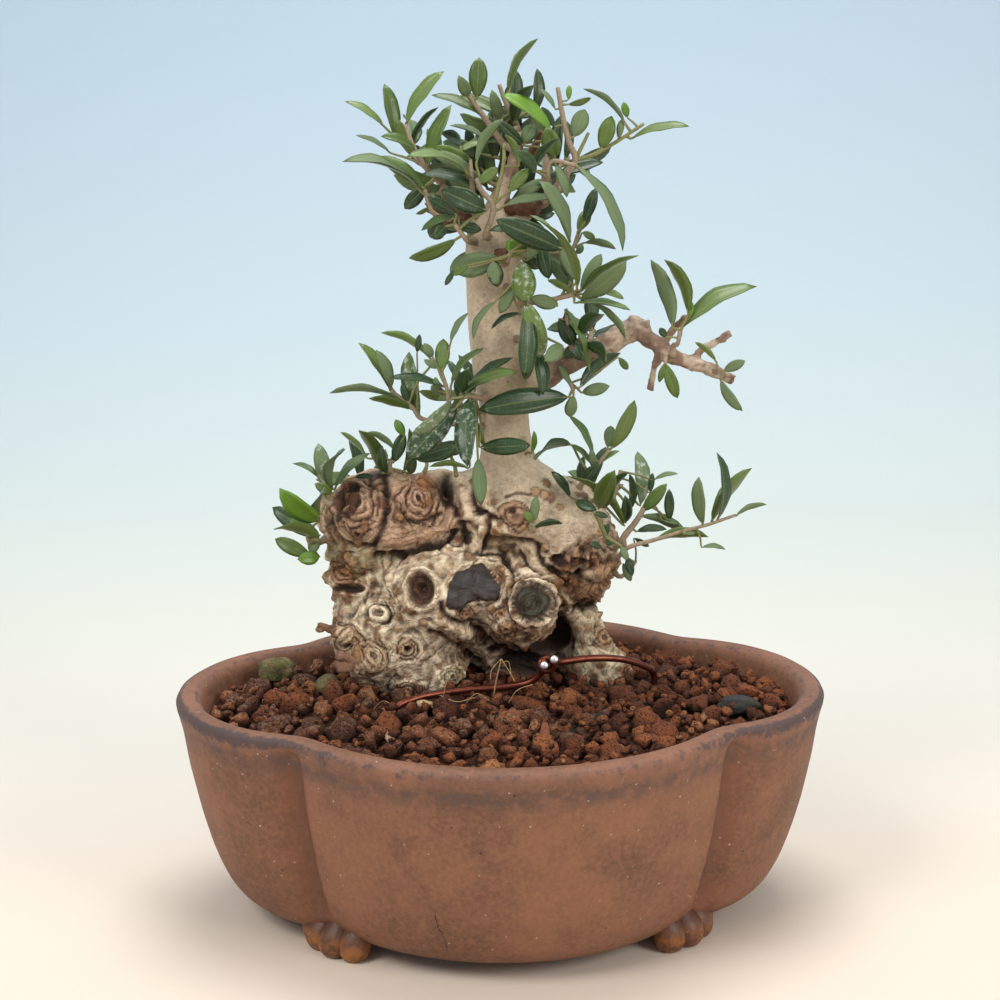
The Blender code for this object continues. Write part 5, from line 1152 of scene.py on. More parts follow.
def make_bark(skin_object):
    """Moves the skin out by the relief and gives it the colours, growth lines and trunk share."""
    mesh = skin_object.data
    points, normals = read_points(mesh)
    relief = Relief(points, normals)
    ground(relief)
    mark_back(relief)
    mark_front(relief)
    tints_and_foot_shade = seeded_warts(relief)
    slim = ease((relief.share(-0.5, 134.0, 8.8, 30.0) - 1.0) / 0.2) * ease((relief.z - 111.0) / 4.0)
    lines = -LINE_BLEND * np.log(relief.near)
    amount = burl_share(relief) * np.exp(-np.maximum(lines, 0.0) / 5.0)
    amount = amount * (1.0 - 0.8 * relief.zone(10.0, 93.0, 13.0, 9.0))
    waves = np.cos(2.0 * math.pi * (lines + 0.5 * noise(points, 2.4, 74, 2)) / WAVE)
    relief.height += amount * (0.19 * waves)
    stub = ease((-37.4 - relief.x) / 0.8) * ease((3.2 - np.abs(relief.z - 65.0)) / 0.6)
    relief.paint(BRANCH_BARK, slim)
    relief.paint(rgb(192, 172, 152), slim * ease(noise(points, 3.4, 76, 3) * 2.0))
    relief.paint(STUB_BROWN, stub)
    relief.paint(STUB_BROWN, 0.8 * ease((relief.x - 50.5) / 1.5) * slim)
    relief.paint(rgb(54, 46, 42), relief.zone(-27.2, 101.6, 3.0, 1.4, 0.8))
    rugged = 0.36 * noise(points, 2.2, 75, 3) - 0.35 * bell(noise(points, 3.0, 77, 2), 0.07)
    height = (1.0 - 0.65 * slim) * relief.height + slim * rugged
    moved = points + normals * height[:, None]
    paint_relief_shade_and_light(relief, mesh, moved)
    for near, mask, tone in tints_and_foot_shade:
        relief.colour[near] += (np.asarray(tone) - relief.colour[near]) * mask[:, None]
    mesh.vertices.foreach_set("co", (moved * MM).ravel())
    for name, values in (("bark_colour", relief.colour), ("lines", lines), ("line_amount", amount),
                         ("trunk", ease((relief.z - 97.0) / 6.0))):
        give(mesh, name, values)
    mesh.update()
    mesh.shade_smooth()


def search_tree(obj):
    """A tree of a mesh's faces, in metres, for finding the nearest or the first one hit."""
    mesh = obj.data
    points, _ = read_points(mesh)
    starts = fetch(mesh.polygons, "loop_start")
    faces = [f.tolist() for f in np.split(fetch(mesh.loops, "vertex_index"), starts[1:])]
    return BVHTree.FromPolygons((points * MM).tolist(), faces)


make_bark(wood)
bark_tree = search_tree(wood)

# %% [markdown]
# ### The bark's finish
#
# The colour comes with the points. The shader adds what is finer than the mesh: speckles, hair
# cracks and pores.

# %% Bark material
HAIRLINE = 0.9


def bark_finish():
    bark = Finish("bark")
    trunk = bark.read("trunk")
    colour = bark.read("bark_colour")
    grain = bark.noise(1.1, 6.0, 0.65)
    fleck = bark.noise(0.5, 3.0, 0.6).step(0.56, 0.72)
    stain = bark.noise(9.0, 5.0, 0.6).step(0.45, 0.75)
    phase = bark.read("lines") * (1.0 / HAIRLINE) + bark.noise(2.6, 4.0, 0.6) * 3.0
    line = (1 - phase.maths("PINGPONG", phase, 0.5).step(0.04, 0.22)) * bark.read("line_amount")
    darker = bark.node("ShaderNodeVectorMath", {"operation": "MULTIPLY"}, Vector=colour)
    darker.socket.node.inputs[1].default_value = (0.46, 0.36, 0.28)
    for share in ((grain - 0.40).clipped() * 1.6, line * 0.6, fleck * (1 - trunk * 0.6) * 0.45,
                  stain * 0.16):
        colour = bark.mix(share, colour, darker)
    cracks = bark.cells(1.4, "DISTANCE_TO_EDGE")
    relief = grain * 0.7 + cracks.step(0.0, 0.12) * (1 - trunk) * 0.25 + fleck * 0.3 - line * 0.5
    bump = bark.bump(relief, 0.45, 0.9)
    return bark.done(Base_Color=colour, Roughness=0.62 + grain * 0.3, Normal=bump)


bark = bark_finish()
dress(wood, bark, "bark", "wood")

# %% [markdown]
# ## Tie wire and stones
#
# One copper-coloured wire holds the root base. It comes up through the soil at the left, crosses
# the burl's foot, is twisted with its other end into a tight eye, and goes back into the soil at
# the right. Both ends are cut square, and the bare metal shows bright.

# %% Wire and stone tables
WIRE_RADIUS = 0.75
WIRE_UNDER = 2.4
# The wire as seen: x, z, front, from one cut end to the soil, and from the soil to the other end
WIRE_LEFT = (
    (10.2, 57.2, 7.5), (10, 56.2, 5), (9.6, 54.6, 3.6), (7, 52.2, 2.6), (0, 50.9, 2.4),
    (-7, 50.4, 3.6), (-13.5, 49.5, 5.4), (-19.5, 48.2, 8), (-24.5, 45.6, 11.2),
)
WIRE_RIGHT = (
    (35.5, 54.2, -6.5), (33, 56.2, -4.2), (28, 57.7, -1.5), (20.7, 57.9, 1),
    (15, 57.2, 3), (13, 57, 4.6), (12.6, 57.9, 7.2),
)
# Its way through the soil, the drain holes and under the pot's floor, in the pot's frame
WIRE_DOWN = (
    (-27.5, -7, 38), (-28, -2, 22), (-28, 0, 11), (-27.6, 0, 4.6),
    (-25.4, 0, WIRE_UNDER), (0, 0, WIRE_UNDER), (25.4, 0, WIRE_UNDER),
    (27.6, 0, 4.6), (28, 0, 11), (29.5, 2, 22), (34.5, 5.5, 38),
)
# Stones: x, z, front and radii
STONES = {
    "mossy_stone_1": (-52, 55, -14.3, 4.4, 3.8, 3.4),
    "mossy_stone_2": (-39.5, 51, -3.1, 3.0, 2.8, 2.6),
    "dark_stone": (55, 46.5, 6.0, 4.8, 3.6, 2.4),
}
STONE_SUNK = 0.55


def wire_route():
    return np.concatenate(([spot(*p) for p in WIRE_LEFT], WIRE_DOWN, [spot(*p) for p in WIRE_RIGHT]))

# %% [markdown]
# ## The soil
#
# Baked clay crumbs, sieved coarse, lie in a low mound up to the burl. Under them is one filled
# body. The crumbs are dropped on it one by one, the largest first: each comes to rest on the
# height map of what lies below it, sinks in a little and raises the map in its turn.

# %% Bed under the crumbs
SOIL_FLOOR = 10.7
SOIL_EDGE = 46.8
SOIL_TOP = 49.6
CRUMB_COVER = 1.7
# The bed's columns round the pot, its rings over the top, and how it meets the wall
BED_TURNS = 180
BED_RINGS = 44
BED_SHARE, BED_INSET = 0.984, 6.5
# Inner wall of the pot: height, share of the outline, and how far it stands in
WALL_INSIDE = ((SOIL_FLOOR, 0.86, 8.0), (13.0, 0.88, 7.4), (25.0, 0.935, 6.8), (SOIL_EDGE - 1.5, 0.99, 6.5))


def mound(x, y):
    """Height of the crumbs' tops: SOIL_EDGE at the wall, SOIL_TOP towards the middle."""
    edge = np.hypot(x, y) / outline(np.arctan2(y, x))
    return SOIL_EDGE + (SOIL_TOP - SOIL_EDGE) * ease((0.92 - edge) / 0.5)


def make_bed():
    """A closed body: the wall's rings, then rings that shrink over the top, k radius wide."""
    turn = turn_round(BED_TURNS)
    rings = [at_turn(outline(turn) * share - inset, turn, z) for z, share, inset in WALL_INSIDE]
    radius = outline(turn) * BED_SHARE - BED_INSET
    for k in np.linspace(1.0, 0.02, BED_RINGS):
        ring = at_turn(radius * k, turn, 0.0)
        ring[:, 2] = mound(*ring[:, :2].T) - CRUMB_COVER + 0.7 * noise(ring, 3.0, 71, 2)
        rings.append(ring)
    batch = Batch()
    # The bed takes the darkest crumb tone and a share of near black: painted shade in the gaps between the
    # crumbs.
    batch.add(*capped(rings, (0.0, 0.0, SOIL_FLOOR), (0.0, 0.0, SOIL_TOP - CRUMB_COVER)),
              crumb=0.1, crust=0.0, char=0.15)
    return batch.piece("soil_bed")


# %% [markdown]
# ### Crumbs
#
# A crumb starts as a cube's grid of points pushed out to a sphere: 24 faces for small crumbs,
# 54 for large ones. It is stretched, turned and made lumpy by seeded draws.

# %% Crumbs
CRUMB_SIZES = ((4.6, 3.2, 230), (3.2, 2.2, 620), (2.2, 1.3, 1300), (1.3, 0.6, 1500))
# Flat sides broken off each crumb, and the cell and half sizes of the height map
CHIPS = 5
MAP_CELL = 0.5
MAP_X, MAP_Y = 80.0, 65.0
# Crumbs fall on this half length and width, inside this share and inset of the pot's outline
FALL_X, FALL_Y = 70.0, 56.0
ROOM_SHARE, ROOM_INSET = 0.992, 6.3
# How far a crumb sinks in, as a share of its radius, and how far one may stand over the mound
SINK, HEAP = 0.25, 2.6


def cube_sphere(cuts):
    """Points and faces of a cube, `cuts` squares along an edge, with every point at radius 1."""
    lattice = {}
    faces = []
    for axis in range(3):
        for end in (0, cuts):
            for i, j in np.ndindex(cuts, cuts):
                face = []
                for a, b in ((i, j), (i + 1, j), (i + 1, j + 1), (i, j + 1)):
                    key = [a, b]
                    key.insert(axis, end)
                    face.append(lattice.setdefault(tuple(key), len(lattice)))
                inward = (end == 0) ^ (axis == 1)
                faces.append(face[::-1] if inward else face)
    points = np.array(list(lattice), float) * (2.0 / cuts) - 1.0
    return unit(np.tan(points * 0.7)), np.array(faces)


def turns(count, draws):
    """Random rotation matrices, from unit quaternions."""
    w, x, y, z = unit(draws.normal(size=(count, 4))).T
    rows = (1 - 2 * (y * y + z * z), 2 * (x * y - z * w), 2 * (x * z + y * w),
            2 * (x * y + z * w), 1 - 2 * (x * x + z * z), 2 * (y * z - x * w),
            2 * (x * z - y * w), 2 * (y * z + x * w), 1 - 2 * (x * x + y * y))
    return np.stack(rows, axis=-1).reshape(count, 3, 3)


def keep_out(places, radii):
    """True for crumbs that would sit inside the wood, a stone or the tie wire."""
    inside = wood_gap(places) < -0.3 * radii
    for x, z, front, rx, ry, rz in STONES.values():
        centre = spot(x, z, front)
        inside |= np.linalg.norm((places - centre) / (rx, ry, rz * 0.8), axis=1) < 1.0
    line = along(wire_route(), 1.0)
    line = line[line[:, 2] > SOIL_EDGE - 0.8]
    away = np.linalg.norm(places[:, None] - line[None], axis=2).min(axis=1)
    return inside | (away < radii * 0.8 + WIRE_RADIUS)


def drop_crumbs():
    """Centres and radii of the crumbs: each rests at the highest of map + sqrt(r^2 - d^2)."""
    draws = np.random.default_rng(11)
    grid_x, grid_y = (np.arange(-half, half, MAP_CELL) for half in (MAP_X, MAP_Y))
    heights = mound(*np.meshgrid(grid_x, grid_y, indexing="ij")) - CRUMB_COVER - 0.3
    places, radii = [], []
    for large, least, count in CRUMB_SIZES:
        x = draws.uniform(-FALL_X, FALL_X, 4 * count)
        y = draws.uniform(-FALL_Y, FALL_Y, 4 * count)
        r = least + (large - least) * draws.random(4 * count) ** 1.6
        room = outline(np.arctan2(y, x)) * ROOM_SHARE - ROOM_INSET - r
        inside = np.hypot(x, y) < room
        for px, py, pr in list(zip(x[inside], y[inside], r[inside]))[:count]:
            i, j = int((px - pr + MAP_X) / MAP_CELL), int((py - pr + MAP_Y) / MAP_CELL)
            n = int(2 * pr / MAP_CELL) + 2
            near = heights[i:i + n, j:j + n]
            square = pr ** 2 - (grid_x[i:i + n, None] - px) ** 2 - (grid_y[None, j:j + n] - py) ** 2
            rise = np.sqrt(np.maximum(square, 0.0))
            z = np.where(square > 0.0, near + 0.75 * rise, -9.0).max() - SINK * pr
            if z + 0.7 * pr > mound(px, py) + HEAP:
                continue
            heights[i:i + n, j:j + n] = np.where(square > 0.0, np.maximum(near, z + 0.85 * rise), near)
            places.append((px, py, z))
            radii.append(pr)
    places, radii = np.array(places), np.array(radii)
    free = ~keep_out(places, radii)
    return places[free], radii[free]


def make_crumbs(name, places, radii, cuts, seed):
    """Each crumb: centre + turn (sphere * lumps, chipped flat on some sides, * stretch)."""
    draws = np.random.default_rng(seed)
    shape, faces = cube_sphere(cuts)
    count = len(places)
    stretch = radii[:, None] * draws.uniform(0.62, 1.22, (count, 3))
    local = shape[None] * (1.0 + draws.uniform(-0.2, 0.2, (count, len(shape), 1)))
    for chip in range(CHIPS):
        side = unit(draws.normal(size=(count, 1, 3)))
        over = np.sum(local * side, axis=-1, keepdims=True) - draws.uniform(0.45, 0.85, (count, 1, 1))
        local -= np.maximum(over, 0.0) * side
    local *= 1.12 * stretch[:, None]
    points = places[:, None] + np.einsum("nij,nkj->nki", turns(count, draws), local)
    tone = np.repeat(draws.random(count), len(shape))
    crust = noise(places, 26.0, 73, 2) * 0.5 + draws.uniform(-0.5, 0.5, count) - places[:, 0] / 70.0
    charred = (draws.random(count) < 0.014) & (places[:, 0] > 2.0)
    batch = Batch()
    all_faces = faces[None] + np.arange(count)[:, None, None] * len(shape)
    batch.add(points.reshape(-1, 3), all_faces.reshape(-1, 4), crumb=tone,
              crust=np.repeat(ease(crust * 1.4 - 0.1), len(shape)),
              char=np.repeat(charred.astype(float), len(shape)))
    return batch.piece(name)


# %% [markdown]
# ### Their finish
#
# The clay is red-brown and full of pores, whose holes are painted dark as shade, and its sides
# that face down are painted dark as shade. A few crumbs are charred, and where the water dries,
# at the left, pale lime crusts their tops.

# %% Soil material
def soil_finish():
    """Baked clay by the crumb's tone, then pores painted dark as shade, pale grit, charring and the bed's
    painted shade, painted shade on undersides, and lime.
    """
    soil = Finish("baked soil")
    tone, crust, char = soil.read("crumb"), soil.read("crust"), soil.read("char")
    clay = soil.node("ShaderNodeValToRGB", {"stops": (
        (0.0, rgb(86, 42, 20)), (0.5, rgb(138, 73, 35)), (0.85, rgb(170, 96, 50)),
        (1.0, rgb(192, 128, 78)))}, Fac=tone)
    coarse, fine = soil.noise(1.5, 5.0, 0.65), soil.noise(0.45, 4.0, 0.7)
    pit = 1 - soil.cells(0.7).step(0.12, 0.42)
    up = soil.part("Z", soil.node("ShaderNodeTexCoord", out="Normal"))
    lime = crust * up.step(0.1, 0.8) * soil.noise(0.8, 5.0, 0.75).step(0.46, 0.60)
    colour = soil.layers(
        clay,
        ((coarse - 0.3).clipped() * 1.6, soil.mix(0.7, clay, (0.045, 0.014, 0.005))),
        # Painted shade in the pores.
        (pit * 0.55, (0.028, 0.010, 0.005)),
        (fine.step(0.54, 0.72) * 0.5, (0.40, 0.17, 0.065)),
        # Charred crumbs, and painted shade on the bed between the crumbs.
        (char, (0.030, 0.021, 0.015)),
        # Painted shade on the sides that face down.
        ((1 - up.step(-0.4, 0.75)) * 0.62, (0.022, 0.008, 0.004)),
        (lime * 0.5, (0.45, 0.32, 0.21)))
    bump = soil.bump(coarse * 0.9 + fine * 0.5 - pit * 0.7, 1.3)
    return soil.done(Base_Color=colour, Roughness=0.92, Normal=bump)


LARGE_CRUMB = 2.1


def make_soil():
    soil = soil_finish()
    dress(make_bed(), soil, "baked_soil", "soil")
    places, radii = drop_crumbs()
    large = radii > LARGE_CRUMB
    for name, keep, cuts, seed in (("soil_crumbs_large", large, 3, 5),
                                   ("soil_crumbs_small", ~large, 2, 6)):
        dress(make_crumbs(name, places[keep], radii[keep], cuts, seed), soil, "baked_soil")


make_soil()

# %% [markdown]
# ### Wire, stones and paste, in full
#
# The wire is one tube along its whole route, and its twist is a short helix round the two cut
# ends. A stone is a finely divided cube's sphere with noise. The paste is draped: rays from the
# eye find the bark under it, and its thickness falls off smoothly to a torn rim.

# %% Wire
WIRE_THICK = 0.82
# The twist as seen: its middle, half width and half height, and how far forward it starts
TWIST = (10.9, 56.4)
TWIST_WIDE, TWIST_HIGH, TWIST_FRONT = 1.55, 1.45, 3.4
WIRE_ENDS = ((10.2, 56.2), (12.5, 57.6))
# Fronts and radii along a cut end and along its bare face
END_STOPS = ((4.0, 6.0, 8.0, 8.3), (0.8, 0.95, 1.02, 1.0))
FACE_STOPS = ((8.32, 8.6, 8.75), (0.97, 0.8, 0.25))


def make_wire():
    """A tube along the route, an oval helix for the twist, and two ends that point forward."""
    batch = Batch()
    turn = np.linspace(0.0, 2.7 * math.pi, 60)
    twist = spot(TWIST[0] + TWIST_WIDE * np.cos(turn), TWIST[1] + TWIST_HIGH * np.sin(turn),
                 TWIST_FRONT + 1.15 * turn / math.pi)
    for path in (rounded(wire_route(), 0.9), twist):
        batch.add(*tube(path, WIRE_THICK, 14), bare=0.0)
    for x, z in WIRE_ENDS:
        for (fronts, radii), bare in ((END_STOPS, 0.0), (FACE_STOPS, 1.0)):
            batch.add(*tube(spot(x, z, np.array(fronts)), radii, 18), bare=bare)
    return batch.piece("tie_wire_fine")


def wire_finish():
    wire = Finish("wire")
    bare = wire.read("bare")
    worn = wire.noise(2.5, 4.0, 0.6)
    colour = wire.layers(
        rgb(132, 74, 58), (worn.step(0.45, 0.7), rgb(88, 44, 36)), (bare, (0.86, 0.86, 0.88)))
    return wire.done(Base_Color=colour, Metallic=0.9, Roughness=0.30 + worn * 0.2,
                     Normal=wire.bump(worn, 0.08, 0.5))


dress(make_wire(), wire_finish(), "wire_metal", "tie_wire")

# %% Stones
def make_stone(name, x, z, front, rx, ry, rz):
    """A sphere of radius 1 + noise, its foot cut level where it sinks in the soil."""
    shape, faces = cube_sphere(16)
    seed = int(abs(x))
    swell = 1.0 + 0.22 * noise(shape, 1.0, seed, 2) + 0.06 * noise(shape, 0.3, seed + 5, 3)
    shape = shape * swell[:, None]
    shape[:, 2] = np.maximum(shape[:, 2], -STONE_SUNK)
    batch = Batch()
    batch.add(spot(x, z, front) + shape * (rx, ry, rz) * 0.97, faces)
    return batch.piece(name + "_fine")


def stone_finish(name, dry, damp, moss, cover, wet):
    stone = Finish(name)
    wide, fine = stone.noise(3.0, 5.0, 0.65), stone.noise(0.5, 4.0, 0.7)
    colour = stone.layers(
        dry,
        (wide.step(0.4, 0.62), damp),
        (stone.noise(2.2, 5.0, 0.7).step(0.44, 0.62) * cover, moss),
        ((fine - 0.4).clipped() * 1.6, (0.03, 0.026, 0.015)))
    bump = stone.bump(wide * 0.5 + fine, 0.6)
    return stone.done(Base_Color=colour, Roughness=0.9 - wet * 0.35, Normal=bump)


mossy = stone_finish("mossy stone", rgb(150, 132, 92), rgb(98, 84, 54), rgb(98, 110, 42), 0.75, 0.0)
slate = stone_finish("dark stone", rgb(50, 44, 36), rgb(28, 24, 19), rgb(44, 46, 26), 0.6, 1.0)
for name, row in STONES.items():
    dark = name == "dark_stone"
    dress(make_stone(name, *row), slate if dark else mossy, "slate_stone" if dark else "moss_stone", name)

# %% Wound paste
PASTE_OUTLINE = (
    (-8, 79), (-6.2, 80.3), (-4, 80.5), (-2.4, 79), (-2, 77.4), (0, 75.4), (0.1, 73.6),
    (-0.6, 72), (-3, 71.6), (-5, 71.9), (-7, 71), (-8.4, 70.2), (-9, 68.9), (-10.4, 69.6),
    (-11.8, 69.4), (-12.5, 71), (-12, 74), (-11.4, 76.2), (-9.6, 78.6),
)
PASTE_LAYERS = np.array((0.0, 0.3, 0.55, 0.75, 0.88, 0.95, 0.985, 1.0))
PASTE_THICK = 1.15


def bark_under(x, z):
    """Where rays from the eye through x, z meet the bark."""
    starts = spot(x, z, 60.0)
    ahead = unit(spot(x, z, 0.0) - starts)
    hits = [bark_tree.ray_cast(Vector(s * MM), Vector(a))[0] for s, a in zip(starts, ahead)]
    return np.array(hits, float) / MM, ahead


def make_paste():
    """Rings of the outline cast on the bark, lifted by PASTE_THICK (1 - s^8) plus fine noise."""
    rim = along(PASTE_OUTLINE + PASTE_OUTLINE[:1], 0.32)[:-1]
    rim = rim + 0.16 * swirl(np.column_stack((rim, 0 * rim[:, 0])), 0.9, (81, 82), 2)
    middle = rim.mean(axis=0)
    count = len(rim)
    flat = middle + (rim - middle)[None] * PASTE_LAYERS[:, None, None]
    hits, ahead = bark_under(flat[..., 0].ravel(), flat[..., 1].ravel())
    share = np.repeat(PASTE_LAYERS, count)
    relief = 0.16 * noise(hits, 1.2, 83, 3) + 0.40 * noise(hits, 4.0, 84)
    lift = 0.25 + PASTE_THICK * (1.0 - share ** 8) + relief * (1.0 - share ** 20)
    front = (hits - ahead * lift[:, None]).reshape(len(PASTE_LAYERS), count, 3)
    back = (hits + ahead * 0.4).reshape(len(PASTE_LAYERS), count, 3)
    batch = Batch()
    batch.add(*capped(np.concatenate((front[1:], back[:0:-1])), front[0, 0], back[0, 0]))
    return face_out(batch.piece("wound_paste_fine"))


def face_out(piece):
    """Turns the faces outward where a shape was built the other way round."""
    shape = bmesh.new()
    shape.from_mesh(piece.data)
    bmesh.ops.recalc_face_normals(shape, faces=shape.faces)
    shape.to_mesh(piece.data)
    shape.free()
    return piece


def paste_finish():
    paste = Finish("wound paste")
    wide, fine = paste.noise(2.4, 5.0, 0.65), paste.noise(0.4, 4.0, 0.7)
    colour = paste.layers(
        rgb(54, 47, 45),
        (wide.step(0.4, 0.65), rgb(80, 72, 69)),
        (fine.step(0.6, 0.75) * 0.4, rgb(122, 114, 108)),
        (paste.noise(1.0, 3.0).step(0.66, 0.7) * 0.5, rgb(34, 30, 30)))
    return paste.done(Base_Color=colour, Roughness=0.55, Normal=paste.bump(wide + fine * 0.5, 0.25, 0.8))


dress(make_paste(), paste_finish(), "paste", "wound_paste")

# %% Drain meshes
grid = Finish("drain mesh")
tinted = grid.mix(grid.noise(4.0, 3.0).step(0.4, 0.7), rgb(42, 50, 44), rgb(58, 62, 52))
grid_material = grid.done(Base_Color=tinted, Roughness=0.6)
for name in ("drain_mesh_left", "drain_mesh_right"):
    bpy.data.objects[name].data.materials[0] = grid_material
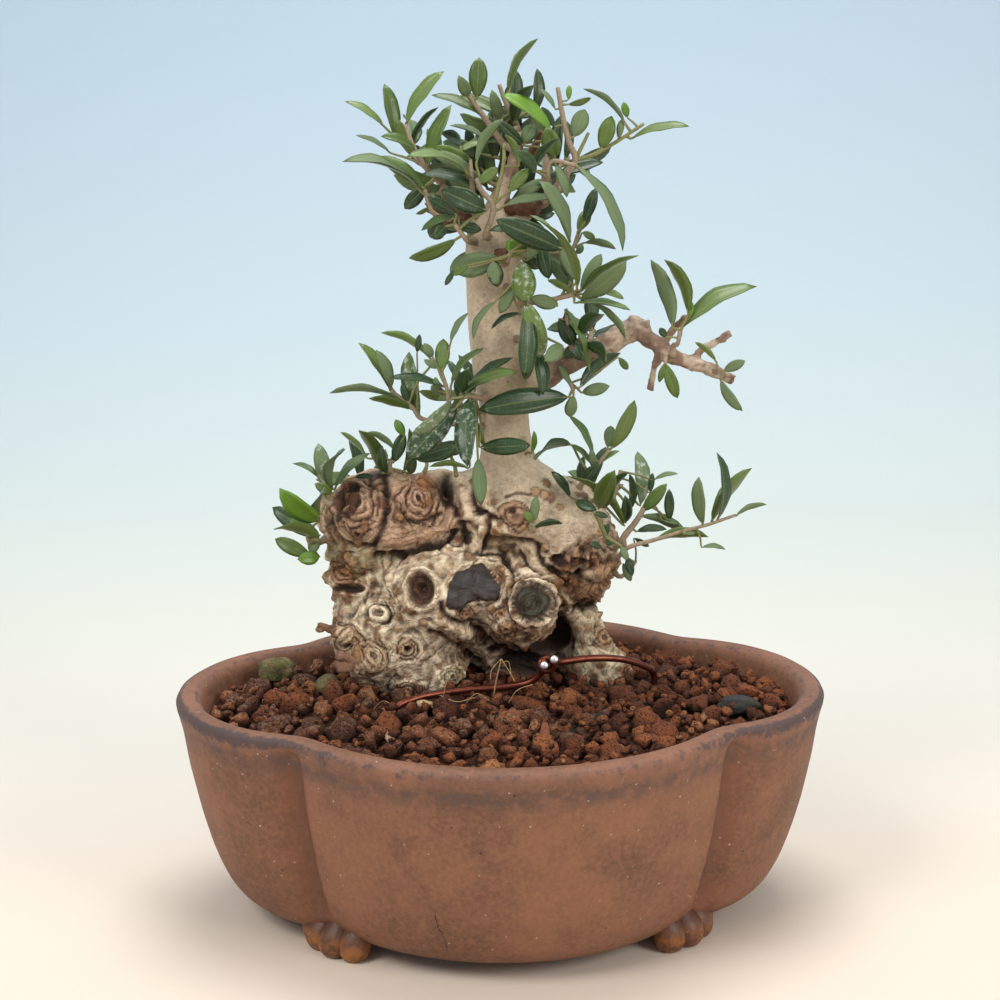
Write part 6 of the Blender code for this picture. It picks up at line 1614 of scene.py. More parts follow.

# %% [markdown]
# ## Twigs and leaves
#
# Every spray of the front view was measured: where its twig leaves the wood, the twig's stops
# and each leaf's base, tip and seen width. A letter per leaf gives the side and colour that the
# eye meets: D dark, the upper side darkened as painted shade, G olive green, L light, the upper
# side lightened as painted light, N new growth, all seen from above, and B the blue-grey underside.

# %% Tables of the sprays
# A spray of the front view: its root in the wood, the twig's radius, a tone per leaf, the stops
# of its twigs as x, z, front, and its leaves as base x, z, tip x, z and seen width
Spray = namedtuple("Spray", "root girth tones twigs leaves")
SPRAYS = {
    "crown_left_low": Spray((-8, 160, -15), 0.75, "LBGD",
        [[(-11, 158.6, -9), (-14.7, 160, -9), (-16.5, 165, -9.5)]],
        [(-16, 165, -26, 172.3, 4.2), (-17.4, 164.8, -34.5, 171, 1.6), (-15.3, 161.5, -18.5, 159.7, 1.2),
         (-13, 166, -15, 164.5, 1.5)]),
    "crown_left_fan": Spray((-13.6, 168, -16), 0.7, "GGLDBBB",
        [[(-17, 170.5, -17), (-19.5, 173.2, -17), (-23.5, 177, -18)]],
        [(-18.5, 171.6, -22.3, 180.3, 3.4), (-22.8, 176, -25.1, 187.8, 3.9), (-25.3, 178.7, -33.7, 184, 2),
         (-18.8, 174, -13.3, 182.8, 1.8), (-24, 173, -31.5, 176.7, 1.3), (-18.8, 174.5, -21, 180.5, 3.2),
         (-17.7, 171.2, -14.8, 175, 3.5)]),
    "crown_left_top": Spray((-13, 166, -15), 0.7, "LGG",
        [[(-16, 169.5, -11), (-19, 174.5, -11), (-20.5, 179, -12)]],
        [(-20.5, 179, -12, 190.4, 3.4), (-15, 169, -10.5, 183.3, 3.6), (-17.5, 173.5, -26, 176.5, 2.2)]),
    "crown_peak_left": Spray((3.2, 172, -17), 0.8, "GBGBB",
        [[(-0.5, 176.5, -16), (-3, 180, -16), (-8.1, 186.8, -16)]],
        [(-5, 184.6, -4.5, 193.3, 5), (-6.5, 184.5, -9, 189.5, 3.3), (-4.2, 180.8, -15, 185.3, 2.4),
         (-3, 175.8, -11, 178.8, 1.5), (-3, 176, -5.5, 176.6, 1.5)]),
    "crown_peak": Spray((4.2, 177, -17), 0.75, "GDDDBB",
        [[(2.6, 181, -18), (0.9, 184.5, -18), (-0.2, 187.6, -18)]],
        [(1.8, 185.5, 8.3, 197.3, 2.4), (7.6, 181.5, 8, 191, 3.2), (3, 179, 7.2, 187.5, 4),
         (4, 178.5, 0.5, 183, 4.5), (0, 180, -1.8, 186.5, 3.2), (-2.5, 175, -1.2, 183, 2)]),
    "crown_right_top": Spray((11, 163.8, -14.5), 0.7, "NGDB",
        [[(9.6, 168, -11), (10.5, 173, -10), (11.3, 177.2, -10)]],
        [(11.3, 177.7, 0.1, 185.5, 3.6), (12, 172, 10, 178.5, 5), (5.2, 174.5, -0.8, 180, 3.2),
         (5, 175, 7.5, 179, 4)]),
    "crown_front_fork": Spray((-3.3, 154, -13), 0.85, "LLBLB",
        [[(-3.0, 155.6, -5), (-1.5, 161.5, -4), (-4.2, 165, -4), (-5.2, 167.5, -4)], [(-1.5, 161.5, -4),
         (0.7, 170, -4), (0.9, 175, -5)]],
        [(-4.9, 166.3, -0.3, 169.8, 3), (1.8, 164.5, 6.2, 169.6, 3.4), (1, 161.5, 11.5, 163, 2.4),
         (4.2, 170, 1, 177, 2), (-5.2, 170.5, 0.9, 180.3, 2.4)]),
    "crown_left_mid": Spray((-6.5, 158.6, -14), 0.75, "LBLDDL",
        [[(-6, 162.5, -8), (-6.2, 167, -7), (-6.5, 171.5, -8)]],
        [(-5.5, 171.5, -14.2, 174.5, 3.2), (-7, 169, -15, 173, 3.5), (-7.5, 169, -20.5, 172, 1.6),
         (-5.5, 166, -17.4, 168.3, 2.6), (-8.5, 174, -13, 177.2, 2.8), (-9.5, 173, -3.5, 175.2, 1.8)]),
    "crown_left_under": Spray((-5, 153, -14), 0.75, "DDGDBG",
        [[(-7.5, 154.2, -5.5), (-10, 157.5, -5)]],
        [(-3, 160.5, -13, 165, 6), (-9.5, 159.5, -16, 163.5, 3.2), (-9.3, 159.3, -17.4, 156, 2.2),
         (-12, 157, -14.5, 154.5, 3), (-5, 156, -12, 156.5, 2), (-9.5, 154.3, -20.2, 150, 3.6)]),
    "crown_right_fork": Spray((12.5, 165, -14), 0.8, "DBNGBNGBLB",
        [[(14.6, 167.6, -12), (16.5, 171.6, -12), (15.1, 175, -12), (13.6, 181, -12), (12.5, 187, -12)], [
         (16.5, 171.6, -12), (19.3, 177.3, -12)], [(16.5, 171.6, -12), (20, 172.4, -12),
         (24.5, 174.8, -12), (31.3, 179.2, -12)]],
        [(12, 178.5, 9, 182.8, 2.4), (12, 182.3, 8.7, 186.6, 1.4), (14.9, 184.2, 15, 187.4, 1.6),
         (14.7, 183.3, 19.8, 184.7, 1.8), (27.2, 179.3, 17.9, 186.7, 1.5), (27.7, 180.5, 26.8, 183.9, 2.1),
         (21.9, 174, 24.3, 180.9, 4.4), (25.3, 176.5, 26.5, 180.2, 2), (28.5, 176, 41.3, 178.6, 2.2),
         (16, 176.3, 18.5, 182.3, 4.6)]),
    "crown_right_arch": Spray((8.5, 162, -14.5), 0.7, "BBDDB",
        [[(10.8, 164.5, -7), (11, 171, -6), (16.5, 170.3, -5)]],
        [(16.5, 170.3, 27.1, 151.4, 3), (12, 170, 14.7, 163.3, 2.6), (7, 169, 13.1, 176.2, 2.4),
         (8, 169, 3.5, 173.5, 3), (15.5, 153.5, 8.5, 167, 3.6)]),
    "crown_right_low": Spray((2, 150.5, -14), 0.7, "DLLBB",
        [[(9, 151, -12), (15.7, 151.9, -10), (17.2, 155.4, -10)]],
        [(18.5, 157.5, 21, 165.4, 3.2), (17.1, 155.8, 19.4, 160.4, 3.4), (18.2, 155.8, 21, 154.3, 2),
         (18.4, 153.4, 25.6, 152, 2), (17, 151, 18.3, 153, 2)]),
    "trunk_top_front": Spray((1.5, 148.5, -13), 0.8, "BGDBNBDD",
        [[(1.5, 149.2, -5), (2.5, 151.5, -3)]],
        [(0.3, 150, -10.3, 147.5, 6.5), (-7, 148.5, -10.5, 146.3, 2), (-10, 147.5, -12.2, 144, 1.6),
         (-1.5, 149.5, -1, 144, 4), (3.3, 150.3, 3.5, 154.6, 5.4), (6, 149.5, 9, 155.5, 3.2),
         (14, 152, -1, 158.5, 6.5), (8, 155, -2.5, 156, 2.4)]),
    "trunk_right_bud": Spray((3.5, 140, -13), 0.75, "LBBBLBLLBLB",
        [[(10, 140.6, -7), (16.5, 142, -6)]],
        [(17.1, 143.2, 6.4, 159.5, 1.8), (17, 145, 13.5, 153, 4.2), (15.5, 144.5, 9.3, 152.5, 2.6),
         (17.8, 143, 22.4, 151, 3.6), (18, 142.8, 30.8, 150.7, 2.6), (18, 141, 28, 149.5, 5),
         (22, 142.8, 27.5, 141, 1.8), (16, 142.4, 10.5, 145.3, 2), (12.8, 139.5, 6.6, 141.3, 3.8),
         (16.5, 140.2, 29, 138.5, 1.5), (20, 140.3, 28, 132, 2)]),
    "trunk_front": Spray((1.5, 143, -13), 0.8, "GLBBD",
        [[(2.6, 143.6, -4.5), (5, 147.5, -2)]],
        [(5, 149.5, 5.5, 140, 6.5), (6, 140.5, 9, 127.7, 6.5), (3, 144.5, 0, 137.8, 3.4),
         (-1, 140.5, -6, 132, 1.8), (4.8, 137.8, -2, 134.2, 1.5)]),
    "trunk_front_low": Spray((3.5, 131, -13), 0.75, "DGBDB",
        [[(5.2, 133, -4.5), (6.8, 136.5, -4)]],
        [(4.5, 137.5, 3.7, 126, 3.6), (6.5, 134.5, 4.5, 126, 3.2), (7.2, 130, 5.6, 122.8, 3),
         (8, 130, 9.6, 119.2, 3.2), (14, 130.5, 9.8, 127, 4.2)]),
    "branch_inner": Spray((15.5, 127.5, -15), 0.7, "LDDDD",
        [[(15.6, 132, -9), (14.8, 137.5, -8)]],
        [(14.5, 139, 20, 124.3, 1.8), (14.5, 138, 16, 131.5, 1.8), (17.5, 132, 22.8, 137.5, 4),
         (17, 131.5, 19, 127.5, 2.5), (18.5, 131, 23.5, 127.3, 3.4)]),
    "branch_under": Spray((13.5, 126, -15), 0.7, "DGBBBD",
        [[(15.2, 123, -10), (16.5, 120.6, -7)]],
        [(17.8, 121, 27, 129, 3.6), (26.5, 128, 28.6, 125.2, 2), (18.3, 120, 24.6, 121.5, 3.4),
         (15.5, 121.5, 13, 126.3, 1.8), (16.5, 119.5, 15.5, 114.5, 3.4), (15.5, 119, -5, 116, 7)]),
    "branch_out_top": Spray((37.8, 128.6, -12), 0.7, "BGLND",
        [[(39.6, 131.0, -7.5), (40, 134, -7)]],
        [(38.5, 134.5, 33.2, 149.8, 4.2), (41.8, 137.5, 36.2, 149.8, 3.4), (40.5, 134.5, 57, 143.8, 4.4),
         (42.3, 137, 42.5, 140.5, 1.6), (37, 132.5, 35.5, 134.6, 2)]),
    "branch_out_under": Spray((37, 129.3, -12.3), 0.6, "GG",
        [[(36.9, 127.3, -9), (37, 126.2, -8.5)]],
        [(36.5, 126.8, 39.8, 118.7, 3.4), (36.5, 126.5, 35.6, 122.3, 1.8)]),
    "branch_tip": Spray((47.6, 125, -10), 0.6, "LBB",
        [[(48.8, 125.6, -6.5), (50, 124.8, -6)]],
        [(48.3, 127, 43.4, 131.4, 1.6), (50, 125, 54.8, 127.2, 2.8), (49.3, 123, 54.5, 115.8, 2.8)]),
    "trunk_left_upper": Spray((-2.5, 115.5, -13), 0.7, "LBBDBBGB",
        [[(-11, 116.5, -4), (-11.7, 120, -4), (-13, 124.5, -5)]],
        [(-13.3, 124.8, -12.6, 132.2, 4), (-15, 128, -17, 131.2, 2.5), (-14, 125.5, -17, 127.5, 1.8),
         (-13, 121, -24.8, 123.2, 2.2), (-14, 120.5, -14.5, 123.6, 1.8), (-12.5, 119, -15.5, 121.5, 2.5),
         (-11, 121.5, -3.5, 130, 1.8), (-11, 131.3, -7, 138, 1.8)]),
    "trunk_left_out": Spray((-2.5, 112, -14), 0.7, "LBGBDLDG",
        [[(-8, 112.6, -9), (-18, 114.3, -10), (-19.5, 116.5, -10), (-24.5, 120.5, -10)]],
        [(-24.5, 120.5, -31.6, 131.3, 3), (-24.3, 121, -27.7, 129.7, 3.2), (-19.5, 116, -29.5, 118.7, 2.6),
         (-22, 118, -38.3, 119.8, 1.5), (-20.5, 118, -22, 122, 2.2), (-15, 127, -26.6, 133.5, 2.2),
         (-18.5, 129, -17.9, 133.2, 1.8), (-17.7, 114.8, -20.3, 129.3, 4.8)]),
    "trunk_left_front": Spray((-2.5, 118.6, -13), 0.8, "DGBBDDDLGDD",
        [[(-5.5, 119, -4), (-8, 119.2, -1)]],
        [(-6.3, 119.5, -7.3, 103, 5.8), (-5, 113, -3.6, 108, 1.8), (-5, 105, -4.3, 94, 4),
         (-10.8, 118.6, -20, 110.5, 3.6), (-9.5, 117, -21.3, 104.6, 7), (-9.5, 108, -19.5, 105, 5),
         (-4.5, 107.5, 7, 108, 4.8), (-7, 102.7, -16, 103, 1.6), (-9, 119.5, 4, 124.5, 2.8),
         (-8, 120, 3, 128, 3), (-8, 120, -7, 125.4, 3.4)]),
    "burl_top_left": Spray((-25, 96, -17), 0.75, "NGDGLBD",
        [[(-24.6, 101, -14), (-24.6, 104.5, -14)]],
        [(-21.5, 110, -23.5, 113.9, 2.6), (-22, 101.5, -20.5, 112, 2.6), (-20.5, 101.5, -19, 105.6, 3),
         (-27, 101.5, -31.8, 111.5, 3.8), (-30, 105, -36, 111, 1.6), (-23.5, 106.5, -30, 111, 1.8),
         (-25.5, 101.5, -26.5, 108, 2.8)]),
    "burl_left_top": Spray((-36, 90, -14), 0.7, "BGLBBDB",
        [[(-39.8, 95.5, -11), (-39.2, 98.5, -11)]],
        [(-38.7, 98, -41, 108.5, 4.4), (-41, 100.5, -47, 103.8, 1.6), (-38, 97, -42, 99.2, 3),
         (-38, 98, -34.9, 107, 2.2), (-37.5, 97.8, -29.2, 106.2, 2.6), (-33, 100.6, -28.5, 100.8, 1.6),
         (-41, 92, -39.5, 97.5, 1.8)]),
    "burl_left": Spray((-37, 85, -14), 0.75, "NDGLGNB",
        [[(-43.6, 85.8, -10), (-43.6, 88, -9)]],
        [(-41, 90.5, -50, 98.2, 5.6), (-41.5, 86.5, -51.7, 93.7, 5), (-41, 87, -48, 91, 3.6),
         (-41, 86, -53, 88.8, 2.8), (-43, 82, -51.3, 86.3, 4.2), (-41.2, 82, -46.3, 81.5, 3.8),
         (-41, 85.5, -43.5, 83, 2.2)]),
    "shoulder_top": Spray((13.5, 92, -17), 0.65, "LBLDLBBGGD",
        [[(15.7, 96.5, -13), (18.5, 99, -13), (22.4, 104, -13), (24.7, 107, -13)]],
        [(24.8, 107, 30.2, 118.4, 4.2), (24.3, 107.3, 25, 112.5, 3.2), (22.8, 103.3, 27, 106.7, 1.6),
         (18.5, 99.2, 22.5, 103.8, 3.4), (18, 98.5, 16.2, 107.5, 2.2), (18, 99.5, 19.5, 105, 3),
         (21, 103, 20.6, 107.2, 2.2), (21, 105, 15.3, 115, 2), (21.3, 103.5, 16, 108.3, 1.6),
         (16.2, 108, 8, 104.5, 2)]),
    "shoulder_front": Spray((18, 90, -14), 0.7, "DDGGDD",
        [[(19.6, 94.2, -8), (22, 96, -8)]],
        [(16, 96, 11.5, 102, 2.4), (17, 95, 22, 93, 3), (28.3, 89.3, 14.8, 101, 1.6),
         (22.5, 93.5, 26, 102.3, 5.4), (20, 96, 22, 99.6, 2.5), (23.5, 94.5, 29.2, 101.8, 2.4)]),
    "shoulder_stub": Spray((22, 89, -17), 0.65, "DDBDB",
        [[(25.7, 96, -15), (27.3, 102.3, -15)]],
        [(28.5, 90, 28.3, 96.5, 3.2), (29.5, 93, 29.3, 101.5, 2.4), (31.8, 94, 31, 106.6, 4.2),
         (34, 97, 34.5, 101.7, 1.8), (34.8, 100, 40.3, 101.4, 1.4)]),
    "shoulder_thick_stub": Spray((24, 83, -15), 0.9, "GDBDB",
        [[(28, 86.3, -9), (31, 90.5, -9), (34.5, 96.8, -9)]],
        [(33.3, 92.3, 37.8, 99.2, 3.6), (38.5, 90.5, 38.3, 98, 2.8), (32.3, 91.8, 42.3, 87.6, 2.8),
         (31, 88, 38, 88.5, 2.2), (37, 90.5, 41, 89.8, 1.5)]),
    "shoulder_out": Spray((24.5, 81, -13), 0.6, "GBDLBB",
        [[(29.3, 84.3, -5), (35, 86, -5), (42, 88.2, -5), (47.5, 89.7, -5), (53.4, 91.8, -5)]],
        [(35, 85.8, 47.5, 86.7, 2.9), (46, 90.3, 45, 100.8, 3.6), (49.5, 90.5, 48.8, 106.5, 2.6),
         (48, 90.3, 57, 102.8, 3.6), (53.5, 91.7, 60.6, 94.3, 1.6), (46, 84.3, 51.5, 83.7, 1.4)]),
    "shoulder_low": Spray((25, 76, -15), 0.6, "DBD",
        [[(29.3, 78.6, -13), (31, 81, -12.5)]],
        [(30.5, 86.5, 34, 84.5, 1.6), (28, 80.5, 30, 76.3, 2.2), (29, 82, 30.3, 77.5, 2.4)]),
    "front_sprout": Spray((7.3, 86, -9), 0.5, "BDL",
        [[(7.4, 88.5, -1), (7.5, 90, -0.6)]],
        [(7.8, 90.5, 8.2, 96.3, 2.6), (8, 89.2, 14.3, 89.9, 1.8), (7.5, 90, 5.5, 92.8, 2.2)]),
    "shoulder_sprout": Spray((20.5, 85, -11), 0.5, "DDD",
        [[(22.2, 86, -3), (24, 87, -3)]],
        [(20.5, 85.5, 23, 84.2, 1.8), (24, 85, 26, 86, 1.8), (24.2, 87, 24.6, 90, 1.6)]),
}

# Sprays behind the tree: root x, z, front, then the tip of the twig
BACK_SPRAYS = {
    "back_crown_left": ((-9, 161, -15), (-15, 168, -34)),
    "back_crown_peak": ((3.6, 173, -17), (1, 182, -32)),
    "back_crown_right": ((10, 163, -14.5), (15, 172, -32)),
    "back_trunk_top": ((-1, 148, -16), (3, 155, -38)),
    "back_branch": ((20, 129.5, -14.5), (21, 134, -31)),
    "back_trunk_left": ((0, 116, -16), (-10, 120, -33)),
    "back_burl_left": ((-29, 92, -20), (-32, 100, -38)),
    "back_shoulder": ((16, 91, -20), (22, 99, -39)),
}
BACK_PAIRS = 4
BACK_LEAF = 11.5
# Tones of the leaves behind the tree, mostly D, the dark tone as painted shade
BACK_TONES = "DGDB"

# %% [markdown]
# ### Where each leaf lies
#
# The view fixes where a leaf is seen, not how far forward or back it reaches. Each leaf is leant
# along the line of sight, a step at a time, until it clears the wood, its sisters and the other
# sprays. The solids of the frame were bent clear in the same way, so the two agree.

# %% Placing the leaves
LEAF_RATIO = 0.36
LEAF_MAX_WIDTH = 7.2
# Room round a blade: to other sprays, its sisters, the wood and the soil, and between feet
CLEARANCE = 1.35
SISTER_CLEARANCE = 0.95
WOOD_CLEARANCE = 1.9
SOIL_CLEARANCE = 4.0
FOOT_SPACING = 1.3
# A leaf shorter and narrower than this has no blade of its own in the solids
SMALL_LEAF, SMALL_WIDTH = 5.6, 2.3
# What is tried in turn: sizes, then moves of the base, then leans of the tip, nearer or farther
SIZE_TRIES = (1.0, 0.88, 0.76)
BASE_TRIES = (0.0, 1.5, -1.5, 3.0, -3.0)
LEAN_TRIES = (0.0, 2.0, -2.0, 4.0, -4.0, 6.0, -6.0, 8.5, -8.5, 11.0, -11.0, 14.0, -14.0)


def draw(index, channel):
    """A fixed draw between 0 and 1 for one leaf and one purpose."""
    return math.modf(abs(math.sin(index * 12.9898 + channel * 78.233) * 43758.5453))[0]


class Leaf:
    """One blade from base to tip, its petiole from `foot`, and points spread over it."""

    def __init__(self, foot, base, tip, seen_width, index, real_width=None):
        self.foot, self.base, self.tip = foot, base, tip
        length = np.linalg.norm(tip - base)
        self.width = real_width or min(max(seen_width, LEAF_RATIO * length), LEAF_MAX_WIDTH)
        sight = unit(EYE - 0.5 * (base + tip))
        axis = unit(tip - base)
        side = unit(np.cross(axis, sight))
        facing = np.cross(side, axis)
        share = min(seen_width / self.width, 1.0)
        roll = math.acos(share) * (1.0 if draw(index, 5) > 0.5 else -1.0)
        self.side = side * math.cos(roll) + facing * math.sin(roll)
        self.normal = np.cross(self.side, axis)
        if self.normal[2] < 0.0 and share < 0.8:
            self.normal = -self.normal
            self.side = -self.side
        self.arch = length * (0.05 + 0.07 * draw(index, 6))
        self.fold = 0.10 + 0.10 * draw(index, 7)

    def at(self, t):
        t = np.asarray(t, float)[..., None]
        return self.base + (self.tip - self.base) * t + self.normal * (self.arch * 4.0 * t * (1.0 - t))

    def half_width(self, t):
        """Half the width: a lance shape, widest a little past the middle."""
        t = np.asarray(t, float)
        return 0.5 * self.width * np.sin(math.pi * np.clip(0.10 + 0.90 * t, 0, 1) ** 0.95)

    def samples(self, start=0.0):
        """Points over the blade from a share of its length on, with the petiole if whole."""
        t = np.linspace(start, 1.0, 11)
        u = np.linspace(-1.0, 1.0, 5)
        middle = self.at(t)
        across = self.half_width(t)[:, None] * u[None, :]
        lift = np.abs(across) * self.fold * 2.0
        blade = middle[:, None, :] + across[..., None] * self.side + lift[..., None] * self.normal
        if start > 0.0:
            return blade.reshape(-1, 3)
        return np.concatenate((blade.reshape(-1, 3), along((self.foot, self.base), 1.0)))

    def wood_needs(self):
        """How far each sample has to stay from the wood: little at the foot, more on the blade."""
        t = np.repeat(np.linspace(0.0, 1.0, 11), 5)
        stalk = len(along((self.foot, self.base), 1.0))
        return np.concatenate((0.5 + (WOOD_CLEARANCE - 0.5) * ease(2.5 * t), np.full(stalk, 0.3)))


def spray_lines():
    """Twig lines of every spray in the pot's frame, the first one starting in the wood."""
    lines = {}
    for name, spray in SPRAYS.items():
        rows = []
        for twig in spray.twigs:
            row = [spot(*stop) for stop in twig]
            if not rows:
                row.insert(0, spot(*spray.root))
            else:
                row[0] = nearest(along(rows[0], 0.4), row[0])
            rows.append(np.array(row))
        lines[name] = rows
    for name, (root, tip) in BACK_SPRAYS.items():
        a, b = spot(*root), spot(*tip)
        bow = 0.5 * (a + b) + np.array((0.0, 1.5, 1.5))
        lines[name] = [np.array((a, bow, b))]
    return lines


def twig_points(lines):
    """Points along the free part of the twigs, outside the wood."""
    points = np.concatenate([along(line, 0.9) for line in lines])
    return points[wood_gap(points) > 0.2]


def touches(points, others, clearance):
    low, high = points.min(axis=0) - clearance, points.max(axis=0) + clearance
    near = others[np.all((others > low) & (others < high), axis=1)]
    if not len(near):
        return False
    return bool((np.linalg.norm(points[:, None] - near[None], axis=2) < clearance).any())


def crowded(leaf, others, siblings):
    """True where a blade would come too near the wood, the soil, another node or its sisters."""
    points = leaf.samples()
    if np.any(wood_gap(points) < leaf.wood_needs()):
        return True
    if points[:, 2].min() < SOIL_TOP + SOIL_CLEARANCE:
        return True
    return touches(points, others, CLEARANCE) or touches(leaf.samples(0.3), siblings, SISTER_CLEARANCE)


def free_foot(lines, rough, used):
    """The nearest point of the twigs that keeps its distance from the feet in use."""
    spots = np.concatenate([along(line[1:] if len(line) > 2 else line, 0.4) for line in lines])
    if used:
        room = np.linalg.norm(spots[:, None] - np.array(used)[None], axis=2).min(axis=1) > FOOT_SPACING
        spots = spots[room] if room.any() else spots
    return nearest(spots, rough)


def front_of(point):
    """How far a point lies in front of the view's upright plane."""
    return -(math.cos(YAW) * point[1] + math.sin(YAW) * point[0])


def front_leaf(entry, lines, index, base_shift, tip_shift, shrink, used):
    """A leaf of the table, with its base and tip moved along the line of sight."""
    bx, bz, tx, tz, width = entry
    rough = spot(bx, bz, float(np.mean([front_of(p) for line in lines for p in line[1:]])))
    foot = free_foot(lines, rough, used)
    front = front_of(foot) + base_shift
    base = spot(bx, bz, front)
    lean = (draw(index, 1) - 0.45) * 0.7 * math.hypot(tx - bx, tz - bz) + tip_shift
    tip = spot(bx + (tx - bx) * shrink, bz + (tz - bz) * shrink, front + lean)
    if np.linalg.norm(foot - base) < 1.2:
        base = foot + unit(base - foot) * 0.2
    return Leaf(foot, base, tip, width, index)


def back_leaf(line, number, index, turn, shrink):
    """A leaf of a back spray: pairs turned by a right angle from one to the next."""
    pair, hand = divmod(number, 2)
    t = 0.45 + 0.55 * (pair + 0.35 * hand) / BACK_PAIRS
    spine = along(line, 0.4)
    foot = spine[min(int(t * len(spine)), len(spine) - 1)]
    heading = unit(spine[-1] - spine[0])
    flat = unit(np.cross(heading, (0.0, 0.0, 1.0)))
    rise = np.cross(flat, heading)
    angle = math.pi * hand + math.pi / 2 * (pair % 2) + turn + 0.5 * (draw(index, 2) - 0.5)
    out = flat * math.cos(angle) + rise * math.sin(angle)
    length = BACK_LEAF * (0.8 + 0.4 * draw(index, 3)) * shrink
    tip = foot + length * unit(out + (0.45 + 0.5 * t) * heading)
    width = 0.34 * length
    return Leaf(foot, foot + unit(tip - foot) * 0.3, tip, width * 0.8, index, real_width=width)


def place_leaves():
    """Leaves of every spray, each bent until it clears the wood and the other nodes."""
    lines = spray_lines()
    taken = {name: [twig_points(rows)] for name, rows in lines.items()}
    leaves = {name: [] for name in lines}
    index = 0
    for name, rows in lines.items():
        spray, tiny = SPRAYS.get(name), []
        others = np.concatenate([p for key, sets in taken.items() if key != name for p in sets])
        siblings = np.concatenate([along(row, 0.9) for row in rows])
        for number in range(len(spray.leaves) if spray else 2 * BACK_PAIRS):
            index += 1
            tone = spray.tones[number] if spray else BACK_TONES[number % 4]
            used = [kept[0].foot for kept in leaves[name]]
            if spray and small(*spray.leaves[number]):
                leaf = front_leaf(spray.leaves[number], rows, index, 0.0, 0.0, 1.0, used)
                tiny.append((leaf, tone, index, (name, number)))
                continue
            leaf = fit_leaf(name, number, rows, index, others, siblings, used)
            if leaf:
                leaves[name].append((leaf, tone, index, (name, number)))
                taken[name].append(leaf.samples())
                siblings = np.concatenate((siblings, leaf.samples(0.3)))
        leaves[name] += tiny
    return lines, leaves


def small(bx, bz, tx, tz, width):
    return math.hypot(tx - bx, tz - bz) < SMALL_LEAF and width < SMALL_WIDTH


def fit_leaf(name, number, rows, index, others, siblings, used):
    """The first trial that has room round it, or None."""
    for shrink, base_shift, shift in product(SIZE_TRIES, BASE_TRIES, LEAN_TRIES):
        if name in SPRAYS:
            entry = SPRAYS[name].leaves[number]
            leaf = front_leaf(entry, rows, index, base_shift, shift, shrink, used)
        else:
            leaf = back_leaf(rows[0], number, index, 0.12 * shift + 0.3 * base_shift, shrink)
        if not crowded(leaf, others, siblings):
            return leaf
    print("no room for leaf", number, "of", name)
    return None

# %% [markdown]
# ### The fine leaf
#
# A blade is a ring of eight points carried from base to tip: the upper side, the rim and the
# underside with its keel. Its half width follows sin(pi t^1.1)^0.62, fullest past the middle. It
# is folded a little along the midrib, and its rim waves.

# %% Blade and twig
# D and L are shaded and lit copies of the upper side's green: painted shade and painted light.
TONES = {"D": rgb(44, 70, 36), "G": rgb(84, 108, 40), "L": rgb(104, 128, 60), "N": rgb(100, 142, 38),
         "B": rgb(58, 84, 42)}
UNDERSIDE = rgb(114, 132, 92)
TWIG_GREY, TWIG_GREEN = rgb(168, 146, 124), rgb(140, 138, 88)
BACK_GIRTH = 0.7
BLADE_ROWS = 8
BLADE_THICK = 0.22
ACROSS = np.array((-1.0, -0.5, 0.0, 0.5, 1.0, 0.5, 0.0, -0.5))
LAYER = np.array((0.0, 0.85, 0.55, 0.85, 0.0, -0.85, -1.5, -0.85))
UNDER = np.array((0.5, 0.0, 0.0, 0.0, 0.5, 1.0, 1.0, 1.0))
# Leaves with dried lime on them, and leaves whose tips were cut: spray and number
LIME = {("trunk_front", 0), ("trunk_front", 1), ("trunk_left_front", 0), ("trunk_left_front", 3),
        ("trunk_left_front", 4), ("shoulder_stub", 2), ("burl_left_top", 0), ("trunk_left_out", 7)}
CUT_TIP = {("crown_front_fork", 2), ("crown_right_low", 3)}


def add_blade(batch, leaf, tone, index, lime=0.0, cut=0.0):
    """A closed blade: at(t) + u half(t) side + |u| fold normal, its upper side chosen by tone."""
    t = (np.arange(BLADE_ROWS) + 1.0) / (BLADE_ROWS + 1.0)
    toward = np.sign(leaf.normal @ unit(EYE - leaf.at(0.5))) or 1.0
    if tone == "B":
        toward = -toward
    upper, side = leaf.normal * toward, leaf.side * toward
    half = 0.43 * leaf.width * np.sin(math.pi * t ** 1.1) ** 0.62
    wave = 0.07 * np.sin(2.0 * math.pi * (2.2 * t + draw(index, 8)))
    across = half[:, None] * ACROSS
    lift = np.abs(across) * (leaf.fold * 2.0 + wave[:, None])
    layer = BLADE_THICK * LAYER * np.minimum(half, 1.0)[:, None]
    tip_turn = 0.35 * (draw(index, 9) - 0.5) * (t - 0.4)[:, None, None]
    sides = unit(side + tip_turn * upper)
    points = leaf.at(t)[:, None] + across[..., None] * sides
    points = points + lift[..., None] * leaf.normal + layer[..., None] * upper
    colour = np.array(TONES[tone]) * (0.82 + 0.36 * draw(index, 10))
    colour = colour * (1.0 + 0.10 * (draw(index, 11) - 0.5) * np.array((1.0, 0.0, -1.0)))
    batch.add(*capped(points, *leaf.at(np.array((0.0, 1.0)))), leaf_colour=colour,
              under=np.append(np.tile(UNDER, BLADE_ROWS), (0.5, 0.5)),
              across=np.append(np.tile(ACROSS, BLADE_ROWS), (0.0, 0.0)),
              length=np.append(np.repeat(t, 8), (0.0, 1.0)) * np.linalg.norm(leaf.tip - leaf.base),
              share=np.append(np.repeat(t, 8), (0.0, 1.0)), lime=lime, cut=cut, twig=0.0)


def add_stalk(batch, path, radii, colour, sides=6):
    """A round stalk with its own colour."""
    batch.add(*tube(path, radii, sides), leaf_colour=colour, under=0.0, across=1.0, length=0.0,
              share=0.0, lime=0.0, cut=0.0, twig=1.0)


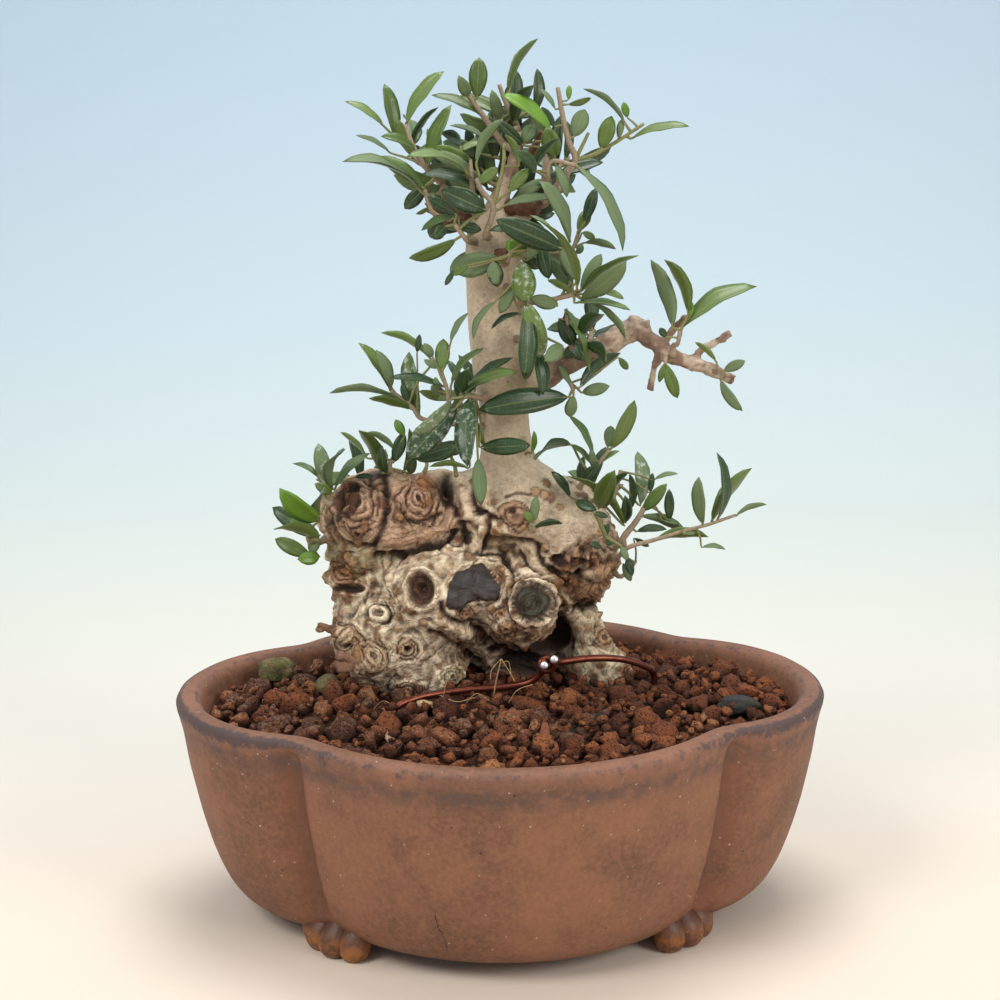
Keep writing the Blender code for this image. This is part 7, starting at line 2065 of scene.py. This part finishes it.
def seated(line, girth, wood_tree):
    """The first twig's line, started inside the bark square to its surface."""
    start = along(line, 0.3)
    outside = np.flatnonzero(wood_gap(start) > girth + 0.5)
    free = start[outside[0]] if len(outside) else start[-1]
    hit, normal, _, _ = wood_tree.find_nearest(Vector(free * MM))
    hit, normal = np.array(hit) / MM, np.array(normal)
    rest = [p for p in line[1:] if np.linalg.norm(p - hit) > 2.0 and wood_gap(p[None])[0] > 0.8]
    return np.array([hit - 0.9 * normal, hit + 0.3 * normal, hit + 1.7 * normal, *rest])


def make_spray(name, lines, leaves, wood_tree):
    """One spray: twigs thinning from a collar at the wood, petioles and blades."""
    girth = SPRAYS[name].girth if name in SPRAYS else BACK_GIRTH
    batch = Batch()
    spine = rounded(seated(lines[0], girth, wood_tree), 0.7)
    run = np.linspace(0.0, 1.0, len(spine))
    collar = 0.5 * girth * bell(run * len(spine), 2.2)
    knuckles = 0.08 * girth * np.sin(np.arange(len(spine)) * 1.9) ** 4
    add_stalk(batch, spine, girth * (1.0 - 0.4 * run) + collar + knuckles, TWIG_GREY, 8)
    twigs = [spine]
    for line in lines[1:]:
        path = rounded(line, 0.8)
        add_stalk(batch, path, np.linspace(0.72, 0.5, len(path)) * girth, TWIG_GREEN, 6)
        twigs.append(path)
    feet = np.concatenate([along(path, 0.3) for path in twigs])
    for leaf, tone, index, key in leaves:
        foot = nearest(feet, leaf.foot)
        reach = np.linalg.norm(leaf.base - foot)
        ahead = unit(leaf.tip - leaf.base)
        bend = 0.5 * (foot + leaf.base) + 0.06 * reach * ahead
        path = rounded((foot, bend, leaf.base, leaf.at(0.09)), 0.6)
        thick = min(0.34, 0.16 + 0.05 * leaf.width)
        add_stalk(batch, path, np.linspace(1.15, 0.75, len(path)) * thick, TWIG_GREEN, 5)
        add_blade(batch, leaf, tone, index, float(key in LIME), float(key in CUT_TIP))
    return batch.piece(name + "_fine")


# %% [markdown]
# ### The leaf's finish
#
# The upper side is leathery and dark with a paler midrib and fine side veins. The underside is
# dull blue-grey. Some blades carry dry white spots of hard water.

# %% Leaf material
def leaf_finish():
    leaf = Finish("olive leaf")
    under = leaf.read("under").step(0.42, 0.58)
    across, length, share = leaf.read("across"), leaf.read("length"), leaf.read("share")
    twig, lime, cut = leaf.read("twig"), leaf.read("lime"), leaf.read("cut")
    aside = across.maths("ABSOLUTE", across)
    midrib = (1 - aside.step(0.03, 0.11)) * (1 - twig)
    slant = length * 3.4 - aside * 4.5
    veins = slant.maths("SINE", slant).step(0.80, 1.0)
    cloud = leaf.noise(3.0, 4.0, 0.6)
    fine = leaf.noise(0.6, 3.0, 0.6)
    upper = leaf.read("leaf_colour")
    upper = leaf.layers(
        upper,
        ((cloud - 0.3).clipped() * 0.7, leaf.mix(0.45, upper, (0.01, 0.03, 0.01))),
        (midrib * 0.34 + veins * 0.05, (0.22, 0.28, 0.10)))
    below = leaf.layers(
        UNDERSIDE, (cloud * 0.6, (0.10, 0.17, 0.07)), (midrib * 0.3, (0.30, 0.36, 0.18)))
    spots = leaf.noise(1.6, 5.0, 0.75).step(0.50, 0.66) * lime
    dots = leaf.noise(0.35, 2.0, 0.6).step(0.62, 0.72) * (1 - twig) * 0.35
    colour = leaf.layers(
        upper,
        (under * (1 - twig), below),
        (aside.step(0.88, 1.0) * (1 - twig) * 0.35, (0.32, 0.38, 0.16)),
        (twig * fine.step(0.45, 0.7) * 0.5, (0.13, 0.10, 0.06)),
        ((spots * 0.75 + dots * (1 - under) * 0.5).clipped(), (0.55, 0.60, 0.54)),
        (cut * share.step(0.86, 0.90), (0.20, 0.10, 0.05)))
    rough = 0.36 + under * 0.3 + twig * 0.35 + spots * 0.4 + cloud * 0.12
    relief = (1 - midrib) * 0.5 + (1 - veins) * 0.12 + fine * 0.15
    return leaf.done(Base_Color=colour, Roughness=rough.clipped(),
                     Coat_Weight=(1 - under) * (1 - twig) * 0.12, Normal=leaf.bump(relief, 0.18, 0.7))


# %% [markdown]
# ### Leaves between the sprays
#
# Many leaves of the crown and the trunk are seen only in part. They are placed one by one and
# stand on the nearest twig, or on the bark. Deep in the crown seeded leaves, most of them of the
# dark tone as painted shade, fill the gaps that the sky would shine through.

# %% Leaves in between
# Base x, z, front, tip x, z, front, width and tone
FILLING = (
    (-4, 172.5, -20, -12.5, 175.4, -22, 4.6, "B"), (-5, 168.4, -13, -15.5, 173, -15, 4.6, "D"),
    (-3.5, 167.4, -12, -17, 169.6, -13, 3.2, "B"), (-8, 174, -20, 0.4, 175.2, -17, 2, "B"),
    (-2.4, 181, -18, -1, 171.5, -19, 3.6, "D"), (7.4, 172.5, -20, 4.4, 163.6, -21, 4.4, "D"),
    (1.6, 172, -22, 7.6, 165.8, -24, 4.4, "B"), (3.6, 183, -20, 2, 175.6, -21, 5, "D"),
    (6.6, 182, -18, 10.6, 175.4, -19, 4.8, "B"), (-15.5, 169.5, -18, -19.4, 174.6, -20, 4.2, "D"),
    (-10.5, 163, -18, -6.5, 170.5, -22, 5, "D"), (-12, 158, -18, -15.5, 154.6, -19, 5, "D"),
    (-9.5, 157.5, -6, -4, 156.2, -5, 3.2, "D"), (-1.4, 149.6, -4, -0.6, 143.6, -3, 4.2, "D"),
    (6, 138.8, -3, 5.4, 123.2, 1, 5.2, "D"), (7.8, 129.6, -5, 9.6, 119.4, -3, 3.2, "D"),
    (-9, 118.2, -9, -7.6, 125, -10, 5, "D"), (8.8, 153.4, -9, 10.8, 145.4, -8, 4.2, "D"),
    (13, 136.6, -9, 16.6, 130.6, -9, 4.2, "D"), (7.2, 106.2, -9, 7.6, 111.4, -9, 1.6, "N"),
    (11, 149.8, -10, 16.2, 144, -8, 4.2, "B"), (15.4, 145.6, -8, 15, 153.2, -9, 4.8, "D"),
    (42, 87.5, -2, 44.5, 87.6, -2, 1, "B"), (27.5, 84.7, 1, 29.2, 81.2, 2, 2, "B"),
    (21.5, 92.5, 0, 24.6, 91.4, 1, 1.6, "D"), (9, 178, -22, 13, 172.6, -23, 4.6, "D"),
    (12.6, 166, -18, 8, 160.4, -20, 5, "D"), (-16, 166, -20, -21, 160.8, -21, 4, "D"),
    (2, 158, -22, 10.5, 154.2, -23, 6.5, "D"), (-6.5, 160, -22, -1, 153.6, -21, 5, "D"),
    (14, 128, -12, 19.5, 131.6, -12, 4, "D"), (-24, 104, -14, -21.6, 111, -15, 3.6, "D"),
    (-16.5, 104.6, -12, -9, 108.6, -13, 4.6, "D"), (-11, 105.5, -12, -6.2, 112, -13, 4.4, "D"),
)
TWIG_REACH = 3.0
# Leaves deep in the crown, most of the dark tone as painted shade: how many, and the oval that they spread
# in, x, z and radii
INNER_LEAVES = 40
INNER_OVAL = (-0.5, 160.0, 9.5, 11.5)


def inner_rows():
    """Seeded rows like the table's, pointing out and a little up from the crown's middle."""
    draws = np.random.default_rng(5)
    x, z, rx, rz = INNER_OVAL
    rows = []
    for turn in draws.uniform(0.0, 2.0 * math.pi, INNER_LEAVES):
        out, up, back = math.cos(turn), math.sin(turn), draws.uniform(17.0, 24.0)
        share, length = draws.uniform(0.25, 0.9), draws.uniform(6.5, 10.5)
        base = (x + share * rx * out, z + share * rz * up, -back)
        tip = (base[0] + length * out, base[1] + length * (up + 0.3), -back - draws.uniform(0.0, 2.0))
        rows.append((*base, *tip, 0.42 * length, "D" if draws.random() < 0.7 else "B"))
    return rows


def make_filling(lines):
    batch = Batch()
    twigs = np.concatenate([along(line, 0.4) for rows in lines.values() for line in rows])
    for index, (*ends, width, tone) in enumerate([*FILLING, *inner_rows()], 900):
        base, tip = spot(*ends[:3]), spot(*ends[3:])
        bark_foot = np.array(bark_tree.find_nearest(Vector(base * MM))[0]) / MM
        foot = min(bark_foot, nearest(twigs, base), key=lambda place: np.linalg.norm(place - base))
        new = Leaf(foot, base, tip, width, index)
        path = rounded((foot, 0.5 * (foot + base) + 0.04 * (tip - base), base, new.at(0.09)), 0.6)
        thick = 0.3 if np.linalg.norm(foot - base) < TWIG_REACH else 0.5
        add_stalk(batch, path, np.linspace(1.15, 0.7, len(path)) * thick, TWIG_GREEN, 5)
        add_blade(batch, new, tone, index)
    return batch.piece("crown_filling")


# %% [markdown]
# ### All sprays, placed and built

# %% Sprays
def make_sprays():
    leaf = leaf_finish()
    lines, leaves = place_leaves()
    for name, rows in lines.items():
        piece = make_spray(name, rows, leaves[name], bark_tree)
        dress(piece, leaf, "leaf", name)
    dress(make_filling(lines), leaf, "leaf")


make_sprays()

# %% [markdown]
# ## Roots, chips and broken wood
#
# Straw-thin roots rise from the soil under the burl, a clump of bark and a few chips lie at the
# front, and short broken stubs are left where branches and a root of the burl were taken off.

# %% Thin roots
# Stops of each root as seen, x, z and front, and its radius
ROOTS = (
    (((-1.6, 47.6, 8), (-1, 52, 8.6), (0.3, 57.8, 8)), 0.17),
    (((0.3, 57.8, 8), (2.2, 54.6, 9), (3.4, 52.4, 9.6)), 0.12),
    (((0.3, 57.8, 8), (-2, 55, 9), (-2.2, 52.6, 9.4)), 0.10),
    (((0, 56.6, 8), (1.8, 57.2, 8.6), (2.6, 54, 9)), 0.09),
    (((-13.4, 47, 12), (-12.8, 50.6, 13), (-12, 53.4, 12)), 0.10),
    (((-14, 49, 12), (-10, 47.4, 14), (-6, 48.4, 13)), 0.10),
    (((-8, 47, 13), (-5.4, 49.4, 14), (-2.4, 47.6, 13)), 0.09),
    (((2, 47.2, 12), (4, 50.2, 12), (7.6, 51.6, 11)), 0.10),
    (((26, 46.6, 6), (28.6, 50, 7), (31, 48.4, 6)), 0.09),
    (((-30, 45, 8), (-27, 47.6, 9), (-24.6, 46.2, 10)), 0.08),
)
STRAW = rgb(190, 160, 112)
# Chips: place x, y, z in the pot's frame, half length, width and thickness, two turns, colour
CHIPS_LYING = (
    (15.5, -20.5, 49, 4.6, 2.4, 1.5, 0.3, 0.3, UMBER),
    (19.6, -21.8, 48.8, 3.8, 2, 1.3, 1.2, 0.5, PITCH),
    (13, -23, 48.4, 3.2, 1.9, 1.3, 2.2, 0.2, PITCH),
    (17.4, -24.6, 48.6, 3.6, 2.2, 1.4, 0.8, 0.1, UMBER),
    (15.2, -17.6, 50, 2.6, 1.5, 1, 2.6, 0.7, rgb(120, 92, 66)),
    (20.8, -18.4, 49.2, 2.4, 1.4, 1, 0.2, 0.9, UMBER),
    (12.2, -27.4, 47.8, 2.8, 1.7, 1.2, 1.7, 0.3, rgb(110, 86, 58)),
    (6.4, -34.6, 49.6, 4.4, 1.4, 0.5, 1.3, 1.15, rgb(140, 82, 52)),
    (-17.8, -9.2, 50.2, 2.3, 1, 0.9, 2.9, 0.1, rgb(214, 188, 138)),
    (-44.6, -21, 48.6, 3.4, 1.1, 0.5, 0.6, 0.25, rgb(128, 90, 64)),
    (-26.5, -27.5, 49, 1.6, 1, 0.7, 2, 0.4, rgb(186, 150, 120)),
    (-52.5, 2, 48.6, 2.6, 2, 1.3, 0.9, 0.2, PITCH),
    (31.5, -30, 48.6, 2.2, 0.9, 0.4, 2.5, 0.5, rgb(120, 76, 52)),
    (44, -18, 48.8, 3, 0.8, 0.4, 0.9, 0.4, rgb(134, 96, 62)),
)
# Broken stubs: stops as seen, radius and colour
BROKEN, ROOT_BROWN = rgb(112, 76, 52), rgb(150, 112, 88)
STUBS = (
    (((0.5, 160.6, -17), (4, 161.2, -13), (8.2, 160.8, -11)), 1.9, BROKEN),
    (((-7, 158.4, -15), (-9.4, 158.6, -12), (-11.2, 157.8, -10)), 2, BROKEN),
    (((-12.6, 161.6, -15), (-14.6, 160.4, -12)), 1.6, BROKEN),
    (((-1.5, 150.5, -12), (1.6, 150.6, -6)), 1.5, BROKEN),
    (((6.6, 171, -15), (7.4, 174, -14), (9.2, 177.4, -13)), 0.9, BROKEN),
    (((-28.4, 57.4, 1), (-31.5, 56.9, 4), (-34.6, 56.4, 5.8), (-37.8, 55.9, 6.8)), 1.45, ROOT_BROWN),
    (((-33.2, 56.8, 5), (-35.6, 57.8, 6.6), (-37.4, 58.6, 7.4)), 0.95, ROOT_BROWN),
)


def plain(colour):
    """The bark material's values for a part without growth lines."""
    return {"bark_colour": colour, "lines": 0.0, "line_amount": 0.0, "trunk": 0.0}


def make_litter():
    """Roots and stubs are tubes through their stops, chips are lumpy balls stretched and turned."""
    roots, chips, stubs = Batch(), Batch(), Batch()
    for stops, radius in ROOTS:
        path = rounded(spot(*np.array(stops, float).T), 0.4)
        roots.add(*tube(path, radius, 6), **plain(STRAW))
    dress(roots.piece("thin_roots"), bark, "bark")
    shape, faces = cube_sphere(4)
    for seed, (x, y, z, length, width, thick, turn, tilt, colour) in enumerate(CHIPS_LYING):
        ragged = shape * (1.0 + 0.3 * noise(shape, 0.6, seed, 2))[:, None] * (length, width, thick)
        c, s = math.cos(tilt), math.sin(tilt)
        ragged = ragged @ np.array(((c, 0.0, s), (0.0, 1.0, 0.0), (-s, 0.0, c)))
        c, s = math.cos(turn), math.sin(turn)
        ragged = ragged @ np.array(((c, s, 0.0), (-s, c, 0.0), (0.0, 0.0, 1.0)))
        chips.add(ragged + (x, y, z), faces, **plain(colour))
    dress(chips.piece("chips"), bark, "bark")
    for stops, radius, colour in STUBS:
        path = rounded(spot(*np.array(stops, float).T), 0.35)
        points, quads, tris = tube(path, radius, 22)
        rough = 0.3 * radius * swirl(points, 1.1, (91, 92, 93), 2)
        stubs.add(points + rough, quads, tris, **plain(colour))
    dress(stubs.piece("broken_stubs"), bark, "bark")


make_litter()

# %% [markdown]
# ## Floor, backdrop and light
#
# The tree stands on a cream floor before a pale backdrop, under large soft lamps: one high
# on the left, one overhead and one lower on the right, with a bright sky of even light. The
# sweep's colour ramps from warm cream on the floor to blue-grey high on the wall: partly its
# own colour, partly painted light, the fall of light up the wall.

# %% Stage
# The level floor from front to back, the radius of its bend, the wall's top and half the width
FLOOR_START, FLOOR_END, SWEEP, WALL_TOP, HALF_WIDTH = -900.0, 420.0, 330.0, 1500.0, 1400.0


def make_stage():
    """Floor and backdrop as one sweep: level, a quarter circle, then upright."""
    t = np.linspace(0.0, 0.5 * math.pi, 40)
    bend = np.stack((FLOOR_END + SWEEP * np.sin(t), SWEEP - SWEEP * np.cos(t)), axis=1)
    curve = np.concatenate((((FLOOR_START, 0.0),), bend, ((FLOOR_END + SWEEP, WALL_TOP),)))
    x = np.array((-HALF_WIDTH, HALF_WIDTH))
    points = turned(np.tile(x, len(curve)), np.repeat(curve[:, 0], 2), np.repeat(curve[:, 1], 2))
    sweep = Batch()
    sweep.add(points, grid_faces(len(curve), 2))
    sweep = sweep.piece("floor")
    paper = Finish("studio sweep")
    back, height = paper.part("Y", paper.place), paper.part("Z", paper.place)
    # The ramp darkens and cools from the floor up the wall: partly the paper's colour, partly painted
    # light.
    shade = paper.node("ShaderNodeValToRGB", {"stops": (
        (0.0, rgb(230, 215, 198)), (0.09, rgb(226, 218, 206)), (0.26, rgb(219, 220, 209)),
        (0.43, rgb(219, 226, 220)), (0.57, rgb(210, 222, 222)), (0.68, rgb(202, 218, 224)),
        (0.85, rgb(193, 211, 223)), (0.95, rgb(187, 207, 220)))}, Fac=back + height * 0.8)
    sweep.data.materials.append(paper.done(Base_Color=shade, Roughness=0.9))


def lamp(name, place, target, size, power, colour):
    light = bpy.data.lights.new(name, "AREA")
    light.shape, light.size, light.energy, light.color = "DISK", size, power, colour
    obj = bpy.data.objects.new(name, light)
    obj.location = place
    obj.rotation_euler = (Vector(target) - Vector(place)).to_track_quat("-Z", "Y").to_euler()
    scene.collection.objects.link(obj)


make_stage()
lamp("high left", (-0.55, -0.45, 0.75), (0.0, 0.0, 0.09), 0.45, 4.4, (1.0, 0.98, 0.95))
lamp("overhead", (0.05, 0.15, 0.85), (0.0, 0.0, 0.08), 0.5, 4.4, (1.0, 1.0, 1.0))
lamp("right", (0.62, -0.58, 0.5), (0.0, 0.0, 0.07), 0.4, 3.6, (1.0, 0.96, 0.9))
world = bpy.data.worlds.new("soft sky")
world.use_nodes = True
world.node_tree.nodes["Background"].inputs["Color"].default_value = (0.86, 0.92, 1.0, 1.0)
world.node_tree.nodes["Background"].inputs["Strength"].default_value = 0.45
scene.world = world
scene.view_settings.view_transform = "Standard"
